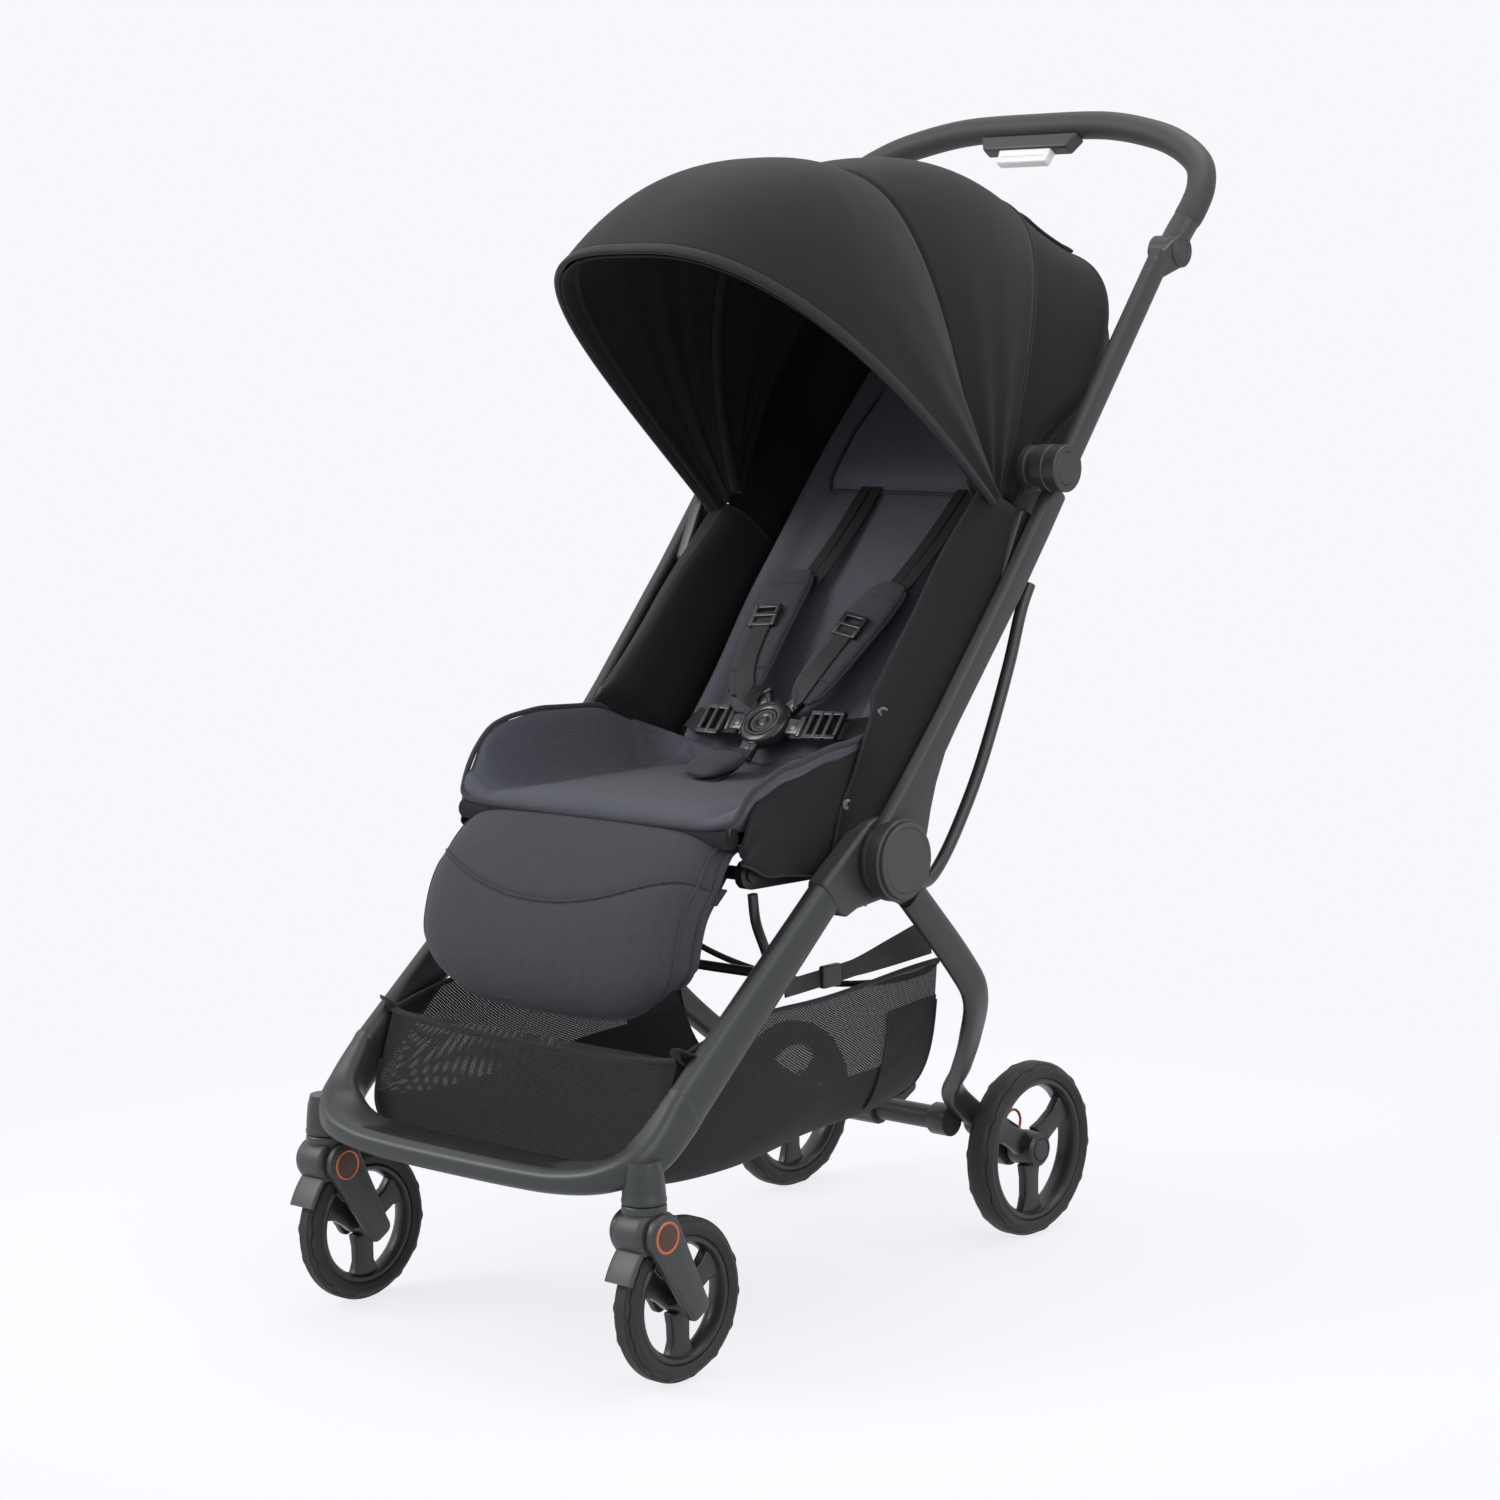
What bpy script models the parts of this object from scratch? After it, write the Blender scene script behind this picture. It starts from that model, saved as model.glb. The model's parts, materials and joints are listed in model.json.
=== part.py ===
"""Compact folding stroller: the construction model.

Units are metres and +Z is up. The child faces -Y and +X is the side nearest in the photograph.
The origin is on the floor under the middle of the open stroller. Side views are given as (y, z).
"""

import math

import bmesh
import bpy
from mathutils import Vector

# Clearances
GAP = 0.0003
RUN = 0.0006

# Main hub, which the front legs, rear legs, push frame and seat all turn about
HUB_Y = -0.090
HUB_Z = 0.401
HUB_RADIUS = 0.0365
HUB_COVER_RADIUS = 0.0330
HUB_COVER_THICKNESS = 0.0034
PIVOT_TUBE_RADIUS = 0.0100
PIVOT_PIN_RADIUS = 0.0060

# Layers across the frame, from the inner face of the front leg outwards
LEG_LAYER_X = 0.1780
LEG_LAYER_WIDTH = 0.0214
REAR_LAYER_WIDTH = 0.0070
TUBE_LAYER_WIDTH = 0.0144
DRUM_WIDTH = 0.0150
UPPER_LAYER_WIDTH = 0.0140

# Push frame
PUSH_ANGLE = 48.3
PUSH_TUBE_DEPTH = 0.0240
PUSH_TUBE_OFFSET = 0.0165
PUSH_TUBE_LENGTH = 0.3800
UPPER_HUB_BEYOND = 0.0164
UPPER_HUB_N = 0.0445
UPPER_HUB_RADIUS = 0.0215
UPPER_TUBE_ANGLE = 51.2
UPPER_TUBE_DEPTH = 0.0225
UPPER_TUBE_OFFSET = -0.0025
KNUCKLE_REACH = 0.2626
KNUCKLE_OFFSET = -0.0193
KNUCKLE_RADIUS = 0.0150
KNUCKLE_WIDTH = 0.0300
KNUCKLE_LUG = 0.0080

# Handlebar
HANDLE_ANGLE = 56.0
HANDLE_RISE = 0.1505
HANDLE_HALF_WIDTH = 0.2230
HANDLE_END_INSET = 0.0080
GRIP_RADIUS = 0.0135
TRIGGER_WIDTH = 0.1180
TRIGGER_HEIGHT = 0.0150
TRIGGER_DEPTH = 0.0170
TRIGGER_BUTTON_WIDTH = 0.0740
TRIGGER_TRAVEL = 0.0060

# Front legs, foot bar and casters
LEG_SEAM = (-0.1590, 0.3745)
LEG_END = (-0.3360, 0.2270)
LEG_HALF_HEIGHT = 0.0175
LEG_END_HALF_HEIGHT = 0.0215
FOOT_BAR_Y = -0.4035
FOOT_BAR_Z = 0.1665
FOOT_BAR_HALF_DEPTH = 0.0255
FOOT_BAR_HALF_HEIGHT = 0.0115
CASTER_X = 0.1920
CASTER_Y = -0.3920
SOCKET_RADIUS = 0.0185
SEAM_Z = 0.1580
FRONT_WHEEL_RADIUS = 0.0690
FRONT_WHEEL_WIDTH = 0.0240
CASTER_TRAIL = 0.0370
CASTER_PIVOT_TRAIL = 0.0010
CASTER_PIVOT_Z = 0.1325
CASTER_HEAD_RADIUS = 0.0165
CASTER_FORK_GAP = 0.0320
TYRE_ROOM = 0.0012
GUARD_ROOM = 0.0035
CASTER_ARM_WIDTH = 0.0075
CASTER_DISC_RADIUS = 0.0185
RING_RADIUS = 0.0120

# Rear legs and wheels
REAR_WHEEL_RADIUS = 0.0825
REAR_WHEEL_WIDTH = 0.0290
REAR_WHEEL_X = 0.1490
REAR_WHEEL_Y = 0.1820
REAR_LEG_DEPTH = 0.0300
AXLE_BAR_Y = 0.1080
AXLE_BAR_Z = 0.1180
AXLE_BAR_RADIUS = 0.0110

# Seat, backrest and footrest
SEAT_HALF_WIDTH = 0.1500
SEAT_FRONT_Y = -0.2300
SEAT_BACK_Y = -0.0450
SEAT_BOARD_Z = 0.4270
SEAT_BOARD_THICKNESS = 0.0070
SEAT_PAD_THICKNESS = 0.0180
FOOT_PIVOT_Y = -0.2140
FOOT_PIVOT_Z = 0.3990
FOOT_PAD_LENGTH = 0.1580
FOOT_PAD_HALF_WIDTH = 0.1560
FOOT_PAD_ANGLE = 230.0
FOOT_PAD_THICKNESS = 0.0190
# Middle of the pad in side view, as shares of its length: (down from the hinge, forwards)
FOOT_CURVE = (
    (0.02, 0.26),
    (0.13, 0.34),
    (0.31, 0.37),
    (0.54, 0.34),
    (0.72, 0.25),
    (0.83, 0.13),
    (0.86, -0.03),
)
BACK_HALF_WIDTH = 0.1420
BACK_T = 0.0650
BACK_N = -0.0460
BACK_SHELL_LENGTH = 0.4600
BACK_SHELL_THICKNESS = 0.0050
BACK_PAD_LENGTH = 0.5750
BACK_PAD_THICKNESS = 0.0280
BUTTON_RADIUS = 0.0140

# Canopy: hoops about the lower corners, each (angle, half width, height, squareness, lean)
CANOPY_BELOW_TUBE_END = 0.0340
CANOPY_N = 0.0300
CANOPY_FABRIC = 0.0024
CANOPY_FOOT = 0.0160
CANOPY_FOOT_X = 0.1790
CANOPY_FREE_RISE = 0.0900
CANOPY_REAR_HOOP = (49.8, 0.2040, 0.3210, 3.3, 0.0)
CANOPY_SEAM_HOOP = (70.5, 0.1620, 0.3410, 2.6, 0.12)
CANOPY_MID_HOOP = (110.0, 0.1580, 0.3450, 2.6, 0.16)
CANOPY_HEM_HOOP = (141.6, 0.1780, 0.3965, 2.9, 0.08)

# Basket
BASKET_FRONT_Y = -0.3270
BASKET_FRONT_LEAN = 0.0380
BASKET_BACK_Y = 0.0300
BASKET_HALF_WIDTH = 0.1720
BASKET_RIM_Z = 0.2610
BASKET_BACK_RIM_Z = 0.2880
BASKET_FLOOR_Z = 0.1400
BASKET_WALL = 0.0030


# Derived places
UPPER_HUB_T = PUSH_TUBE_LENGTH + UPPER_HUB_BEYOND
HANDLE_START_X = HANDLE_HALF_WIDTH - HANDLE_END_INSET
CANOPY_T = PUSH_TUBE_LENGTH - CANOPY_BELOW_TUBE_END
TUBE_LAYER_X = LEG_LAYER_X + LEG_LAYER_WIDTH + RUN
DRUM_X = TUBE_LAYER_X + REAR_LAYER_WIDTH + RUN
UPPER_LAYER_X = TUBE_LAYER_X + TUBE_LAYER_WIDTH + RUN
COVER_X = DRUM_X + DRUM_WIDTH + GAP
PUSH = math.radians(PUSH_ANGLE)
UPPER = math.radians(UPPER_TUBE_ANGLE)
HANDLE = math.radians(HANDLE_ANGLE)
FOOT = math.radians(FOOT_PAD_ANGLE)
SIDES = (("left", -1), ("right", 1))


def push_point(t, n):
    """Side-view point at t along the push tubes from the hub and n in front of that line."""
    return (
        HUB_Y + t * math.cos(PUSH) - n * math.sin(PUSH),
        HUB_Z + t * math.sin(PUSH) + n * math.cos(PUSH),
    )


def along(point, angle, run, rise=0.0):
    """Side-view point at run along an angle from a point, and rise square to it."""
    y, z = point
    return (
        y + run * math.cos(angle) - rise * math.sin(angle),
        z + run * math.sin(angle) + rise * math.cos(angle),
    )


HUB = (HUB_Y, HUB_Z)
UPPER_HUB = push_point(UPPER_HUB_T, UPPER_HUB_N)
KNUCKLE = along(UPPER_HUB, UPPER, KNUCKLE_REACH, KNUCKLE_OFFSET)
CANOPY_PIVOT = push_point(CANOPY_T, CANOPY_N)
BACK_PIVOT = push_point(BACK_T, BACK_N)
FOOT_PIVOT = (FOOT_PIVOT_Y, FOOT_PIVOT_Z)
CASTER_PIVOT = (CASTER_Y + CASTER_PIVOT_TRAIL, CASTER_PIVOT_Z)
FRONT_AXLE = (CASTER_Y + CASTER_TRAIL, FRONT_WHEEL_RADIUS)
REAR_AXLE = (REAR_WHEEL_Y, REAR_WHEEL_RADIUS)
REAR_BLOCK_X = REAR_WHEEL_X - REAR_WHEEL_WIDTH / 2 - 0.0030


# Scene and materials

for old in list(bpy.data.objects):
    bpy.data.objects.remove(old, do_unlink=True)

PARTS = bpy.data.collections.new("compact_stroller")
CUTTERS = bpy.data.collections.new("cutters")
bpy.context.scene.collection.children.link(PARTS)
bpy.context.scene.collection.children.link(CUTTERS)


def material(name, colour, roughness, metallic=0.0):
    """A plain Principled material."""
    made = bpy.data.materials.new(name)
    made.use_nodes = True
    shader = made.node_tree.nodes["Principled BSDF"]
    shader.inputs["Base Color"].default_value = (*colour, 1.0)
    shader.inputs["Roughness"].default_value = roughness
    shader.inputs["Metallic"].default_value = metallic
    return made


FINISHES = {
    "frame": ((0.055, 0.060, 0.058), 0.42, 0.55),
    "plastic": ((0.045, 0.048, 0.047), 0.50, 0.0),
    "black_plastic": ((0.015, 0.015, 0.016), 0.45, 0.0),
    "tyre": ((0.025, 0.025, 0.025), 0.85, 0.0),
    "foam": ((0.040, 0.042, 0.042), 0.80, 0.0),
    "copper": ((0.400, 0.115, 0.045), 0.45, 0.2),
    "clear": ((0.800, 0.800, 0.790), 0.30, 0.0),
    "slate": ((0.090, 0.092, 0.110), 0.90, 0.0),
    "black_fabric": ((0.014, 0.014, 0.016), 0.92, 0.0),
    "mesh_fabric": ((0.030, 0.030, 0.032), 0.90, 0.0),
    "webbing": ((0.012, 0.012, 0.013), 0.85, 0.0),
}


def pivot(name, location, parent=None):
    """An empty on a joint's axis, which carries the pieces of one moving body."""
    empty = bpy.data.objects.new(name, None)
    empty.location = location
    empty.empty_display_size = 0.02
    PARTS.objects.link(empty)
    bpy.context.view_layer.update()
    if parent:
        empty.parent = parent
        empty.matrix_parent_inverse = parent.matrix_world.inverted()
    return empty


def finish(obj, name, finish_name, carrier=None, smooth=40.0):
    """Name a piece, give it its own material, shade it and hang it on its body's empty."""
    obj.name = name
    obj.data.materials.clear()
    obj.data.materials.append(material(name, *FINISHES[finish_name]))
    if obj.type == "MESH":
        obj.data.shade_smooth()
        obj.data.set_sharp_from_angle(angle=math.radians(smooth))
    for collection in list(obj.users_collection):
        collection.objects.unlink(obj)
    PARTS.objects.link(obj)
    if carrier:
        bpy.context.view_layer.update()
        obj.parent = carrier
        obj.matrix_parent_inverse = carrier.matrix_world.inverted()
    return obj


def apply_scale(obj):
    """Apply an object's scale, so that later widths are true."""
    bpy.context.view_layer.objects.active = obj
    obj.select_set(True)
    bpy.ops.object.transform_apply(location=False, rotation=False, scale=True)
    obj.select_set(False)


def add_bevel(obj, width, segments=1, angle=30.0):
    """Round an object's edges."""
    bevel = obj.modifiers.new("bevel", "BEVEL")
    bevel.width = width
    bevel.segments = segments
    bevel.limit_method = "ANGLE"
    bevel.angle_limit = math.radians(angle)
    return bevel


def combine(obj, other, operation):
    """Join another solid to an object, or cut it out, and hide that other solid."""
    for collection in list(other.users_collection):
        collection.objects.unlink(other)
    CUTTERS.objects.link(other)
    other.display_type = "WIRE"
    other.hide_render = True
    boolean = obj.modifiers.new(operation.lower(), "BOOLEAN")
    boolean.operation = operation
    boolean.solver = "EXACT"
    boolean.object = other
    return obj


def block(centre, size, bevel=0.0, tilt=0.0, segments=1):
    """A box with rounded edges; tilt turns its local Z from straight up about X, in radians."""
    bpy.ops.mesh.primitive_cube_add(size=1.0, location=centre)
    obj = bpy.context.object
    obj.scale = size
    apply_scale(obj)
    obj.rotation_euler = (tilt, 0.0, 0.0)
    if bevel:
        add_bevel(obj, bevel, segments)
    return obj


def rod(x_from, x_to, centre, radius, vertices=16, bevel=0.0):
    """A round bar along X between two x values, at a side-view centre."""
    bpy.ops.mesh.primitive_cylinder_add(
        vertices=vertices,
        radius=radius,
        depth=abs(x_to - x_from),
        location=((x_from + x_to) / 2, *centre),
        rotation=(0.0, math.pi / 2, 0.0),
    )
    obj = bpy.context.object
    if bevel:
        add_bevel(obj, bevel)
    return obj


def post(centre, z_from, z_to, radius_low, radius_high, vertices=16, bevel=0.0):
    """An upright tapered post between two heights."""
    bpy.ops.mesh.primitive_cone_add(
        vertices=vertices,
        radius1=radius_low,
        radius2=radius_high,
        depth=z_to - z_from,
        location=(centre[0], centre[1], (z_from + z_to) / 2),
    )
    obj = bpy.context.object
    if bevel:
        add_bevel(obj, bevel)
    return obj


def bar(x, start, end, width, depth, bevel):
    """A straight flat tube in a side-view plane, from start to end."""
    rise = math.atan2(end[1] - start[1], end[0] - start[0])
    length = math.dist(start, end)
    middle = (x, (start[0] + end[0]) / 2, (start[1] + end[1]) / 2)
    return block(middle, (width, depth, length), bevel, rise - math.pi / 2, 2)


def arc(centre, radius, start, end, count):
    """Side-view points along an arc, angles in degrees."""
    steps = [math.radians(start + (end - start) * i / (count - 1)) for i in range(count)]
    return [(centre[0] + radius * math.cos(a), centre[1] + radius * math.sin(a)) for a in steps]


def link_outline(first, first_radius, second, second_radius, count=7):
    """Outline of a flat link: two round ends and the straight sides between them."""
    heading = math.degrees(math.atan2(second[1] - first[1], second[0] - first[0]))
    return arc(first, first_radius, heading + 90, heading + 270, count) + arc(
        second, second_radius, heading - 90, heading + 90, count
    )


def plate(x_from, x_to, outline, bevel=0.0, segments=1):
    """A flat piece with a side-view outline, between two x values."""
    curve = bpy.data.curves.new("outline", "CURVE")
    curve.dimensions = "2D"
    curve.fill_mode = "BOTH"
    curve.extrude = abs(x_to - x_from) / 2
    spline = curve.splines.new("POLY")
    spline.points.add(len(outline) - 1)
    for point, (y, z) in zip(spline.points, outline):
        point.co = (y, z, 0.0, 1.0)
    spline.use_cyclic_u = True
    source = bpy.data.objects.new("outline", curve)
    source.location = ((x_from + x_to) / 2, 0.0, 0.0)
    source.rotation_euler = (math.pi / 2, 0.0, math.pi / 2)
    PARTS.objects.link(source)
    return as_mesh(source, bevel, segments)


def as_mesh(source, bevel=0.0, segments=1):
    """Turn a curve object into a closed mesh object in the same place."""
    bpy.context.view_layer.update()
    mesh = bpy.data.meshes.new_from_object(
        source.evaluated_get(bpy.context.evaluated_depsgraph_get())
    )
    work = bmesh.new()
    work.from_mesh(mesh)
    bmesh.ops.remove_doubles(work, verts=work.verts, dist=0.00005)
    bmesh.ops.recalc_face_normals(work, faces=work.faces)
    work.to_mesh(mesh)
    work.free()
    obj = bpy.data.objects.new("solid", mesh)
    obj.matrix_world = source.matrix_world
    PARTS.objects.link(obj)
    bpy.data.objects.remove(source, do_unlink=True)
    if bevel:
        add_bevel(obj, bevel, segments)
    return obj


def wire(points, radius, resolution=2, cyclic=False):
    """A round rod along points, as a curve with filled ends."""
    curve = bpy.data.curves.new("wire", "CURVE")
    curve.dimensions = "3D"
    curve.bevel_depth = radius
    curve.bevel_resolution = resolution
    curve.use_fill_caps = True
    spline = curve.splines.new("POLY")
    spline.points.add(len(points) - 1)
    for point, place in zip(spline.points, points):
        point.co = (*place, 1.0)
    spline.use_cyclic_u = cyclic
    obj = bpy.data.objects.new("wire", curve)
    PARTS.objects.link(obj)
    return obj


def smooth_path(points, steps):
    """Points on a smooth curve through the given points."""
    route = [Vector(p) for p in points]
    ends = [2 * route[0] - route[1], *route, 2 * route[-1] - route[-2]]
    path = []
    for a, b, c, d in zip(ends, ends[1:], ends[2:], ends[3:]):
        for i in range(steps):
            u = i / steps
            path.append(
                0.5
                * (2 * b + (c - a) * u + (2 * a - 5 * b + 4 * c - d) * u**2)
                + 0.5 * (3 * b - a - 3 * c + d) * u**3
            )
    return [*path, route[-1]]


def blend_values(keys, share):
    """Straight-line reading of a row of key values at a share from 0 to 1."""
    place = share * (len(keys) - 1)
    low = min(int(place), len(keys) - 2)
    return keys[low] + (keys[low + 1] - keys[low]) * (place - low)


def oval(half_wide, half_high, squareness, count):
    """Points round a rounded rectangle section."""
    ring = []
    for i in range(count):
        angle = 2 * math.pi * i / count
        c, s = math.cos(angle), math.sin(angle)
        ring.append(
            (
                half_wide * math.copysign(abs(c) ** (2 / squareness), c),
                half_high * math.copysign(abs(s) ** (2 / squareness), s),
            )
        )
    return ring


def mesh_object(name, points, faces, closed=True):
    """A mesh object from points and faces; a closed one has its faces turned outwards."""
    mesh = bpy.data.meshes.new(name)
    work = bmesh.new()
    made = [work.verts.new(p) for p in points]
    for face in faces:
        work.faces.new([made[i] for i in face])
    bmesh.ops.recalc_face_normals(work, faces=work.faces)
    if closed and work.calc_volume(signed=True) < 0:
        bmesh.ops.reverse_faces(work, faces=work.faces)
    work.to_mesh(mesh)
    work.free()
    obj = bpy.data.objects.new(name, mesh)
    PARTS.objects.link(obj)
    return obj


def swept(path, wide_keys, high_keys, squareness=3.0, count=16):
    """A tube of changing oval section along a path: wide is sideways, high is upwards."""
    points, faces = [], []
    last = len(path) - 1
    for i, place in enumerate(path):
        ahead = (path[min(i + 1, last)] - path[max(i - 1, 0)]).normalized()
        up = (Vector((0, 0, 1)) - ahead.z * ahead).normalized()
        outward = up.cross(ahead)
        wide = blend_values(wide_keys, i / last)
        high = blend_values(high_keys, i / last)
        for a, b in oval(wide, high, squareness, count):
            points.append(place + outward * a + up * b)
        if i:
            base = (i - 1) * count
            for k in range(count):
                n = (k + 1) % count
                faces.append((base + k, base + n, base + count + n, base + count + k))
    faces.append(tuple(range(count)))
    faces.append(tuple(last * count + k for k in range(count)))
    return mesh_object("swept", points, faces)


def sheet(rows, thickness, offset=-1.0):
    """An open sheet through rows of points, thickened to a closed shell."""
    count = len(rows[0])
    faces = []
    for r in range(len(rows) - 1):
        for k in range(count - 1):
            a = r * count + k
            faces.append((a, a + 1, a + count + 1, a + count))
    obj = mesh_object("sheet", [p for row in rows for p in row], faces, closed=False)
    solid = obj.modifiers.new("thickness", "SOLIDIFY")
    solid.thickness = thickness
    solid.offset = offset
    solid.use_even_offset = True
    return obj


def pillow(place, front, back, across, down):
    """A closed cushion: place(p, q) is its mid sheet, and front and back give its swell."""
    points, faces, top, under = [], [], {}, {}
    for j in range(down + 1):
        for i in range(across + 1):
            p, q = 2 * i / across - 1, 2 * j / down - 1
            base, normal = place(p, q)
            points.append(base + normal * front(p, q))
            top[i, j] = len(points) - 1
            under[i, j] = top[i, j]
            if 0 < i < across and 0 < j < down:
                points.append(base - normal * back(p, q))
                under[i, j] = len(points) - 1
    for j in range(down):
        for i in range(across):
            ring = ((i, j), (i + 1, j), (i + 1, j + 1), (i, j + 1))
            faces.append([top[k] for k in ring])
            faces.append([under[k] for k in reversed(ring)])
    return mesh_object("pillow", points, faces)


def add_subsurf(obj, levels=1):
    """Smooth a coarse cage."""
    smooth = obj.modifiers.new("smooth", "SUBSURF")
    smooth.levels = levels
    smooth.render_levels = levels
    return obj


def turned(profile, centre, steps=24):
    """A round piece about an X axis at centre; profile rows are (radius, x), out and back."""
    points = [(radius, 0.0, x) for radius, x in profile]
    mesh = bpy.data.meshes.new("turned")
    loops = len(points)
    edges = [(i, (i + 1) % loops) for i in range(loops)]
    mesh.from_pydata(points, edges, [])
    obj = bpy.data.objects.new("turned", mesh)
    PARTS.objects.link(obj)
    obj.location = (0.0, *centre)
    obj.rotation_euler = (0.0, math.pi / 2, 0.0)
    screw = obj.modifiers.new("screw", "SCREW")
    screw.steps = steps
    screw.render_steps = steps
    screw.use_merge_vertices = True
    screw.merge_threshold = 0.0001
    screw.use_normal_calculate = False
    return obj


# Bodies: an empty on each joint's axis

FRONT = pivot("front_frame", (0.0, *HUB))
REAR = pivot("rear_frame", (0.0, *HUB), FRONT)
PUSH_BODY = pivot("push_frame", (0.0, *HUB), FRONT)
SEAT = pivot("seat", (0.0, *HUB), FRONT)
UPPER_BODY = pivot("handle_frame", (0.0, *UPPER_HUB), PUSH_BODY)
BAR = pivot("handlebar", (0.0, *KNUCKLE), UPPER_BODY)
BACK = pivot("backrest", (0.0, *BACK_PIVOT), PUSH_BODY)
CANOPY_MID = pivot("canopy_mid_body", (0.0, *CANOPY_PIVOT), PUSH_BODY)
CANOPY_FRONT = pivot("canopy_front_body", (0.0, *CANOPY_PIVOT), CANOPY_MID)
FOOTREST = pivot("footrest", (0.0, *FOOT_PIVOT), SEAT)
BRAKE = pivot("brake", (0.0, AXLE_BAR_Y, AXLE_BAR_Z), REAR)


# Front frame

def foot_bar_path(reach):
    """Centre line of the foot bar from the right leg's end round to the left leg's end."""
    drop = math.atan2(LEG_END[1] - LEG_SEAM[1], LEG_END[0] - LEG_SEAM[0])
    x = LEG_LAYER_X + LEG_LAYER_WIDTH / 2
    start = along(LEG_END, drop, GAP)
    half = [
        (x, *start),
        (x, *along(start, drop, 0.012)),
        (x - 0.003, CASTER_Y + 0.021, FOOT_BAR_Z + 0.031),
        (x - 0.013, CASTER_Y + 0.004, FOOT_BAR_Z + 0.018),
        (x - 0.036, FOOT_BAR_Y + 0.005, FOOT_BAR_Z + 0.008),
        (x - 0.072, FOOT_BAR_Y + 0.001, FOOT_BAR_Z + 0.0025),
        (x - 0.120, FOOT_BAR_Y, FOOT_BAR_Z + 0.0005),
    ]
    mirrored = [(-px, y, z) for px, y, z in reversed(half)]
    path = smooth_path([*half, (0.0, FOOT_BAR_Y, FOOT_BAR_Z), *mirrored], reach)
    square = along(start, drop, 0.0020)
    return [path[0], Vector((x, *square)), *path[1:-1], Vector((-x, *square)), path[-1]]


def build_foot_bar():
    """Foot bar with the two caster sockets, one moulding."""
    wide = [LEG_LAYER_WIDTH / 2, 0.0112, 0.0150, 0.0205, 0.0240, FOOT_BAR_HALF_DEPTH]
    high = [LEG_END_HALF_HEIGHT, 0.0205, 0.0175, 0.0145, 0.0125, FOOT_BAR_HALF_HEIGHT]
    wide += [FOOT_BAR_HALF_DEPTH, FOOT_BAR_HALF_DEPTH]
    high += [FOOT_BAR_HALF_HEIGHT, FOOT_BAR_HALF_HEIGHT]
    obj = swept(
        foot_bar_path(2), wide + wide[-2::-1], high + high[-2::-1], squareness=3.2, count=10
    )
    for _, side in SIDES:
        at = (side * CASTER_X, CASTER_Y)
        socket = post(at, SEAM_Z, FOOT_BAR_Z + 0.026, SOCKET_RADIUS, SOCKET_RADIUS - 0.004)
        combine(obj, socket, "UNION")
        bore = post(at, SEAM_Z - 0.002, SEAM_Z + 0.016, 0.0066, 0.0066, 16)
        combine(obj, bore, "DIFFERENCE")
    finish(obj, "foot_bar", "frame", FRONT)


def build_front_leg(name, side):
    """Oval tube from the hub housing to the foot bar, growing towards the bar."""
    x = side * (LEG_LAYER_X + LEG_LAYER_WIDTH / 2)
    start, end = Vector((x, *LEG_SEAM)), Vector((x, *LEG_END))
    path = [start.lerp(end, i / 2) for i in range(3)]
    half = LEG_LAYER_WIDTH / 2
    obj = swept(path, [half, half], [LEG_HALF_HEIGHT, LEG_END_HALF_HEIGHT], 2.6, 16)
    finish(obj, f"front_leg_{name}", "frame", FRONT)


def build_housing(name, side):
    """Hub housing: the round boss about the pivot and the arm that takes the front leg."""
    heading = math.degrees(math.atan2(LEG_END[1] - LEG_SEAM[1], LEG_END[0] - LEG_SEAM[0]))
    turn = math.radians(heading)
    seam = along(LEG_SEAM, turn, -GAP)
    top = along(seam, turn, 0.0, -LEG_HALF_HEIGHT)
    bottom = along(seam, turn, 0.0, LEG_HALF_HEIGHT)
    outline = arc(HUB, HUB_RADIUS, 128, -82, 15) + [(-0.1380, 0.3560), bottom, top]
    x_in, x_out = LEG_LAYER_X, LEG_LAYER_X + LEG_LAYER_WIDTH
    obj = plate(side * x_in, side * x_out, outline, 0.0025)
    combine(obj, rod(side * (x_in - 0.01), side * (x_out + 0.01), HUB, PIVOT_PIN_RADIUS + GAP),
            "DIFFERENCE")
    finish(obj, f"hub_housing_{name}", "plastic", FRONT)


def build_pivot_tube():
    """Tube across the frame whose stepped ends are the hub pins."""
    inner = LEG_LAYER_X - GAP
    pin_end = DRUM_X + DRUM_WIDTH - 0.0040
    obj = rod(-inner, inner, HUB, PIVOT_TUBE_RADIUS)
    combine(obj, rod(-pin_end, pin_end, HUB, PIVOT_PIN_RADIUS), "UNION")
    finish(obj, "pivot_tube", "frame", FRONT)


def basket_ring(lean, rim, floor, half_width, corner=3.4, count=15):
    """One cross-section of the basket: rim and floor are (y, z), lean its slope at the floor."""
    ring = []
    for i in range(count):
        angle = math.pi * i / (count - 1)
        c, s = math.cos(angle), math.sin(angle)
        drop = abs(s) ** (2 / corner)
        x = (half_width - lean * drop) * math.copysign(abs(c) ** (2 / corner), c)
        y = rim[0] + (floor[0] - rim[0]) * drop
        ring.append(Vector((x, y, rim[1] + (floor[1] - rim[1]) * drop)))
    return ring


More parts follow.
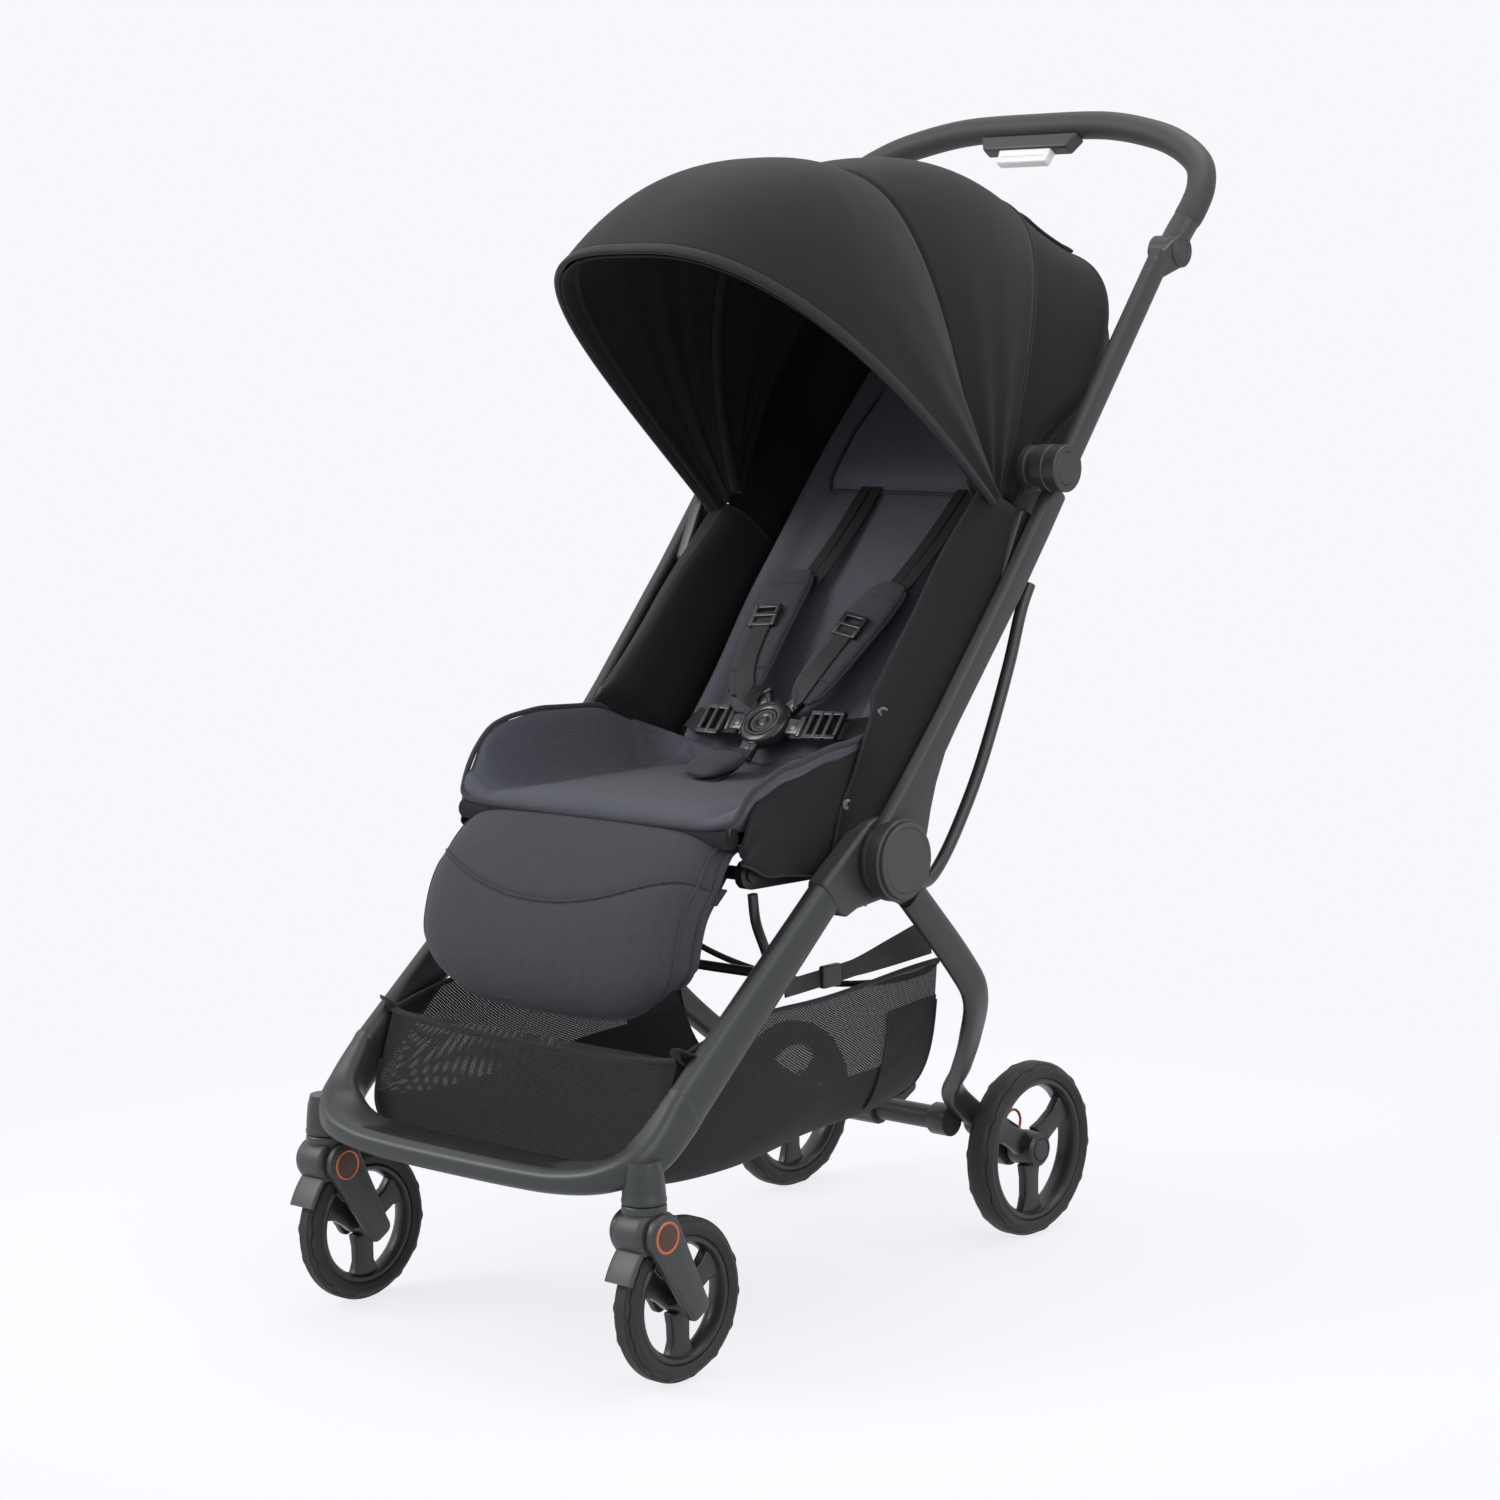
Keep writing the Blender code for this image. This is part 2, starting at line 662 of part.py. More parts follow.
def build_basket():
    """Soft mesh basket: an open-topped shell that sags in the middle."""
    rows = []
    length = BASKET_BACK_Y - BASKET_FRONT_Y
    for u in (0.0, 0.06, 0.25, 0.45, 0.65, 0.85, 0.95, 1.0):
        rim_y = BASKET_FRONT_Y + length * u
        rim_z = BASKET_RIM_Z + (BASKET_BACK_RIM_Z - BASKET_RIM_Z) * min(1.0, 2.4 * u)
        floor_y = rim_y - BASKET_FRONT_LEAN * (1 - u) ** 2
        ends = abs(2 * u - 1) ** 5
        floor_z = BASKET_FLOOR_Z + 0.030 * ends
        half = BASKET_HALF_WIDTH - 0.010 * u
        rows.append(basket_ring(0.012, (rim_y, rim_z), (floor_y, floor_z), half))
    front = [Vector((p.x * 0.96, rows[0][0].y, rows[0][0].z)) for p in rows[0]]
    back = [Vector((p.x * 0.96, rows[-1][0].y, rows[-1][0].z)) for p in rows[-1]]
    obj = sheet([front, *rows, back], BASKET_WALL)
    finish(obj, "basket", "mesh_fabric", FRONT, 60.0)


# Casters and front wheels

def wheel_profiles(radius, width, x=0.0):
    """Turned outlines of a tyre and of its rim, as (radius, x) rows."""
    half = width / 2
    tread, bead = radius, radius - 0.0150
    tyre = [
        (bead, x - half + 0.0030),
        (bead + 0.0060, x - half),
        (tread - 0.0050, x - half + 0.0010),
        (tread, x - half + 0.0065),
        (tread, x + half - 0.0065),
        (tread - 0.0050, x + half - 0.0010),
        (bead + 0.0060, x + half),
        (bead, x + half - 0.0030),
    ]
    seat = bead - GAP
    rim = [
        (0.0046, x - half + 0.0030),
        (0.0120, x - half + 0.0030),
        (0.0130, x - 0.0040),
        (seat - 0.0060, x - 0.0040),
        (seat, x - half + 0.0036),
        (seat, x + half - 0.0036),
        (seat - 0.0060, x + 0.0040),
        (0.0130, x + 0.0040),
        (0.0120, x + half - 0.0030),
        (0.0046, x + half - 0.0030),
    ]
    return tyre[::-1], rim[::-1]


def build_wheel(end, name, side, radius, width, x, axle, carrier):
    """Tyre and three-spoke rim on a wheel's empty."""
    hub = pivot(f"{end}_wheel_{name}_axle", (side * x, *axle), carrier)
    tyre, rim = wheel_profiles(radius, width)
    tyre_obj = turned(tyre, axle, 24)
    tyre_obj.location.x = side * x
    finish(tyre_obj, f"{end}_tyre_{name}", "tyre", hub)
    rim_obj = turned(rim, axle, 24)
    rim_obj.location.x = side * x
    reach = radius - 0.0230
    for k in range(3):
        middle = math.radians(90 + 120 * k)
        sweep = math.radians(44)
        outline = []
        for i in range(5):
            a = middle - sweep + 2 * sweep * i / 4
            outline.append((axle[0] + reach * math.cos(a), axle[1] + reach * math.sin(a)))
        inner = 0.0180
        for a in (middle + sweep * 0.62, middle - sweep * 0.62):
            outline.append((axle[0] + inner * math.cos(a), axle[1] + inner * math.sin(a)))
        window = plate(side * x - 0.02, side * x + 0.02, outline)
        combine(rim_obj, window, "DIFFERENCE")
    finish(rim_obj, f"{end}_rim_{name}", "plastic", hub)


def build_caster(name, side):
    """Swivelling head, sprung two-armed fork, copper rings, tyre and rim."""
    middle = side * CASTER_X
    swivel = pivot(f"caster_{name}", (middle, CASTER_Y, SEAM_Z), FRONT)
    fork_body = pivot(f"caster_fork_{name}_body", (middle, *CASTER_PIVOT), swivel)
    top = SEAM_Z - RUN
    at = (middle, CASTER_Y)
    gap_x = CASTER_FORK_GAP / 2
    collar_z = CASTER_PIVOT_Z + CASTER_DISC_RADIUS + RUN
    head = post(at, collar_z, top, CASTER_HEAD_RADIUS, SOCKET_RADIUS, 16, 0.001)
    combine(head, post(at, top - 0.004, SEAM_Z + 0.014, 0.0060, 0.0060, 12), "UNION")
    neck = block((middle, CASTER_Y, collar_z - 0.006), (2 * (gap_x - RUN), 0.0300, 0.0160))
    combine(head, neck, "UNION")
    barrel = rod(middle - gap_x + RUN, middle + gap_x - RUN, CASTER_PIVOT, CASTER_DISC_RADIUS)
    combine(head, barrel, "UNION")
    room = FRONT_WHEEL_WIDTH / 2 + TYRE_ROOM
    well_top = FRONT_AXLE[1] + FRONT_WHEEL_RADIUS + GUARD_ROOM
    well = block((middle, CASTER_Y, well_top - 0.040), (2 * room, 0.0600, 0.0800))
    combine(head, well, "DIFFERENCE")
    pin_room = rod(middle - gap_x - 0.01, middle + gap_x + 0.01, CASTER_PIVOT, 0.0050 + RUN, 12)
    combine(head, pin_room, "DIFFERENCE")
    finish(head, f"caster_head_{name}", "plastic", swivel)
    outer_x = gap_x + CASTER_ARM_WIDTH
    outline = link_outline(CASTER_PIVOT, CASTER_DISC_RADIUS, FRONT_AXLE, 0.0125, 8)
    fork = plate(middle + gap_x, middle + outer_x, outline, 0.0015, 1)
    combine(fork, plate(middle - outer_x, middle - gap_x, outline), "UNION")
    reach = gap_x + CASTER_ARM_WIDTH / 2
    combine(fork, rod(middle - reach, middle + reach, FRONT_AXLE, 0.0040, 12), "UNION")
    for way in (-1, 1):
        stub = rod(middle + way * (room + GAP), middle + way * reach, CASTER_PIVOT, 0.0050, 12)
        combine(fork, stub, "UNION")
    finish(fork, f"caster_fork_{name}", "plastic", fork_body)
    for end, way in (("inner", -side), ("outer", side)):
        ring = turned(
            [
                (RING_RADIUS - 0.0010, -0.0006),
                (RING_RADIUS - 0.0010, 0.0006),
                (RING_RADIUS + 0.0010, 0.0006),
                (RING_RADIUS + 0.0010, -0.0006),
            ],
            CASTER_PIVOT,
            16,
        )
        ring.location.x = middle + way * (outer_x + 0.0006 + GAP)
        finish(ring, f"caster_ring_{name}_{end}", "copper", fork_body)
    build_wheel(
        "front", name, side, FRONT_WHEEL_RADIUS, FRONT_WHEEL_WIDTH, CASTER_X, FRONT_AXLE, fork_body
    )


# Rear frame

def build_rear_leg(name, side):
    """Flat leg from the hub plate, straight down and then jogging in to the wheel."""
    x = TUBE_LAYER_X + TUBE_LAYER_WIDTH / 2
    high = (x, *along(HUB, math.radians(-52), HUB_RADIUS + 0.008))
    route = [
        high,
        (x, 0.0050, 0.2950),
        (x - 0.002, 0.0300, 0.2600),
        (x - 0.022, 0.0480, 0.2180),
        (x - 0.052, 0.0720, 0.1800),
        (REAR_BLOCK_X - 0.0080, 0.1000, 0.1480),
        (REAR_BLOCK_X - 0.0080, 0.1420, 0.1120),
    ]
    path = [Vector((side * px, y, z)) for px, y, z in smooth_path(route, 2)]
    thin = TUBE_LAYER_WIDTH / 2
    obj = swept(path, [thin, thin, 0.0080, 0.0080], [REAR_LEG_DEPTH / 2] * 2 + [0.0125] * 2, 3.0, 10)
    x_in = side * TUBE_LAYER_X
    x_out = side * (TUBE_LAYER_X + REAR_LAYER_WIDTH)
    eye = plate(x_in, x_out, link_outline(HUB, HUB_RADIUS - 0.002, high[1:], 0.0128, 13))
    combine(obj, eye, "UNION")
    block_out = side * REAR_BLOCK_X
    block_in = side * (REAR_BLOCK_X - 0.0160)
    carrier = plate(block_in, block_out, link_outline((0.1380, 0.1150), 0.0150, REAR_AXLE, 0.0200))
    combine(obj, carrier, "UNION")
    axle = rod(block_out - side * 0.002, side * (REAR_WHEEL_X + 0.0090), REAR_AXLE, 0.0040, 16)
    combine(obj, axle, "UNION")
    socket = rod(block_in - side * 0.02, block_in + side * 0.006, (AXLE_BAR_Y, AXLE_BAR_Z), 0.0150, 16)
    combine(obj, socket, "UNION")
    bore = rod(block_in - side * 0.03, block_in, (AXLE_BAR_Y, AXLE_BAR_Z), AXLE_BAR_RADIUS + GAP, 20)
    combine(obj, bore, "DIFFERENCE")
    pin_room = rod(x_in - side * 0.01, x_out + side * 0.01, HUB, PIVOT_PIN_RADIUS + RUN)
    combine(obj, pin_room, "DIFFERENCE")
    finish(obj, f"rear_leg_{name}", "frame", REAR)


def build_axle_bar():
    """Cross bar between the two rear legs."""
    end = REAR_BLOCK_X - 0.0160 - GAP
    finish(rod(-end, end, (AXLE_BAR_Y, AXLE_BAR_Z), AXLE_BAR_RADIUS, 20), "axle_bar", "frame", REAR)


def build_brake():
    """Brake pedal clipped round the cross bar."""
    centre = (AXLE_BAR_Y, AXLE_BAR_Z)
    toe = (AXLE_BAR_Y + 0.048, AXLE_BAR_Z + 0.012)
    obj = plate(-0.030, 0.030, link_outline(centre, 0.0160, toe, 0.0060), 0.002)
    combine(obj, rod(-0.05, 0.05, centre, AXLE_BAR_RADIUS + RUN, 20), "DIFFERENCE")
    finish(obj, "brake_pedal", "plastic", BRAKE)


# Push frame and handle

def build_push_tube(name, side):
    """Lower push tube with the main hub drum below and the upper hub drum above."""
    x = side * (TUBE_LAYER_X + TUBE_LAYER_WIDTH / 2)
    low = push_point(HUB_RADIUS, PUSH_TUBE_OFFSET)
    high = push_point(PUSH_TUBE_LENGTH, PUSH_TUBE_OFFSET + 0.006)
    obj = bar(x, low, high, TUBE_LAYER_WIDTH, PUSH_TUBE_DEPTH, 0.0045)
    drum = rod(side * DRUM_X, side * (DRUM_X + DRUM_WIDTH), HUB, HUB_RADIUS, 24, 0.0015)
    combine(obj, drum, "UNION")
    neck = [
        push_point(0.020, PUSH_TUBE_OFFSET + PUSH_TUBE_DEPTH / 2 - 0.002),
        push_point(0.0, HUB_RADIUS - 0.003),
        push_point(0.0, -HUB_RADIUS + 0.004),
        push_point(0.050, -0.0150),
        push_point(0.090, PUSH_TUBE_OFFSET - PUSH_TUBE_DEPTH / 2 + 0.002),
        push_point(0.090, PUSH_TUBE_OFFSET),
    ]
    web = plate(side * DRUM_X, side * (TUBE_LAYER_X + TUBE_LAYER_WIDTH - 0.0006), neck)
    combine(obj, web, "UNION")
    inner = side * (TUBE_LAYER_X - 0.0140)
    outer = side * (TUBE_LAYER_X + TUBE_LAYER_WIDTH)
    combine(obj, rod(inner, outer, UPPER_HUB, UPPER_HUB_RADIUS, 20, 0.0015), "UNION")
    pin_room = rod(
        side * (DRUM_X - 0.02), side * (DRUM_X + DRUM_WIDTH - 0.003), HUB, PIVOT_PIN_RADIUS + RUN
    )
    combine(obj, pin_room, "DIFFERENCE")
    hub_room = rod(inner - side * 0.01, outer + side * 0.01, UPPER_HUB, 0.0060 + RUN, 20)
    combine(obj, hub_room, "DIFFERENCE")
    finish(obj, f"push_tube_{name}", "frame", PUSH_BODY)


def build_hub_cover(name, side):
    """Round cap over the main hub drum."""
    obj = rod(
        side * COVER_X, side * (COVER_X + HUB_COVER_THICKNESS), HUB, HUB_COVER_RADIUS, 24, 0.0012
    )
    finish(obj, f"hub_cover_{name}", "plastic", PUSH_BODY)


def build_stay(name, side):
    """Bowed stay behind the push tube."""
    x = side * (TUBE_LAYER_X + TUBE_LAYER_WIDTH / 2)
    back = PUSH_TUBE_OFFSET - PUSH_TUBE_DEPTH / 2
    route = [
        (x, *push_point(0.300, back - 0.0064)),
        (x, *push_point(0.274, back - 0.0120)),
        (x, *push_point(0.229, -0.0243)),
        (x, *push_point(0.171, -0.0415)),
        (x, *push_point(0.122, -0.0529)),
        (x, *push_point(0.074, -0.0590)),
        (x, *push_point(0.040, -0.0600)),
    ]
    finish(wire(smooth_path(route, 2), 0.0056, 1), f"back_stay_{name}", "frame", PUSH_BODY)


def build_canopy_mount(name, side):
    """Block on the inner face of the push tube that carries the canopy bows."""
    outer = TUBE_LAYER_X - RUN
    ends = [push_point(CANOPY_T, CANOPY_N), push_point(CANOPY_T - 0.050, CANOPY_N - 0.0120)]
    obj = plate(side * (outer - 0.0130), side * outer, link_outline(ends[0], 0.0110, ends[1], 0.0100), 0.0015)
    finish(obj, f"canopy_mount_{name}", "black_plastic", PUSH_BODY)


def build_side_panel(name, side):
    """Black fabric between the push tube, the seat and the edge of the backrest."""
    rows = []
    for i in range(7):
        u = i / 6
        t = 0.055 + 0.255 * u
        edge = Vector((side * 0.1830, *push_point(t, 0.0060)))
        rest = Vector((side * 0.1640, *push_point(t, -0.0200)))
        deep = Vector((side * 0.1560, *push_point(t, -0.0480)))
        rows.append([edge, edge.lerp(rest, 0.5) + Vector((side * 0.002, 0, 0)), rest, deep])
    obj = sheet(rows, 0.0020, 0.0)
    finish(obj, f"side_panel_{name}", "black_fabric", PUSH_BODY, 60.0)


def build_upper_tube(name, side):
    """Upper push tube with its hub disc and pin below, and the knuckle fork above."""
    x = side * (UPPER_LAYER_X + UPPER_LAYER_WIDTH / 2)
    low = along(UPPER_HUB, UPPER, 0.0, UPPER_TUBE_OFFSET)
    high = along(UPPER_HUB, UPPER, KNUCKLE_REACH - 0.0190, UPPER_TUBE_OFFSET)
    obj = bar(x, low, high, UPPER_LAYER_WIDTH, UPPER_TUBE_DEPTH, 0.0045)
    x_in = side * UPPER_LAYER_X
    x_out = side * (UPPER_LAYER_X + UPPER_LAYER_WIDTH)
    combine(obj, rod(x_in, x_out, UPPER_HUB, UPPER_HUB_RADIUS, 20, 0.0015), "UNION")
    pin_end = side * (TUBE_LAYER_X - 0.0120)
    combine(obj, rod(pin_end, x_in + side * 0.002, UPPER_HUB, 0.0060, 20), "UNION")
    knuckle_out = HANDLE_START_X + KNUCKLE_WIDTH / 2
    knuckle_in = knuckle_out - KNUCKLE_LUG
    lug_root = along(UPPER_HUB, UPPER, KNUCKLE_REACH - 0.0320, UPPER_TUBE_OFFSET)
    outline = link_outline(lug_root, UPPER_TUBE_DEPTH / 2 - 0.0005, KNUCKLE, KNUCKLE_RADIUS)
    combine(obj, plate(side * knuckle_in, side * (abs(x_out) - 0.0005), outline), "UNION")
    disc = rod(side * knuckle_in, side * knuckle_out, KNUCKLE, KNUCKLE_RADIUS + 0.0003, 20, 0.0012)
    combine(obj, disc, "UNION")
    finish(obj, f"upper_tube_{name}", "frame", UPPER_BODY)


def handle_point(x, rise):
    """A point of the handlebar's sloping plane, at a height along it above the knuckle."""
    return Vector((x, *along(KNUCKLE, HANDLE, rise)))


def build_handlebar():
    """Foam-covered handlebar in one sweep from knuckle to knuckle, with its two end hubs."""
    grip_x = HANDLE_START_X
    half = [
        handle_point(grip_x, 0.0),
        handle_point(grip_x + 0.0030, HANDLE_RISE - 0.1270),
        handle_point(HANDLE_HALF_WIDTH, HANDLE_RISE - 0.1030),
        handle_point(HANDLE_HALF_WIDTH - 0.0004, HANDLE_RISE - 0.0780),
        handle_point(HANDLE_HALF_WIDTH - 0.0120, HANDLE_RISE - 0.0530),
        handle_point(HANDLE_HALF_WIDTH - 0.0410, HANDLE_RISE - 0.0310),
        handle_point(HANDLE_HALF_WIDTH - 0.0790, HANDLE_RISE - 0.0150),
        handle_point(HANDLE_HALF_WIDTH - 0.1400, HANDLE_RISE - 0.0020),
    ]
    mirrored = [Vector((-p.x, p.y, p.z)) for p in reversed(half)]
    route = smooth_path([*half, handle_point(0.0, HANDLE_RISE), *mirrored], 1)
    obj = as_mesh(wire(route, GRIP_RADIUS, 2))
    for _, side in SIDES:
        hub_out = side * (HANDLE_START_X + KNUCKLE_WIDTH / 2 - KNUCKLE_LUG - RUN)
        hub_in = side * (HANDLE_START_X - KNUCKLE_WIDTH / 2)
        combine(obj, rod(hub_in, hub_out, KNUCKLE, KNUCKLE_RADIUS, 24, 0.0012), "UNION")
        cut_to = side * (HANDLE_START_X + KNUCKLE_WIDTH / 2 + 0.01)
        combine(obj, rod(hub_out, cut_to, KNUCKLE, KNUCKLE_RADIUS + 0.003, 24), "DIFFERENCE")
        recess = rod(hub_in - side * 0.005, hub_in + side * 0.005, KNUCKLE, 0.0080, 20)
        combine(obj, recess, "DIFFERENCE")
    finish(obj, "handlebar_grip", "foam", BAR)


def trigger_place(drop, ahead=0.0):
    """Side-view point below the middle of the handlebar, in its plane."""
    middle = along(KNUCKLE, HANDLE, HANDLE_RISE)
    return along(middle, HANDLE, -drop, ahead)


def build_trigger():
    """Trigger housing under the grip and the clear trigger that slides up into it."""
    tilt = HANDLE - math.pi / 2
    drop = GRIP_RADIUS + 0.0012 + TRIGGER_HEIGHT / 2
    centre = (0.0, *trigger_place(drop))
    housing = block(centre, (TRIGGER_WIDTH, TRIGGER_DEPTH, TRIGGER_HEIGHT), 0.0015, tilt)
    slot_height = TRIGGER_HEIGHT - 0.0030
    slot_drop = drop + TRIGGER_HEIGHT / 2 - slot_height / 2 + 0.002
    slot = block(
        (0.0, *trigger_place(slot_drop)),
        (TRIGGER_BUTTON_WIDTH + 2 * RUN, TRIGGER_DEPTH - 0.0060, slot_height),
        0.0,
        tilt,
    )
    combine(housing, slot, "DIFFERENCE")
    finish(housing, "trigger_housing", "plastic", BAR)
    trigger_body = pivot("fold_trigger_slide", centre, BAR)
    button_height = slot_height - 0.0020 - TRIGGER_TRAVEL - RUN + 0.0110
    low = drop + TRIGGER_HEIGHT / 2 + 0.0110
    button = block(
        (0.0, *trigger_place(low - button_height / 2)),
        (TRIGGER_BUTTON_WIDTH, TRIGGER_DEPTH - 0.0060 - 2 * RUN, button_height),
        0.0012,
        tilt,
    )
    finish(button, "fold_trigger", "clear", trigger_body)


def build_tilt_button(name, side):
    """Press button in the inner end of the handlebar's hub."""
    hub_in = side * (HANDLE_START_X - KNUCKLE_WIDTH / 2)
    start = hub_in - side * 0.0020
    body = pivot(f"tilt_button_{name}_slide", (hub_in, *KNUCKLE), BAR)
    obj = rod(start, hub_in + side * 0.0020, KNUCKLE, 0.0074, 20, 0.0006)
    finish(obj, f"tilt_button_{name}", "black_plastic", body)


# Seat and footrest

def build_seat_frame():
    """Seat board with two side plates that hang on the pivot tube and carry the footrest."""
    y_mid = (SEAT_FRONT_Y + SEAT_BACK_Y) / 2
    size = (2 * SEAT_HALF_WIDTH, SEAT_BACK_Y - SEAT_FRONT_Y, SEAT_BOARD_THICKNESS)
    obj = block((0.0, y_mid, SEAT_BOARD_Z), size, 0.0015)
    for _, side in SIDES:
        x_out = side * (SEAT_HALF_WIDTH + 0.0060)
        x_in = side * (SEAT_HALF_WIDTH - 0.0020)
        outline = link_outline(HUB, 0.0180, FOOT_PIVOT, 0.0130)
        combine(obj, plate(x_in, x_out, outline), "UNION")
        riser = block(
            ((x_out + x_in) / 2, y_mid, SEAT_BOARD_Z - 0.011),
            (abs(x_out - x_in), size[1] - 0.06, 0.022),
        )
        combine(obj, riser, "UNION")
        reach = side * 0.02
        combine(obj, rod(x_in - reach, x_out + reach, HUB, PIVOT_TUBE_RADIUS + RUN), "DIFFERENCE")
        combine(obj, rod(x_in - reach, x_out + reach, FOOT_PIVOT, 0.0060 + RUN, 20), "DIFFERENCE")
    finish(obj, "seat_frame", "black_plastic", SEAT)


def build_seat_pad():
    """Soft seat: a padded pan with a rolled front lip and raised side wings."""
    rows = []
    board_top = SEAT_BOARD_Z + SEAT_BOARD_THICKNESS / 2 + GAP + SEAT_PAD_THICKNESS
    for i in range(6):
        u = i / 5
        y = SEAT_FRONT_Y - 0.010 + (SEAT_BACK_Y - SEAT_FRONT_Y + 0.004) * u
        wing = 0.052 * math.sin(math.pi * min(1.0, 0.12 + 0.88 * u) ** 0.75) ** 0.6
        row = []
        for k in range(11):
            p = 2 * k / 10 - 1
            side = max(0.0, abs(p) - 0.72) / 0.28
            x = math.copysign(0.1330 * min(abs(p) / 0.80, 1.0) + 0.034 * side**0.6, p)
            crown = 0.004 * (1 - p * p)
            z = board_top + crown + wing * side**1.5 - 0.014 * max(0.0, 1 - 4 * u) ** 2
            row.append(Vector((x, y, z)))
        rows.append(row)
    obj = sheet(rows, SEAT_PAD_THICKNESS - 0.006, -1.0)
    add_subsurf(obj)
    finish(obj, "seat_pad", "slate", SEAT, 60.0)


def build_footrest():
    """Footrest: stiff panel on its hinge rod, and the padded cover in front of it."""
    tilt = FOOT - math.pi / 2
    x_end = SEAT_HALF_WIDTH + 0.0080
    length = 0.68 * FOOT_PAD_LENGTH
    middle = along(FOOT_PIVOT, FOOT, length / 2)
    panel = block((0.0, *middle), (2 * FOOT_PAD_HALF_WIDTH - 0.05, 0.0050, length), 0.0015, tilt)
    combine(panel, rod(-x_end, x_end, FOOT_PIVOT, 0.0060, 20), "UNION")
    finish(panel, "footrest_panel", "black_plastic", FOOTREST)
    scaled = [(down * FOOT_PAD_LENGTH, -out * FOOT_PAD_LENGTH) for down, out in FOOT_CURVE]
    path = smooth_path([(0.0, *along(FOOT_PIVOT, FOOT, *key)) for key in scaled], 4)

    def place(p, q):
        """Mid sheet of the pad, narrower at its rounded lower corners."""
        share = (q + 1) / 2
        corner = max(0.0, share - 0.50) / 0.60
        x = FOOT_PAD_HALF_WIDTH * p * (0.955 + 0.045 * min(1.0, 3 * share)) * math.sqrt(1 - corner**3)
        spot = share * (len(path) - 1) * (1 - 0.10 * p**4 * share)
        low = min(int(spot), len(path) - 2)
        ahead = path[low + 1] - path[low]
        normal = Vector((0.0, ahead.z, -ahead.y)).normalized()
        return Vector((x, 0.0, 0.0)) + path[low] + ahead * (spot - low), normal

    def swell(p, q):
        """Crown of the pad, drawn in towards its edges."""
        return 0.6 * FOOT_PAD_THICKNESS * ((1 - p**4) * (1 - q**4)) ** 0.5

    def hollow(p, q):
        """Depth of the pad's back face."""
        return 0.4 * FOOT_PAD_THICKNESS * ((1 - p**4) * (1 - q**4)) ** 0.5

    pad = pillow(place, swell, hollow, 6, 7)
    add_subsurf(pad)
    finish(pad, "footrest_pad", "slate", FOOTREST, 60.0)


def build_support_loop():
    """Bent wire under the seat that the footrest's links rest on."""
    x = SEAT_HALF_WIDTH + 0.0035
    near = FOOT_PIVOT_Y
    half = [
        (x, near + 0.004, FOOT_PIVOT_Z - 0.0175),
        (x, near + 0.008, 0.3560),
        (x - 0.004, near + 0.026, 0.3250),
        (x - 0.018, near + 0.044, 0.3080),
        (x - 0.050, near + 0.050, 0.3020),
    ]
    mirrored = [(-px, y, z) for px, y, z in reversed(half)]
    finish(wire(smooth_path([*half, *mirrored], 2), 0.0045, 1), "support_loop", "frame", SEAT)


# Backrest

def back_point(x, run, lift):
    """A point of the backrest: run up it from its hinge, lift in front of its shell."""
    return Vector((x, *push_point(BACK_T + run, BACK_N + lift)))


def build_back_shell():
    """Stiff back panel with its hinge tube along the bottom."""
    middle = push_point(BACK_T + BACK_SHELL_LENGTH / 2, BACK_N)
    size = (2 * BACK_HALF_WIDTH, BACK_SHELL_THICKNESS, BACK_SHELL_LENGTH)
    obj = block((0.0, *middle), size, 0.0015, PUSH - math.pi / 2)
    combine(obj, rod(-BACK_HALF_WIDTH, BACK_HALF_WIDTH, BACK_PIVOT, 0.0070, 20), "UNION")
    finish(obj, "back_shell", "black_plastic", BACK)


def build_back_pad():
    """Padded back: a crowned pad with drawn-in sides and a rounded top."""
    normal = Vector((0.0, -math.sin(PUSH), math.cos(PUSH)))
    base = BACK_SHELL_THICKNESS / 2 + GAP + 0.0085

    def place(p, q):
        """Mid sheet of the pad, narrowing at the foot and rounded at the head."""
        share = (q + 1) / 2
        width = 0.112 + 0.030 * min(1.0, 1.6 * share)
        head = math.sqrt(max(0.0, 1 - (max(0.0, share - 0.70) / 0.34) ** 2))
        x = width * p * (0.35 + 0.65 * head)
        curl = 0.014 * p**4
        return back_point(x, 0.004 + BACK_PAD_LENGTH * share, base + curl), normal

    def swell(p, q):
        """Crown, with a channel across under the headrest."""
        groove = 0.004 * math.exp(-(((q - 0.35) / 0.07) ** 2))
        crown = ((1 - p**4) * (1 - q**6)) ** 0.5
        return max(0.0, (BACK_PAD_THICKNESS - 0.012) * crown - groove * crown)

    def hollow(p, q):
        """Back face, nearly flat on the shell."""
        return 0.0075 * ((1 - p**4) * (1 - q**6)) ** 0.5

    pad = pillow(place, swell, hollow, 6, 11)
    add_subsurf(pad)
    finish(pad, "back_pad", "slate", BACK, 60.0)


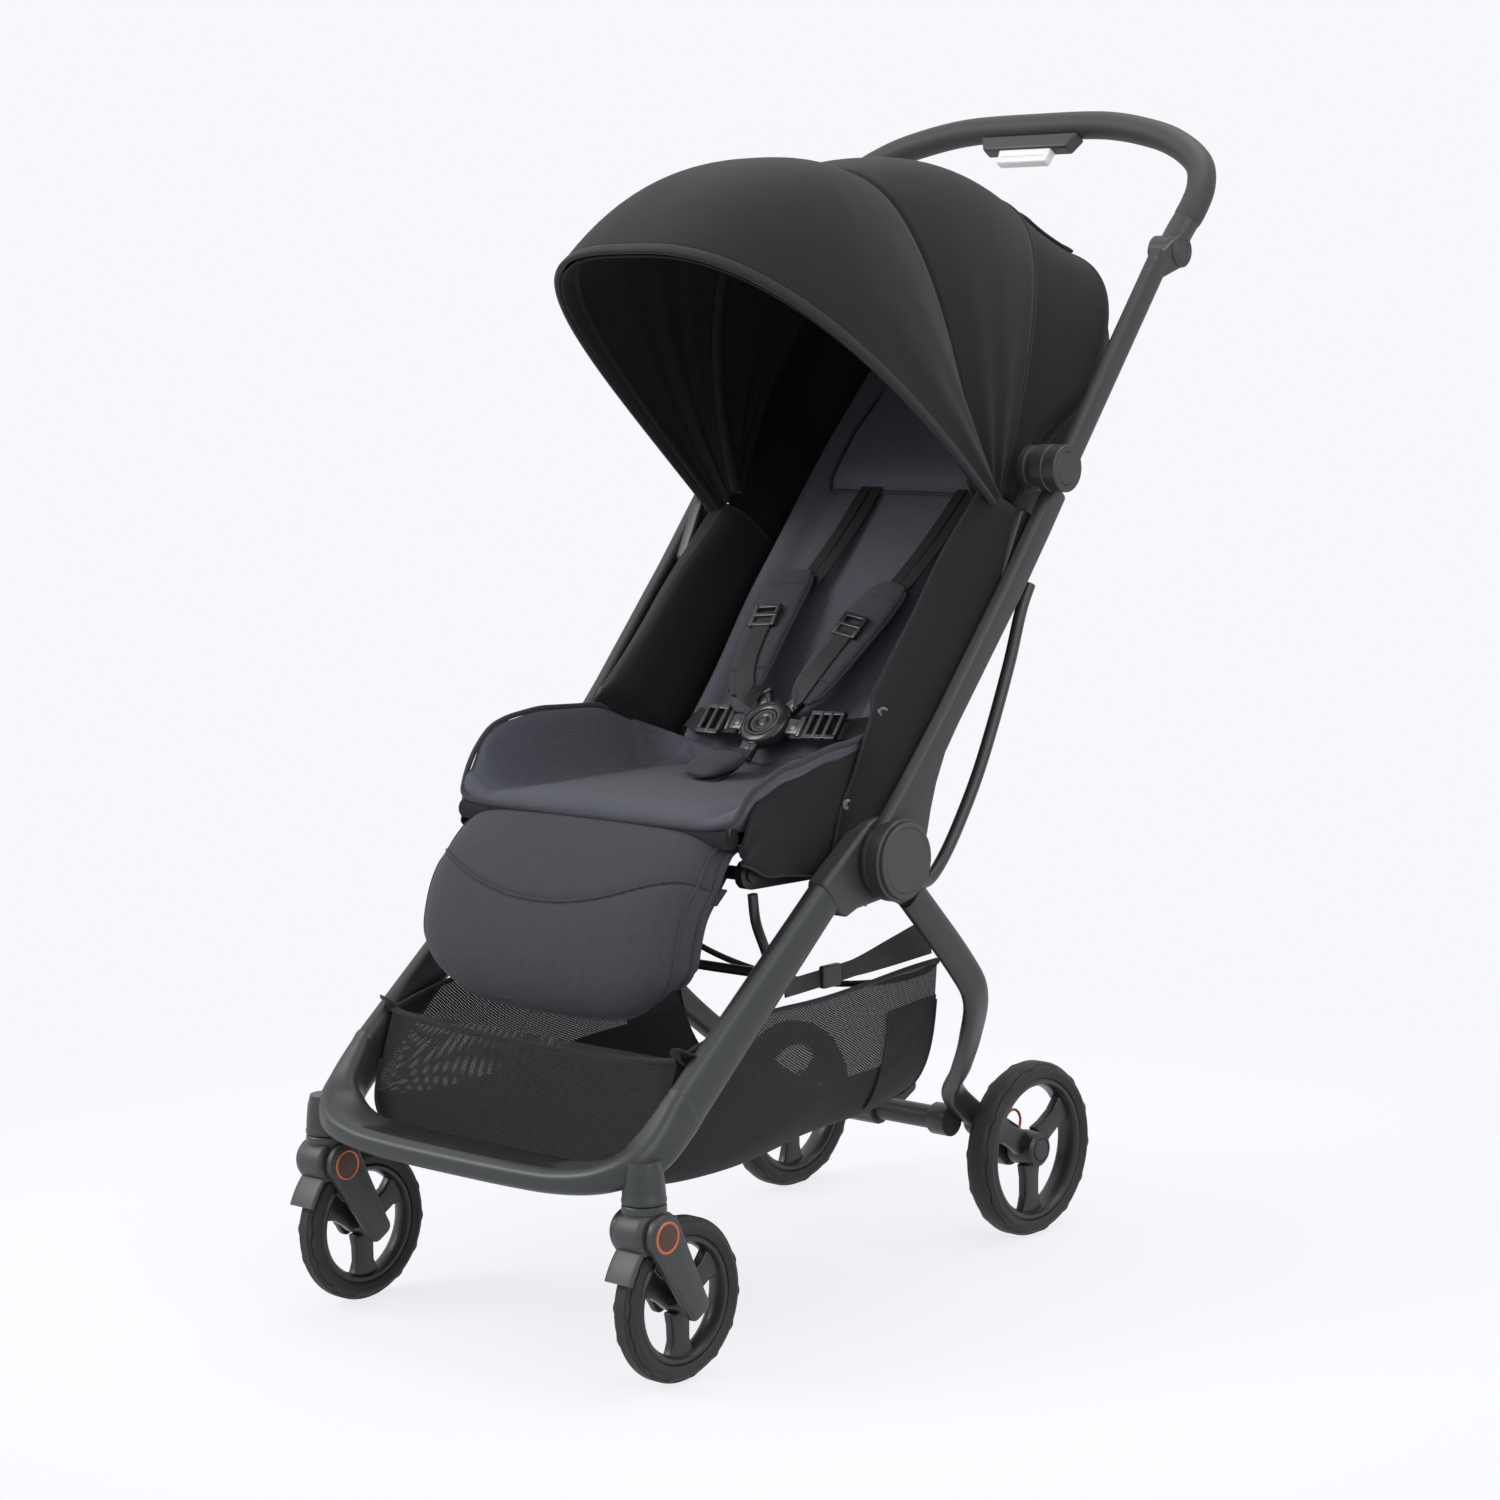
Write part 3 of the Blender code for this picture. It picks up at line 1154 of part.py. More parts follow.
def build_harness():
    """Shoulder straps, buckle and the buckle's press button."""
    front = BACK_SHELL_THICKNESS / 2 + BACK_PAD_THICKNESS + 0.006
    buckle_run = 0.0560
    for name, side in SIDES:
        route = [
            (side * 0.0600, 0.330, front + 0.002),
            (side * 0.0580, 0.225, front + 0.006),
            (side * 0.0520, 0.160, front + 0.013),
            (side * 0.0420, 0.115, front + 0.018),
            (side * 0.0320, 0.083, front + 0.018),
        ]
        path = smooth_path([back_point(*p) for p in route], 2)
        strap = swept(path, [0.0180, 0.0210, 0.0200, 0.0120], [0.0035, 0.0060, 0.0060, 0.0040], 3.0, 8)
        finish(strap, f"shoulder_strap_{name}", "slate", BACK, 60.0)
    centre = back_point(0.0, buckle_run, front + 0.012)
    turn = (PUSH - 0.10, 0.0, 0.0)
    normal = Vector((0.0, -math.sin(turn[0]), math.cos(turn[0])))
    buckle = post((0.0, 0.0), -0.0060, 0.0040, 0.0270, 0.0250, 20, 0.0012)
    buckle.location = centre - normal * 0.0010
    buckle.rotation_euler = turn
    well = post((0.0, 0.0), -0.0040, 0.0040, BUTTON_RADIUS + RUN, BUTTON_RADIUS + RUN, 20)
    well.location = centre + normal * 0.0035
    well.rotation_euler = turn
    combine(buckle, well, "DIFFERENCE")
    finish(buckle, "buckle", "black_plastic", BACK)
    slide = pivot("buckle_button_slide", centre, BACK)
    button = post((0.0, 0.0), -0.0016, 0.0016, BUTTON_RADIUS, BUTTON_RADIUS - 0.0008, 20, 0.0006)
    button.location = centre + normal * 0.0028
    button.rotation_euler = turn
    finish(button, "buckle_button", "plastic", slide)


# Canopy

def hoop_at(angle_keys, share):
    """Hoop values between two hoops."""
    first, second = angle_keys
    return [a + (b - a) * share for a, b in zip(first, second)]


def hoop_points(angle, half_width, height, squareness, lean, count=17, inset=0.0):
    """Points of one canopy hoop, from its right foot over the top to its left foot."""
    points = []
    for i in range(count):
        a = math.pi * i / (count - 1)
        c, s = math.cos(a), math.sin(a)
        x = (half_width - inset) * math.copysign(abs(c) ** (2 / squareness), c)
        rise = max((height - inset) * abs(s) ** (2 / squareness), CANOPY_FOOT)
        reach = CANOPY_FOOT_X + 0.4 * max(0.0, rise - CANOPY_FREE_RISE)
        x = math.copysign(min(abs(x), reach), x)
        turn = math.radians(angle) + lean * (rise / height - 1)
        points.append(Vector((x, *along(CANOPY_PIVOT, turn, rise))))
    return points


def build_canopy_panel(name, first, second, carrier, steps, trim):
    """One canopy panel between two hoops, drawn in a little between them."""
    rows = []
    for i in range(steps + 1):
        share = trim + (1 - 2 * trim) * i / steps
        angle, half, height, square, lean = hoop_at((first, second), share)
        sag = 0.004 * math.sin(math.pi * share)
        rows.append(hoop_points(angle, half - sag, height - sag, square, lean))
    obj = sheet(rows, CANOPY_FABRIC, 0.0)
    finish(obj, name, "black_fabric", carrier, 60.0)


def build_canopy_bow():
    """Flexible bow inside the front hem."""
    hoop = hoop_at((CANOPY_MID_HOOP, CANOPY_HEM_HOOP), 0.88)
    points = hoop_points(*hoop, 17, 0.0120)
    finish(wire(points, 0.0026, 1), "canopy_bow", "black_plastic", CANOPY_FRONT)


# Build everything

build_foot_bar()
build_pivot_tube()
build_basket()
build_axle_bar()
build_brake()
for side_name, sign in SIDES:
    build_front_leg(side_name, sign)
    build_housing(side_name, sign)
    build_caster(side_name, sign)
    build_rear_leg(side_name, sign)
    build_wheel(
        "rear", side_name, sign, REAR_WHEEL_RADIUS, REAR_WHEEL_WIDTH, REAR_WHEEL_X, REAR_AXLE, REAR
    )
    build_push_tube(side_name, sign)
    build_hub_cover(side_name, sign)
    build_stay(side_name, sign)
    build_canopy_mount(side_name, sign)
    build_side_panel(side_name, sign)
    build_upper_tube(side_name, sign)
    build_tilt_button(side_name, sign)
build_handlebar()
build_trigger()
build_seat_frame()
build_seat_pad()
build_footrest()
build_support_loop()
build_back_shell()
build_back_pad()
build_harness()
build_canopy_panel("canopy_rear", CANOPY_REAR_HOOP, CANOPY_SEAM_HOOP, PUSH_BODY, 3, 0.03)
build_canopy_panel("canopy_mid", CANOPY_SEAM_HOOP, CANOPY_MID_HOOP, CANOPY_MID, 4, 0.02)
build_canopy_panel("canopy_front", CANOPY_MID_HOOP, CANOPY_HEM_HOOP, CANOPY_FRONT, 3, 0.02)
build_canopy_bow()
bpy.context.view_layer.update()
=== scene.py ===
"""Looks of the compact stroller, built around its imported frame.

Lengths are metres, +Z is up, the child faces -Y and +X is the side nearest the camera.
Side views are (y, z). Along the push frame, t runs up from the hub and n stands in front of it.
"""

import json
import logging
import math
from dataclasses import dataclass
from enum import Enum
from typing import Callable, ClassVar, Sequence

import bmesh
import bpy
import numpy as np
from mathutils import Matrix, Vector

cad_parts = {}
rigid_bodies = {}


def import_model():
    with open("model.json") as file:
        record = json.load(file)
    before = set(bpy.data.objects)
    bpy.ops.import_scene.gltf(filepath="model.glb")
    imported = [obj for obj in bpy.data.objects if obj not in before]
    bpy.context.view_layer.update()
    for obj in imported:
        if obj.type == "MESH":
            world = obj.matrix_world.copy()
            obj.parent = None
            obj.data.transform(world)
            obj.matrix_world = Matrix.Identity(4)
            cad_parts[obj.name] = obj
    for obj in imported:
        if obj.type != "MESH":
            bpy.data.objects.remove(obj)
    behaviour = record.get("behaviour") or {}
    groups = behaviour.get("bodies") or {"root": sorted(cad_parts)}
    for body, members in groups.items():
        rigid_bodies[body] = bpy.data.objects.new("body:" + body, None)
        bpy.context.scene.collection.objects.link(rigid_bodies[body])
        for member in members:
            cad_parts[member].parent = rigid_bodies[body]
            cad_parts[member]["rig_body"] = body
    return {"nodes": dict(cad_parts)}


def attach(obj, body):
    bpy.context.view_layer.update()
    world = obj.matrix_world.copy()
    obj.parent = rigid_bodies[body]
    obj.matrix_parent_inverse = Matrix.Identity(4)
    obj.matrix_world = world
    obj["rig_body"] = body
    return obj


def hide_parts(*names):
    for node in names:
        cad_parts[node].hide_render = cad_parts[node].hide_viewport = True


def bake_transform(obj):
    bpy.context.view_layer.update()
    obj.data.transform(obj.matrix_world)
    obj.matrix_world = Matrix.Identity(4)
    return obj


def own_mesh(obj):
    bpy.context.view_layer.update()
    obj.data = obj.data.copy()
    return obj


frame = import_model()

LOG = logging.getLogger("stroller")
Pair = tuple[float, float]
Rows = list[list[Vector]]
SIDES: tuple[tuple[str, int], ...] = (("left", -1), ("right", 1))
UP = Vector((0.0, 0.0, 1.0))
LIGHT_CLOTH = 0.0014
CLOTH = 0.0016
HEAVY_CLOTH = 0.0018
SOFT_ANGLE = 60.0
MOULD_ANGLE = 35.0


class Slot(Enum):
    """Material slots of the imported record."""

    FRAME = "frame"
    PLASTIC = "plastic"
    BLACK_PLASTIC = "black_plastic"
    TYRE = "tyre"
    FOAM = "foam"
    COPPER = "copper"
    CLEAR = "clear"
    SLATE = "slate"
    BLACK_FABRIC = "black_fabric"
    MESH_FABRIC = "mesh_fabric"


@dataclass(frozen=True)
class SidePlan:
    """Main joints in side view and the angles of the tubes.

    Every place is (y, z) and every angle is in radians from +Y.
    """

    hub: Pair = (-0.09, 0.401)
    push_angle: float = math.radians(48.3)
    upper_hub: Pair = (0.14047, 0.72657)
    upper_angle: float = math.radians(51.2)
    knuckle: Pair = (0.32006, 0.91913)
    handle_angle: float = math.radians(56.0)
    front_axle: Pair = (-0.355, 0.069)
    rear_axle: Pair = (0.182, 0.0825)

    def push(self, x: float, t: float, n: float) -> Vector:
        """A point at t up the push frame and n in front of it."""
        c, s = math.cos(self.push_angle), math.sin(self.push_angle)
        return Vector((x, self.hub[0] + t * c - n * s, self.hub[1] + t * s + n * c))

    def ahead(self) -> Vector:
        """Direction up the push frame."""
        return Vector((0.0, math.cos(self.push_angle), math.sin(self.push_angle)))

    def front(self) -> Vector:
        """Direction square to the push frame, towards the child."""
        return Vector((0.0, -math.sin(self.push_angle), math.cos(self.push_angle)))

    def handle(self, x: float, rise: float, lift: float = 0.0) -> Vector:
        """A point in the handlebar's plane.

        Args:
            x: Sideways place.
            rise: Run up the plane from the knuckle.
            lift: Height square to the plane.

        Returns:
            The point in the row frame.
        """
        c, s = math.cos(self.handle_angle), math.sin(self.handle_angle)
        y, z = self.knuckle
        return Vector((x, y + rise * c - lift * s, z + rise * s + lift * c))


PLAN = SidePlan()


def along(point: Pair, angle: float, run: float, rise: float = 0.0) -> Pair:
    """Side-view point at run along an angle from a point, and rise square to it."""
    c, s = math.cos(angle), math.sin(angle)
    return point[0] + run * c - rise * s, point[1] + run * s + rise * c


def smooth_path(points: Sequence[Sequence[float]], steps: int) -> list[Vector]:
    """Points on a smooth curve through the given points.

    Args:
        points: Points to pass through.
        steps: Points made for each stretch.

    Returns:
        The curve's points.
    """
    route = [Vector(p) for p in points]
    ends = [2 * route[0] - route[1], *route, 2 * route[-1] - route[-2]]
    path = []
    for a, b, c, d in zip(ends, ends[1:], ends[2:], ends[3:]):
        for i in range(steps):
            u = i / steps
            path.append(
                0.5 * (2 * b + (c - a) * u + (2 * a - 5 * b + 4 * c - d) * u**2)
                + 0.5 * (3 * b - a - 3 * c + d) * u**3
            )
    return [*path, route[-1]]


def ahead_at(path: Sequence[Vector], i: int) -> Vector:
    """Direction of a path at one of its points."""
    return (path[min(i + 1, len(path) - 1)] - path[max(i - 1, 0)]).normalized()


def spread(path: Sequence[Vector], count: int) -> list[Vector]:
    """A path's points again at even spacing.

    Args:
        path: Points of the path.
        count: Number of points to make.

    Returns:
        Evenly spaced points, the two ends kept.
    """
    run = [0.0]
    for a, b in zip(path, path[1:]):
        run.append(run[-1] + (b - a).length)
    made, k = [], 0
    for i in range(count):
        want = run[-1] * i / (count - 1)
        while k < len(run) - 2 and run[k + 1] < want:
            k += 1
        span = max(run[k + 1] - run[k], 1e-9)
        made.append(path[k].lerp(path[k + 1], min(1.0, max(0.0, (want - run[k]) / span))))
    return made


def keyed(keys: Sequence[float], share: float) -> float:
    """Straight-line reading of a row of key values.

    Args:
        keys: Values at even shares.
        share: Where to read, from 0 to 1.

    Returns:
        The value there.
    """
    place = min(max(share, 0.0), 1.0) * (len(keys) - 1)
    low = min(int(place), len(keys) - 2)
    return keys[low] + (keys[low + 1] - keys[low]) * (place - low)


def curve_of(keys: Sequence[Pair], at: float) -> float:
    """Smooth reading of a table of (place, value) pairs.

    Args:
        keys: Pairs in rising order of place.
        at: The place to read.

    Returns:
        The value there.
    """
    if at <= keys[0][0]:
        return keys[0][1]
    for (a, low), (b, high) in zip(keys, keys[1:]):
        if at <= b:
            u = (at - a) / (b - a)
            return low + (high - low) * u * u * (3 - 2 * u)
    return keys[-1][1]


def oval(half_wide: float, half_high: float, squareness: float, count: int) -> list[Pair]:
    """Points round a rounded rectangle section.

    Args:
        half_wide: Half the width.
        half_high: Half the height.
        squareness: 2 for an ellipse, more for squarer corners.
        count: Number of points.

    Returns:
        The section's points.
    """
    ring = []
    for i in range(count):
        a = 2 * math.pi * (i + 0.5) / count
        c, s = math.cos(a), math.sin(a)
        ring.append(
            (
                half_wide * math.copysign(abs(c) ** (2 / squareness), c),
                half_high * math.copysign(abs(s) ** (2 / squareness), s),
            )
        )
    return ring


def arc(centre: Pair, radius: float, start: float, end: float, count: int) -> list[Pair]:
    """Side-view points along an arc."""
    turns = [math.radians(start + (end - start) * i / (count - 1)) for i in range(count)]
    return [(centre[0] + radius * math.cos(a), centre[1] + radius * math.sin(a)) for a in turns]


def grid(deep: int, count: int, point: Callable[[float, float], Vector]) -> Rows:
    """Rows of points from a function of two shares."""
    return [[point(j / (deep - 1), k / (count - 1)) for k in range(count)] for j in range(deep)]


def rim_of(rows: Rows) -> list[Vector]:
    """The outer edge of a sheet's rows, back to just before its start."""
    return rows[0] + [row[-1] for row in rows[1:]] + rows[-1][-2::-1] + [row[0] for row in rows[-2:0:-1]]


class Maker:
    """Turns rows of points into mesh objects."""

    @staticmethod
    def link(name: str, mesh: bpy.types.Mesh) -> bpy.types.Object:
        """Put a mesh in the scene as a named object."""
        obj = bpy.data.objects.new(name, mesh)
        bpy.context.scene.collection.objects.link(obj)
        return obj

    @staticmethod
    def surface(
        name: str, rows: Rows, ring: bool = False, loop: bool = False, caps: bool = False, turn: bool = True
    ) -> bpy.types.Object:
        """Quads through rows of points, with a cloth map in metres.

        Args:
            name: Piece name.
            rows: Rows of equal length.
            ring: Whether each row closes on itself.
            loop: Whether the last row leads back to the first.
            caps: Whether the first and last rows are filled.
            turn: Whether to turn the faces outwards.

        Returns:
            The new object.
        """
        count, deep = len(rows[0]), len(rows)
        middle_row, middle = rows[deep // 2], count // 2
        across, down = [0.0], [0.0]
        for k in range(1, count + 1):
            across.append(across[-1] + (middle_row[k % count] - middle_row[k - 1]).length)
        for r in range(1, deep + 1):
            down.append(down[-1] + (rows[r % deep][middle] - rows[r - 1][middle]).length)
        faces, marks = [], []
        for r in range(deep if loop else deep - 1):
            n = (r + 1) % deep
            for k in range(count if ring else count - 1):
                j = (k + 1) % count
                faces.append((r * count + k, r * count + j, n * count + j, n * count + k))
                marks += [(across[k], down[r]), (across[k + 1], down[r])]
                marks += [(across[k + 1], down[r + 1]), (across[k], down[r + 1])]
        if caps:
            for r in (0, deep - 1):
                faces.append(tuple(r * count + k for k in range(count)))
                marks += [(across[k], down[r]) for k in range(count)]
        mesh = bpy.data.meshes.new(name)
        mesh.from_pydata([tuple(p) for row in rows for p in row], [], faces)
        layer = mesh.uv_layers.new(name="cloth")
        layer.data.foreach_set("uv", np.array(marks, np.float32).ravel())
        work = bmesh.new()
        work.from_mesh(mesh)
        bmesh.ops.remove_doubles(work, verts=work.verts, dist=0.00001)
        if turn:
            bmesh.ops.recalc_face_normals(work, faces=work.faces)
            if (ring or loop) and work.calc_volume(signed=True) < 0:
                bmesh.ops.reverse_faces(work, faces=work.faces)
        work.to_mesh(mesh)
        work.free()
        return Maker.link(name, mesh)

    @staticmethod
    def sweep(
        name: str, path: Sequence[Vector], sections: Sequence[Sequence[Pair]], ups: Sequence[Vector] | Vector
    ) -> bpy.types.Object:
        """A section carried along a path.

        Args:
            name: Piece name.
            path: Points of the path.
            sections: One section for all, or one for each point, as (aside, up) pairs.
            ups: Up direction for all, or one for each point.

        Returns:
            The new object.
        """
        rows = []
        for i, place in enumerate(path):
            ahead = ahead_at(path, i)
            up = ups if isinstance(ups, Vector) else ups[i]
            up = (up - ahead * up.dot(ahead)).normalized()
            aside = up.cross(ahead)
            section = sections[i] if len(sections) > 1 else sections[0]
            rows.append([place + aside * a + up * b for a, b in section])
        return Maker.surface(name, rows, ring=True, caps=True)

    @staticmethod
    def tube(
        name: str, path: Sequence[Vector], radius: float | Sequence[float], count: int
    ) -> bpy.types.Object:
        """A round tube along a path, without twist.

        Args:
            name: Piece name.
            path: Points of the path.
            radius: One radius, or key radii along the path.
            count: Points round the tube.

        Returns:
            The new object.
        """
        ups, up = [], ahead_at(path, 0).orthogonal()
        for i in range(len(path)):
            ahead = ahead_at(path, i)
            up = (up - ahead * up.dot(ahead)).normalized()
            ups.append(up.copy())
        keys = [radius, radius] if isinstance(radius, float) else list(radius)
        radii = [keyed(keys, i / (len(path) - 1)) for i in range(len(path))]
        return Maker.sweep(name, path, [oval(r, r, 2.0, count) for r in radii], ups)

    @staticmethod
    def ribbon(
        name: str, path: Sequence[Vector], normals: Sequence[Vector] | Vector, width: float | Sequence[float],
        thickness: float
    ) -> bpy.types.Object:
        """A flat strap along a path.

        Args:
            name: Piece name.
            path: Points of the path.
            normals: Facing of the strap, for all or for each point.
            width: One width, or key widths along the path.
            thickness: Its thickness.

        Returns:
            The new object.
        """
        keys = [width, width] if isinstance(width, float) else list(width)
        last = len(path) - 1
        sections = [oval(keyed(keys, i / last) / 2, thickness / 2, 5.0, 16) for i in range(len(path))]
        return Maker.sweep(name, path, sections, normals)

    @staticmethod
    def lathe(
        name: str, profile: Sequence[Pair], centre: Pair, x: float = 0.0, steps: int = 64, side: int = 1
    ) -> bpy.types.Object:
        """A round piece about an X axis."""
        turned = [(radius, side * out) for radius, out in profile]
        return Maker.turned(name, turned, Vector((x, *centre)), Vector((1.0, 0.0, 0.0)), steps)

    @staticmethod
    def turned(
        name: str, profile: Sequence[Pair], place: Vector, axis: Vector, steps: int = 48
    ) -> bpy.types.Object:
        """A round piece about any axis.

        Args:
            name: Piece name.
            profile: Closed outline as (radius, height) pairs.
            place: Where the height is zero on the axis.
            axis: Direction of the axis.
            steps: Steps round it.

        Returns:
            The new object.
        """
        axis = axis.normalized()
        first = axis.orthogonal().normalized()
        second = axis.cross(first)
        rows = []
        for i in range(steps):
            a = 2 * math.pi * i / steps
            out = first * math.cos(a) + second * math.sin(a)
            rows.append([place + axis * height + out * radius for radius, height in profile])
        return Maker.surface(name, rows, ring=True, loop=True)

    @staticmethod
    def plate(
        name: str, outline: Sequence[Pair], x_from: float, x_to: float, bevel: float, segments: int = 4
    ) -> bpy.types.Object:
        """A flat piece with a side-view outline and rounded rims.

        Args:
            name: Piece name.
            outline: Its outline as (y, z) pairs.
            x_from: One face.
            x_to: The other face.
            bevel: Radius of its rims.
            segments: Steps in that radius.

        Returns:
            The new object.
        """
        rows = [[Vector((x, y, z)) for y, z in outline] for x in (x_from, x_to)]
        obj = Maker.surface(name, rows, ring=True, caps=True)
        Maker.bevel(obj, bevel, segments, 50.0)
        return obj

    @staticmethod
    def block(
        name: str, centre: Vector, size: Sequence[float], axes: Matrix, bevel: float, segments: int = 3,
        taper: float = 1.0
    ) -> bpy.types.Object:
        """A moulded block with rounded edges and drafted sides.

        Args:
            name: Piece name.
            centre: Its middle.
            size: Width, depth and height along its axes.
            axes: Its three axes as the columns of a 3x3 matrix.
            bevel: Edge radius.
            segments: Steps in that radius.
            taper: Size of the top against the bottom.

        Returns:
            The new object.
        """
        w, d, h = (v / 2 for v in size)
        rows = []
        for level, scale in ((-h, 1.0), (h, taper)):
            corners = ((-w, -d), (w, -d), (w, d), (-w, d))
            rows.append([centre + axes @ Vector((a * scale, b * scale, level)) for a, b in corners])
        obj = Maker.surface(name, rows, ring=True, caps=True)
        Maker.bevel(obj, bevel, segments, 30.0)
        return obj

    @staticmethod
    def bevel(obj: bpy.types.Object, width: float, segments: int = 3, angle: float = 35.0) -> None:
        """Round an object's edges.

        Args:
            obj: The piece.
            width: Edge radius.
            segments: Steps in it.
            angle: Smallest edge angle that is rounded, in degrees.
        """
        rounding = obj.modifiers.new("rounding", "BEVEL")
        rounding.width = width
        rounding.segments = segments
        rounding.limit_method = "ANGLE"
        rounding.angle_limit = math.radians(angle)
        rounding.harden_normals = False

    @staticmethod
    def thicken(obj: bpy.types.Object, thickness: float) -> None:
        """Give a sheet its thickness."""
        solid = obj.modifiers.new("thickness", "SOLIDIFY")
        solid.thickness = thickness
        solid.offset = 0.0
        solid.use_even_offset = False

    @staticmethod
    def subdivide(obj: bpy.types.Object, levels: int = 1) -> None:
        """Smooth a coarse form."""
        smooth = obj.modifiers.new("smooth", "SUBSURF")
        smooth.levels = levels
        smooth.render_levels = levels

    @staticmethod
    def unite(name: str, pieces: Sequence[bpy.types.Object]) -> bpy.types.Object:
        """Put several loose pieces into one object, their modifiers applied.

        Args:
            name: Name of the whole.
            pieces: The pieces, which are removed.

        Returns:
            The new object.
        """
        bpy.context.view_layer.update()
        graph = bpy.context.evaluated_depsgraph_get()
        work = bmesh.new()
        for piece in pieces:
            mesh = bpy.data.meshes.new_from_object(piece.evaluated_get(graph))
            mesh.transform(piece.matrix_world)
            work.from_mesh(mesh)
            bpy.data.meshes.remove(mesh)
        made = bpy.data.meshes.new(name)
        work.to_mesh(made)
        work.free()
        for piece in pieces:
            bpy.data.objects.remove(piece, do_unlink=True)
        return Maker.link(name, made)


class Wiring:
    """Short helpers for building node trees."""

    def __init__(self, tree: bpy.types.NodeTree) -> None:
        """Keep the tree to work on."""
        self.tree = tree

    def join(self, source: object, target: bpy.types.NodeSocket) -> None:
        """Link a socket to an input, or set the input to a number or colour."""
        if isinstance(source, bpy.types.NodeSocket):
            self.tree.links.new(source, target)
        else:
            target.default_value = source

    def feed(self, node: bpy.types.Node, **values: object) -> None:
        """Feed a node's inputs by name, with underscores for spaces."""
        for key, value in values.items():
            self.join(value, node.inputs[key.replace("_", " ")])

    def node(self, kind: str, **values: object) -> bpy.types.Node:
        """Add a node.

        Args:
            kind: Blender's node type.
            values: Properties to set, or inputs by name with underscores.

        Returns:
            The node.
        """
        made = self.tree.nodes.new(kind)
        for key, value in values.items():
            if hasattr(made, key):
                setattr(made, key, value)
            else:
                self.feed(made, **{key: value})
        return made

    def order(self, kind: str, *feeds: object, **values: object) -> bpy.types.NodeSocket:
        """Add a node whose inputs are fed in order.

        Args:
            kind: Blender's node type.
            feeds: Sockets, numbers or colours for its first inputs.
            values: Properties to set.

        Returns:
            Its first output.
        """
        made = self.node(kind, **values)
        for socket, value in zip(made.inputs, feeds):
            self.join(value, socket)
        return made.outputs[0]

    def math(
        self, operation: str, first: object, second: object = 0.0, clamp: bool = False
    ) -> bpy.types.NodeSocket:
        """A Math node on sockets or numbers, kept from 0 to 1 if clamped."""
        return self.order("ShaderNodeMath", first, second, operation=operation, use_clamp=clamp)

    def times(self, first: object, second: object, clamp: bool = False) -> bpy.types.NodeSocket:
        """The product of two sockets or numbers."""
        return self.math("MULTIPLY", first, second, clamp)

    def plus(self, first: object, second: object, clamp: bool = False) -> bpy.types.NodeSocket:
        """The sum of two sockets or numbers."""
        return self.math("ADD", first, second, clamp)

    def mix(self, share: object, first: object, second: object, blend: str = "MIX") -> bpy.types.NodeSocket:
        """A colour Mix node.

        Args:
            share: Socket or number for the factor.
            first: Socket or colour.
            second: Socket or colour.
            blend: Blend type.

        Returns:
            The result's socket.
        """
        made = self.node("ShaderNodeMix", data_type="RGBA", blend_type=blend)
        for place, value in ((0, share), (6, first), (7, second)):
            self.join(value, made.inputs[place])
        return made.outputs[2]

    def over(self, kind: str, **values: object) -> bpy.types.NodeSocket:
        """The first output of a texture laid over the object's own coordinates."""
        place = self.node("ShaderNodeTexCoord").outputs["Object"]
        return self.node(f"ShaderNodeTex{kind}", Vector=place, **values).outputs[0]

    def group(self, name: str, **values: object) -> bpy.types.NodeOutputs:
        """Place a shared group with its own values, and give its outputs."""
        return self.node("ShaderNodeGroup", node_tree=Effects.get(name), **values).outputs

    def bumps(
        self, shader: bpy.types.Node, layers: Sequence[tuple[bpy.types.NodeSocket, float, float]]
    ) -> None:
        """Stack bumps on a shader's normal.

        Args:
            shader: The Principled node.
            layers: Height socket, depth in metres and strength of each.
        """
        before = None
        for height, depth, strength in layers:
            bump = self.node("ShaderNodeBump", Strength=strength, Distance=depth, Height=height)
            if before is not None:
                self.feed(bump, Normal=before)
            before = bump.outputs[0]
        self.feed(shader, Normal=before)


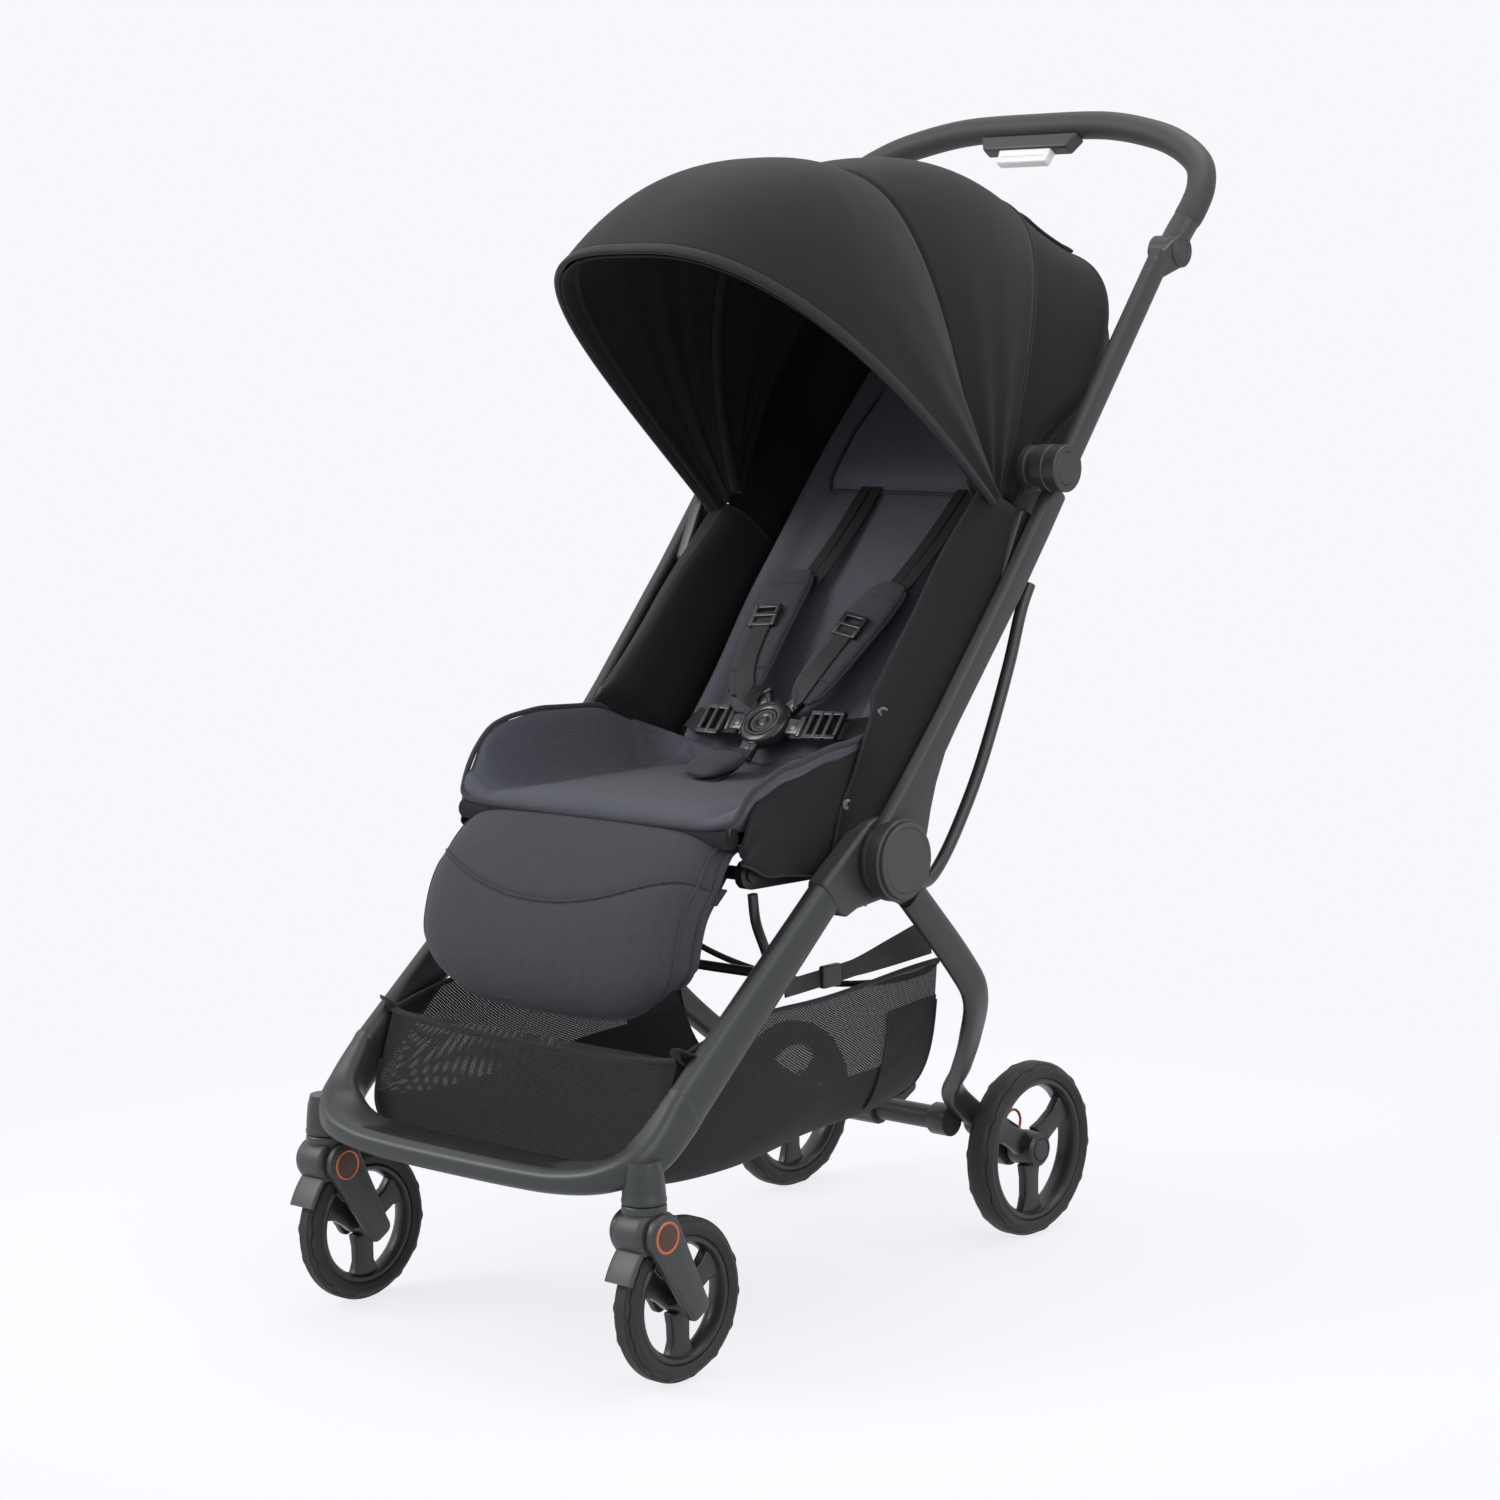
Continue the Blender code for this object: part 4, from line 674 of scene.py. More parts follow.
class Effects:
    """The node groups that the finishes share, each built at its first use."""

    built: dict[str, bpy.types.NodeTree] = {}

    @classmethod
    def get(cls, name: str) -> bpy.types.NodeTree:
        """A shared group, built at its first use."""
        if name not in cls.built:
            getattr(cls, name)()
        return cls.built[name]

    @classmethod
    def group(
        cls, name: str, inputs: dict[str, float], outputs: Sequence[str], vector: bool = False
    ) -> tuple[Wiring, bpy.types.NodeOutputs, bpy.types.Node]:
        """Start a group with its sockets.

        Args:
            name: Group name.
            inputs: Number inputs with their starting values.
            outputs: Number outputs.
            vector: Whether it takes a Vector input first.

        Returns:
            The wiring, what the group is given, and its output node.
        """
        tree = bpy.data.node_groups.new(name, "ShaderNodeTree")
        if vector:
            tree.interface.new_socket(name="Vector", in_out="INPUT", socket_type="NodeSocketVector")
        for key, value in inputs.items():
            made = tree.interface.new_socket(name=key, in_out="INPUT", socket_type="NodeSocketFloat")
            made.default_value = value
        for key in outputs:
            tree.interface.new_socket(name=key, in_out="OUTPUT", socket_type="NodeSocketFloat")
        cls.built[name] = tree
        return Wiring(tree), tree.nodes.new("NodeGroupInput").outputs, tree.nodes.new("NodeGroupOutput")

    @classmethod
    def grain(cls) -> None:
        """Fine moulded or powder-coated grain: a height and a slight shade."""
        w, given, out = cls.group("grain", {"Scale": 900.0}, ("Height", "Shade"))
        fine = w.over("Noise", Scale=given["Scale"], Detail=2.0, Roughness=0.6)
        cell = w.over("Voronoi", Scale=given["Scale"])
        broad = w.over("Noise", Scale=9.0, Detail=3.0)
        height = w.plus(w.times(fine, 0.6), w.times(cell, 0.4))
        w.feed(out, Height=height, Shade=w.plus(w.times(broad, 0.16), 0.92))

    @classmethod
    def wear(cls) -> None:
        """Polished edges: a mask that is high where the form turns sharply."""
        w, given, out = cls.group("wear", {"Radius": 0.0012, "Amount": 1.0}, ("Mask",))
        rounded = w.node("ShaderNodeBevel", samples=4, Radius=given["Radius"])
        plain = w.node("ShaderNodeNewGeometry")
        dot = w.node("ShaderNodeVectorMath", operation="DOT_PRODUCT")
        w.join(rounded.outputs[0], dot.inputs[0])
        w.join(plain.outputs["Normal"], dot.inputs[1])
        edge = w.times(w.math("SUBTRACT", 1.0, dot.outputs["Value"]), 6.0, True)
        patch = w.over("Noise", Scale=70.0, Detail=4.0)
        broken = w.times(edge, w.times(patch, 1.5), True)
        w.feed(out, Mask=w.times(broken, given["Amount"], True))

    @classmethod
    def dust(cls) -> None:
        """Faint dust on upward faces: a mask."""
        w, given, out = cls.group("dust", {"Amount": 0.1}, ("Mask",))
        parts = w.node("ShaderNodeSeparateXYZ", Vector=w.node("ShaderNodeNewGeometry").outputs["Normal"])
        patch = w.over("Noise", Scale=22.0, Detail=6.0, Roughness=0.7)
        up = w.times(parts.outputs["Z"], patch, True)
        w.feed(out, Mask=w.times(up, given["Amount"], True))

    @classmethod
    def weave(cls) -> None:
        """Plain weave: over and under threads as a height, and a shade that darkens the low places between
        threads as painted shade.
        """
        w, given, out = cls.group("weave", {"Threads": 1400.0}, ("Height", "Shade"), vector=True)
        parts = w.node("ShaderNodeSeparateXYZ", Vector=given["Vector"])
        counts = [w.times(parts.outputs[k], given["Threads"]) for k in (0, 1)]
        crowns = [w.math("ABSOLUTE", w.math("SINE", w.times(c, math.pi))) for c in counts]
        over = w.math("FLOORED_MODULO", w.plus(w.math("FLOOR", counts[0]), w.math("FLOOR", counts[1])), 2.0)
        under = w.math("SUBTRACT", 1.0, over)
        height = w.plus(w.times(crowns[0], over), w.times(crowns[1], under))
        # The shade follows the height: painted shade in the valleys between threads.
        w.feed(out, Height=height, Shade=w.plus(w.times(height, 0.3), 0.82))

    @classmethod
    def melange(cls) -> None:
        """Mixed light and dark fibres: a shade about 1."""
        w, given, out = cls.group("melange", {"Contrast": 0.3}, ("Shade",))
        place = w.node("ShaderNodeTexCoord").outputs["Object"]
        total = None
        for stretch, scale in (
            ((1.0, 0.22, 0.22), 700.0), ((0.22, 1.0, 1.0), 700.0), ((1.0, 1.0, 1.0), 120.0)
        ):
            turn = w.node("ShaderNodeMapping", Vector=place, Scale=stretch).outputs[0]
            fibres = w.node(
                "ShaderNodeTexNoise", Vector=turn, Scale=scale, Detail=3.0, Roughness=0.65
            ).outputs[0]
            total = fibres if total is None else w.plus(total, fibres)
        centred = w.math("SUBTRACT", w.times(total, 1 / 3), 0.5)
        w.feed(out, Shade=w.plus(w.times(centred, w.times(given["Contrast"], 3.0)), 1.0))

    @classmethod
    def folds(cls) -> None:
        """Broad soft creases of cloth under light tension: a height."""
        w, given, out = cls.group("folds", {"Scale": 14.0}, ("Height",))
        w.feed(out, Height=w.over("Noise", Scale=given["Scale"], Detail=2.0, Roughness=0.45, Distortion=0.8))

    @classmethod
    def net(cls) -> None:
        """Open net of fine threads: cover and height."""
        w, given, out = cls.group("net", {"Holes": 430.0, "Open": 0.42}, ("Cover", "Height"), vector=True)
        parts = w.node("ShaderNodeSeparateXYZ", Vector=given["Vector"])
        x = w.times(parts.outputs[0], given["Holes"])
        y = w.times(parts.outputs[1], w.times(given["Holes"], 1.25))
        shift = w.times(w.math("FLOORED_MODULO", w.math("FLOOR", y), 2.0), 0.5)
        fx = w.math("SUBTRACT", w.math("FRACT", w.plus(x, shift)), 0.5)
        fy = w.math("SUBTRACT", w.math("FRACT", y), 0.5)
        far = w.math("SQRT", w.plus(w.times(fx, fx), w.times(fy, fy)))
        cover = w.times(w.math("SUBTRACT", far, w.times(given["Open"], 0.8)), 12.0, True)
        w.feed(out, Cover=cover, Height=far)


@dataclass(frozen=True)
class Finish:
    """A finish, whose Blender material is built at its first use."""

    made: ClassVar[dict[str, bpy.types.Material]] = {}
    name: str
    slot: Slot
    colour: tuple[float, float, float]

    def shade(self, w: Wiring, shader: bpy.types.Node) -> None:
        """Wire the finish's own look into its Principled shader."""
        raise NotImplementedError

    def material(self) -> bpy.types.Material:
        """The finish's material, built at its first use."""
        if self.name not in Finish.made:
            made = bpy.data.materials.new(self.name)
            made.use_nodes = True
            self.shade(Wiring(made.node_tree), made.node_tree.nodes["Principled BSDF"])
            Finish.made[self.name] = made
        return Finish.made[self.name]


@dataclass(frozen=True)
class HardFinish(Finish):
    """Moulded plastic, coated tube, rubber or bright metal."""

    roughness: float
    metallic: float = 0.0
    grain: float = 900.0
    depth: float = 0.00012
    edge: float = 0.35
    dust: float = 0.04
    specular: float = 0.5
    dust_colour: ClassVar[tuple[float, ...]] = (0.42, 0.41, 0.39, 1.0)

    def shade(self, w: Wiring, shader: bpy.types.Node) -> None:
        """Grain, slight shade changes, polished edges and faint dust."""
        grain = w.group("grain", Scale=self.grain)
        worn = w.group("wear", Amount=self.edge)["Mask"]
        dust = w.group("dust", Amount=self.dust)["Mask"]
        light = (*(min(1.0, c * 2.2 + 0.03) for c in self.colour), 1.0)
        shaded = w.mix(1.0, (*self.colour, 1.0), grain["Shade"], "MULTIPLY")
        rough = w.plus(w.times(grain["Height"], 0.1), self.roughness - 0.05)
        w.feed(
            shader,
            Base_Color=w.mix(dust, w.mix(worn, shaded, light), self.dust_colour),
            Roughness=w.math("SUBTRACT", rough, w.times(worn, 0.12), True),
            Metallic=self.metallic,
            Specular_IOR_Level=self.specular,
            Coat_Roughness=0.25,
        )
        w.bumps(shader, [(grain["Height"], self.depth, 0.5)])


@dataclass(frozen=True)
class ClothFinish(Finish):
    """Woven cloth with fibres of mixed shade, soft folds and a faint sheen."""

    threads: float = 1100.0
    contrast: float = 0.25
    fold_scale: float = 14.0
    fold_depth: float = 0.004
    sheen: float = 0.1
    specular: float = 0.2
    roughness: float = 0.88
    mapped: bool = True
    lift: float = 0.00025

    def shade(self, w: Wiring, shader: bpy.types.Node) -> None:
        """Weave, fibres and folds, with the weave's painted shade between threads in the colour."""
        place = w.node("ShaderNodeTexCoord").outputs
        spot = place["UV"]
        if not self.mapped:
            lean = (-PLAN.push_angle, 0.0, 0.0)
            spot = w.node("ShaderNodeMapping", Vector=place["Object"], Rotation=lean).outputs[0]
        weave = w.group("weave", Vector=spot, Threads=self.threads)
        fibres = w.group("melange", Contrast=self.contrast)["Shade"]
        folds = w.group("folds", Scale=self.fold_scale)["Height"]
        tinted = w.mix(1.0, (*self.colour, 1.0), fibres, "MULTIPLY")
        w.feed(
            shader,
            # The base colour takes the weave's shade, which is painted shade between the threads.
            Base_Color=w.mix(1.0, tinted, weave["Shade"], "MULTIPLY"),
            Roughness=w.plus(w.times(weave["Height"], -0.08), self.roughness, True),
            Specular_IOR_Level=self.specular,
            Sheen_Weight=self.sheen,
            Sheen_Roughness=0.4,
        )
        w.bumps(shader, [(folds, self.fold_depth, 0.6), (weave["Height"], self.lift, 0.5)])


@dataclass(frozen=True)
class NetFinish(Finish):
    """See-through knitted net."""

    holes: float = 430.0
    open_share: float = 0.42

    def shade(self, w: Wiring, shader: bpy.types.Node) -> None:
        """Round holes between threads, with a see-through cover."""
        spot = w.node("ShaderNodeTexCoord").outputs["UV"]
        net = w.group("net", Vector=spot, Holes=self.holes, Open=self.open_share)
        fibres = w.group("melange", Contrast=0.4)["Shade"]
        colour = w.mix(1.0, (*self.colour, 1.0), fibres, "MULTIPLY")
        w.feed(shader, Base_Color=colour, Alpha=net["Cover"], Roughness=0.8, Specular_IOR_Level=0.3)
        w.bumps(shader, [(net["Height"], 0.0006, 0.6)])


FRAME_COAT = HardFinish("frame_coat", Slot.FRAME, (0.04, 0.0435, 0.043), 0.4, 0.4, 1400.0, 0.00006, 0.22)
PLASTIC = HardFinish("grey_plastic", Slot.PLASTIC, (0.033, 0.036, 0.036), 0.46, 0.0, 1100.0, 0.0001, 0.25)
COVER_PLASTIC = HardFinish(
    "cover_plastic", Slot.PLASTIC, (0.041, 0.044, 0.043), 0.52, 0.0, 1500.0, 0.00014, 0.2
)
BLACK_PLASTIC = HardFinish(
    "black_plastic_part", Slot.BLACK_PLASTIC, (0.012, 0.012, 0.013), 0.36, 0.0, 1200.0, 0.00006, 0.2
)
GLOSS_PLASTIC = HardFinish(
    "buckle_plastic", Slot.BLACK_PLASTIC, (0.02, 0.021, 0.023), 0.24, 0.0, 900.0, 0.00003, 0.2
)
RUBBER = HardFinish("tyre_rubber", Slot.TYRE, (0.02, 0.02, 0.02), 0.62, 0.0, 700.0, 0.0002, 0.1, 0.06, 0.35)
WRAP = HardFinish("grip_wrap", Slot.FOAM, (0.04, 0.043, 0.042), 0.55, 0.0, 1300.0, 0.0002, 0.0, 0.03, 0.35)
COPPER = HardFinish("copper_ring", Slot.COPPER, (0.48, 0.13, 0.05), 0.34, 0.35, 800.0, 0.00002, 0.3)
COPPER_DARK = HardFinish("copper_disc", Slot.COPPER, (0.06, 0.026, 0.018), 0.45, 0.1, 800.0, 0.00005, 0.1)
SNAP_METAL = HardFinish("snap_metal", Slot.FRAME, (0.1, 0.1, 0.105), 0.34, 0.8, 800.0, 0.00002, 0.2)
CLEAR = HardFinish("clear_plastic", Slot.CLEAR, (0.8, 0.8, 0.79), 0.28, 0.0, 500.0, 0.00002, 0.05, 0.0)
SLATE = ClothFinish("slate_cloth", Slot.SLATE, (0.088, 0.09, 0.108), mapped=False)
SLATE_DARK = ClothFinish("slate_cloth_dark", Slot.SLATE, (0.05, 0.052, 0.06), mapped=False)
PIPING = ClothFinish("slate_piping", Slot.SLATE, (0.045, 0.046, 0.055), 1600.0, 0.2, 30.0, 0.0004)
CANOPY_CLOTH = ClothFinish(
    "canopy_cloth", Slot.BLACK_FABRIC, (0.015, 0.015, 0.0158), 1300.0, 0.12, 7.0, 0.006, 0.12
)
LINING = ClothFinish(
    "canopy_lining", Slot.BLACK_FABRIC, (0.015, 0.015, 0.016), 1500.0, 0.1, 9.0, 0.012, 0.05, 0.15
)
BLACK_CLOTH = ClothFinish("black_cloth", Slot.BLACK_FABRIC, (0.015, 0.015, 0.017), 1300.0, 0.15, 10.0, 0.008)
WEBBING = ClothFinish(
    "webbing", Slot.BLACK_FABRIC, (0.014, 0.013, 0.014), 900.0, 0.2, 40.0, 0.0003, 0.05, 0.35, 0.62
)
BINDING = ClothFinish(
    "dark_binding", Slot.BLACK_FABRIC, (0.024, 0.024, 0.026), 1500.0, 0.15, 40.0, 0.0004, 0.15
)
NET = NetFinish("basket_net", Slot.MESH_FABRIC, (0.022, 0.022, 0.024), 430.0, 0.33)
SIDE_NET = NetFinish("basket_side_net", Slot.MESH_FABRIC, (0.016, 0.016, 0.018), 430.0, 0.1)


def dress(
    obj: bpy.types.Object,
    finish: Finish,
    body: str,
    replaces: Sequence[str] = (),
    angle: float = 40.0,
) -> bpy.types.Object:
    """Give a piece its finish and its body, and hide the CAD nodes that it stands for.

    Args:
        obj: The piece.
        finish: Its finish.
        body: The body that it rides on.
        replaces: CAD nodes that it stands for.
        angle: Edges sharper than this stay sharp, in degrees.

    Returns:
        The piece.
    """
    obj.data.materials.clear()
    obj.data.materials.append(finish.material())
    obj.data.shade_smooth()
    obj.data.set_sharp_from_angle(angle=math.radians(angle))
    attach(obj, body)
    if replaces:
        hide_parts(*replaces)
    LOG.info("piece %s on %s", obj.name, body)
    return obj


def bend(obj: bpy.types.Object, first: str, second: str, start: Vector, end: Vector) -> None:
    """Take a piece off its body and bake its place into its mesh, once its mesh is final.

    Args:
        obj: The piece, which already rides on the first body.
        first: The first body; not used.
        second: The body joined to it; not used.
        start: Where the piece still follows the first body; not used.
        end: Where it follows the second; not used.
    """
    world = obj.matrix_world.copy()
    obj.parent = None
    obj.matrix_world = world
    del obj["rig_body"]
    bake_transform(obj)
    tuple(start)
    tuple(end)


def declare_sheet(obj: bpy.types.Object, rows: Rows) -> None:
    """Say the flat size of a sheet from the rows that it was sewn from.

    Args:
        obj: The piece.
        rows: Its rows of points.
    """
    for a, b in zip(rows, rows[1:]):
        for p, q, r, s in zip(a, a[1:], b, b[1:]):
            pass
    wide, deep = (
        max(
            sum((p - q).length for p, q in zip(line, line[1:])) for line in lines
        ) for lines in (rows, list(zip(*rows)))
    )
    LOG.info("sheet %s is cut to %.3f by %.3f", obj.name, wide, deep)


def sew(
    name: str,
    rows: Rows,
    finish: Finish,
    body: str,
    replaces: Sequence[str] = (),
    thickness: float = CLOTH,
    angle: float = 40.0,
) -> bpy.types.Object:
    """Sew a sheet with its own thickness and dress it.

    Args:
        name: Piece name.
        rows: Its rows of points.
        finish: Its cloth.
        body: The body that it rides on.
        replaces: CAD nodes that it stands for.
        thickness: Thickness of the cloth.
        angle: Edges sharper than this stay sharp, in degrees.

    Returns:
        The piece.
    """
    obj = Maker.surface(name, rows, turn=False)
    Maker.thicken(obj, thickness)
    return dress(obj, finish, body, replaces, angle)


def cord(
    name: str, path: Sequence[Vector], radius: float, finish: Finish, body: str, count: int = 8
) -> bpy.types.Object:
    """A dressed piping, binding or seam."""
    return dress(Maker.tube(name, path, radius, count), finish, body)


def flatten(obj: bpy.types.Object, n: float, keep: float) -> None:
    """Give a soft piece of the push frame or backrest its own copy of its mesh."""
    tuple(PLAN.push(0, 0, n))
    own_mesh(obj)


def sink(obj: bpy.types.Object, z: float, keep: float) -> None:
    """Give a soft piece its own copy of its mesh."""
    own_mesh(obj)


@dataclass(frozen=True)
class Hoop:
    """One bow line of the canopy, standing on a pivot."""

    angle: float
    half: float
    height: float
    square: float
    lean: float
    pivot: Pair

    def mixed(self, other: "Hoop", share: float) -> "Hoop":
        """A hoop between this one and another.

        Args:
            other: The other hoop.
            share: 0 for this one and 1 for the other.

        Returns:
            The hoop between.
        """
        mine = (self.angle, self.half, self.height, self.square, self.lean, *self.pivot)
        theirs = (other.angle, other.half, other.height, other.square, other.lean, *other.pivot)
        values = [a + (b - a) * share for a, b in zip(mine, theirs)]
        return Hoop(*values[:5], (values[5], values[6]))

    def point(self, turn: float, inset: float = 0.0) -> Vector:
        """A point of the hoop.

        Args:
            turn: 0 at its right foot, pi at its left foot.
            inset: Distance inside the hoop.

        Returns:
            The point.
        """
        c, s = math.cos(turn), math.sin(turn)
        x = (self.half - inset) * math.copysign(abs(c) ** (2 / self.square), c)
        rise = max((self.height - inset) * abs(s) ** (2 / self.square), 0.016)
        reach = 0.179 - inset + 0.4 * max(0.0, rise - 0.09)
        x = math.copysign(min(abs(x), reach), x)
        angle = math.radians(self.angle) + self.lean * (rise / self.height - 1)
        return Vector((x, *along(self.pivot, angle, rise)))


@dataclass
class Canopy:
    """Three-panel canopy with lining, bound hem, bow sleeves, piping and window flap."""

    rear: Hoop = Hoop(49.76, 0.2041, 0.3213, 3.33, 0.005, (0.1181, 0.6802))
    seam: Hoop = Hoop(62.0, 0.164, 0.333, 2.57, -0.157, (0.1194, 0.6812))
    crease: Hoop = Hoop(100.3, 0.156, 0.317, 2.61, -0.16, (0.1181, 0.6849))
    hem: Hoop = Hoop(141.58, 0.1787, 0.4166, 2.94, 0.0852, (0.1324, 0.6641))
    turns: int = 96
    steps: int = 20
    lining_gap: float = 0.006
    rear_sag: float = 0.004

    def line(self, hoop: Hoop, inset: float = 0.0) -> list[Vector]:
        """Points along a hoop, at a distance inside it."""
        return [hoop.point(math.pi * k / self.turns, inset) for k in range(self.turns + 1)]

    def panel(
        self,
        name: str,
        first: Hoop,
        second: Hoop,
        bodies: tuple[str, str],
        finish: Finish,
        sag: float,
        inset: float = 0.0,
        replaces: Sequence[str] = (),
    ) -> None:
        """Sew one panel, and take it off its body when its two hoops ride on different bodies.

        Args:
            name: Piece name.
            first: Hoop at its start.
            second: Hoop at its end.
            bodies: Bodies of the two hoops.
            finish: Its cloth.
            sag: Greatest draw inwards between the hoops, below 0 for a dome.
            inset: Distance inside the outer cloth.
            replaces: CAD nodes that it stands for.
        """
        rows = []
        for i in range(self.steps + 1):
            share = i / self.steps
            hoop, arch = first.mixed(second, share), math.sin(math.pi * share)
            row = []
            for k in range(self.turns + 1):
                turn = math.pi * k / self.turns
                foot = 1 - min(1.0, math.sin(turn) / 0.75)
                pleat = (0.0016 + 0.12 * inset) * foot * math.sin(5 * math.pi * share)
                pleat += 0.3 * inset * math.sin(9 * math.pi * share + 1.3 * math.sin(3 * turn))
                row.append(hoop.point(turn, inset + (sag + pleat) * arch))
            rows.append(row)
        obj = sew(name, rows, finish, bodies[0], replaces)
        if bodies[0] != bodies[1]:
            top = self.turns // 2
            bend(obj, *bodies, rows[0][top], rows[-1][top])
        declare_sheet(
            obj,
            rows,
        )

    def binding(self) -> None:
        """Folded binding round the front hem with a second stitched line behind it."""
        front, back = self.line(self.hem), self.line(self.crease.mixed(self.hem, 0.955))
        path = [f.lerp(b, 0.42) for f, b in zip(front, back)]
        ups = [
            (f - b).normalized().cross(ahead_at(path, i)).normalized()
            for i, (f, b) in enumerate(zip(front, back))
        ]
        obj = Maker.sweep("canopy_hem_binding", path, [oval(0.0056, 0.0026, 3.0, 14)], ups)
        dress(obj, BINDING, "canopy_hood")
        stitches = [f.lerp(b, 1.05) for f, b in zip(front, back)]
        lifted = [p + (p - Vector((0.0, *self.hem.pivot))).normalized() * 0.0009 for p in stitches]
        cord("canopy_hem_cord", lifted, 0.001, BINDING, "canopy_hood")

    def flap(self) -> None:
        """Window flap on the rear panel, with a bound edge."""

        def point(u: float, v: float) -> Vector:
            """A point of the flap at its two shares."""
            share, p = 0.16 + 0.62 * u, 2 * v - 1
            corner = 1 - 0.05 * max(0.0, abs(2 * u - 1) - 0.6) / 0.4
            draw = self.rear_sag * math.sin(math.pi * share) - 0.0022 - 0.001 * (1 - p**4)
            return self.rear.mixed(self.seam, share).point(math.pi / 2 - 0.44 * p * corner, draw)

        rows = grid(13, 41, point)
        obj = sew("canopy_window_flap", rows, CANOPY_CLOTH, "push_frame", thickness=HEAVY_CLOTH)
        declare_sheet(obj, rows)
        cord("canopy_flap_binding", spread(rim_of(rows), 160), 0.0018, BINDING, "push_frame")

    def build(self) -> None:
        """Sew the whole canopy."""
        back, middle, front = "push_frame", "canopy_middle", "canopy_hood"
        inner = self.crease.mixed(self.hem, 0.93)
        spans = (
            ("rear", self.rear, self.seam, (back, back)),
            ("middle", self.seam, self.crease, (back, middle)),
            ("front", self.crease, self.hem, (middle, front)),
        )
        nodes = ("canopy_rear", "canopy_mid", "canopy_front")
        for (name, *rest), node, sag in zip(spans, nodes, (self.rear_sag, -0.004, -0.01)):
            self.panel(f"canopy_{name}_panel", *rest, CANOPY_CLOTH, sag, replaces=[node])
        for (name, *rest), sag in zip(spans, (0.01, 0.004, 0.001)):
            self.panel(f"canopy_{name}_lining", *rest, LINING, sag, self.lining_gap)
        for name, hoop, inset, radius, finish, body, nodes in (
            ("seam_piping", self.seam, -0.001, 0.0017, BINDING, back, ()),
            ("crease_piping", self.crease, -0.0004, 0.0009, BINDING, middle, ()),
            ("seam_sleeve", self.seam, 0.01, 0.005, LINING, back, ()),
            ("crease_sleeve", self.crease, 0.01, 0.005, LINING, middle, ()),
            ("rear_edge", self.rear, 0.0004, 0.0024, BINDING, back, ()),
            ("bow_front", inner, 0.007, 0.0034, LINING, front, ["canopy_bow"]),
        ):
            dress(Maker.tube(f"canopy_{name}", self.line(hoop, inset), radius, 10), finish, body, nodes)
        self.binding()
        self.flap()


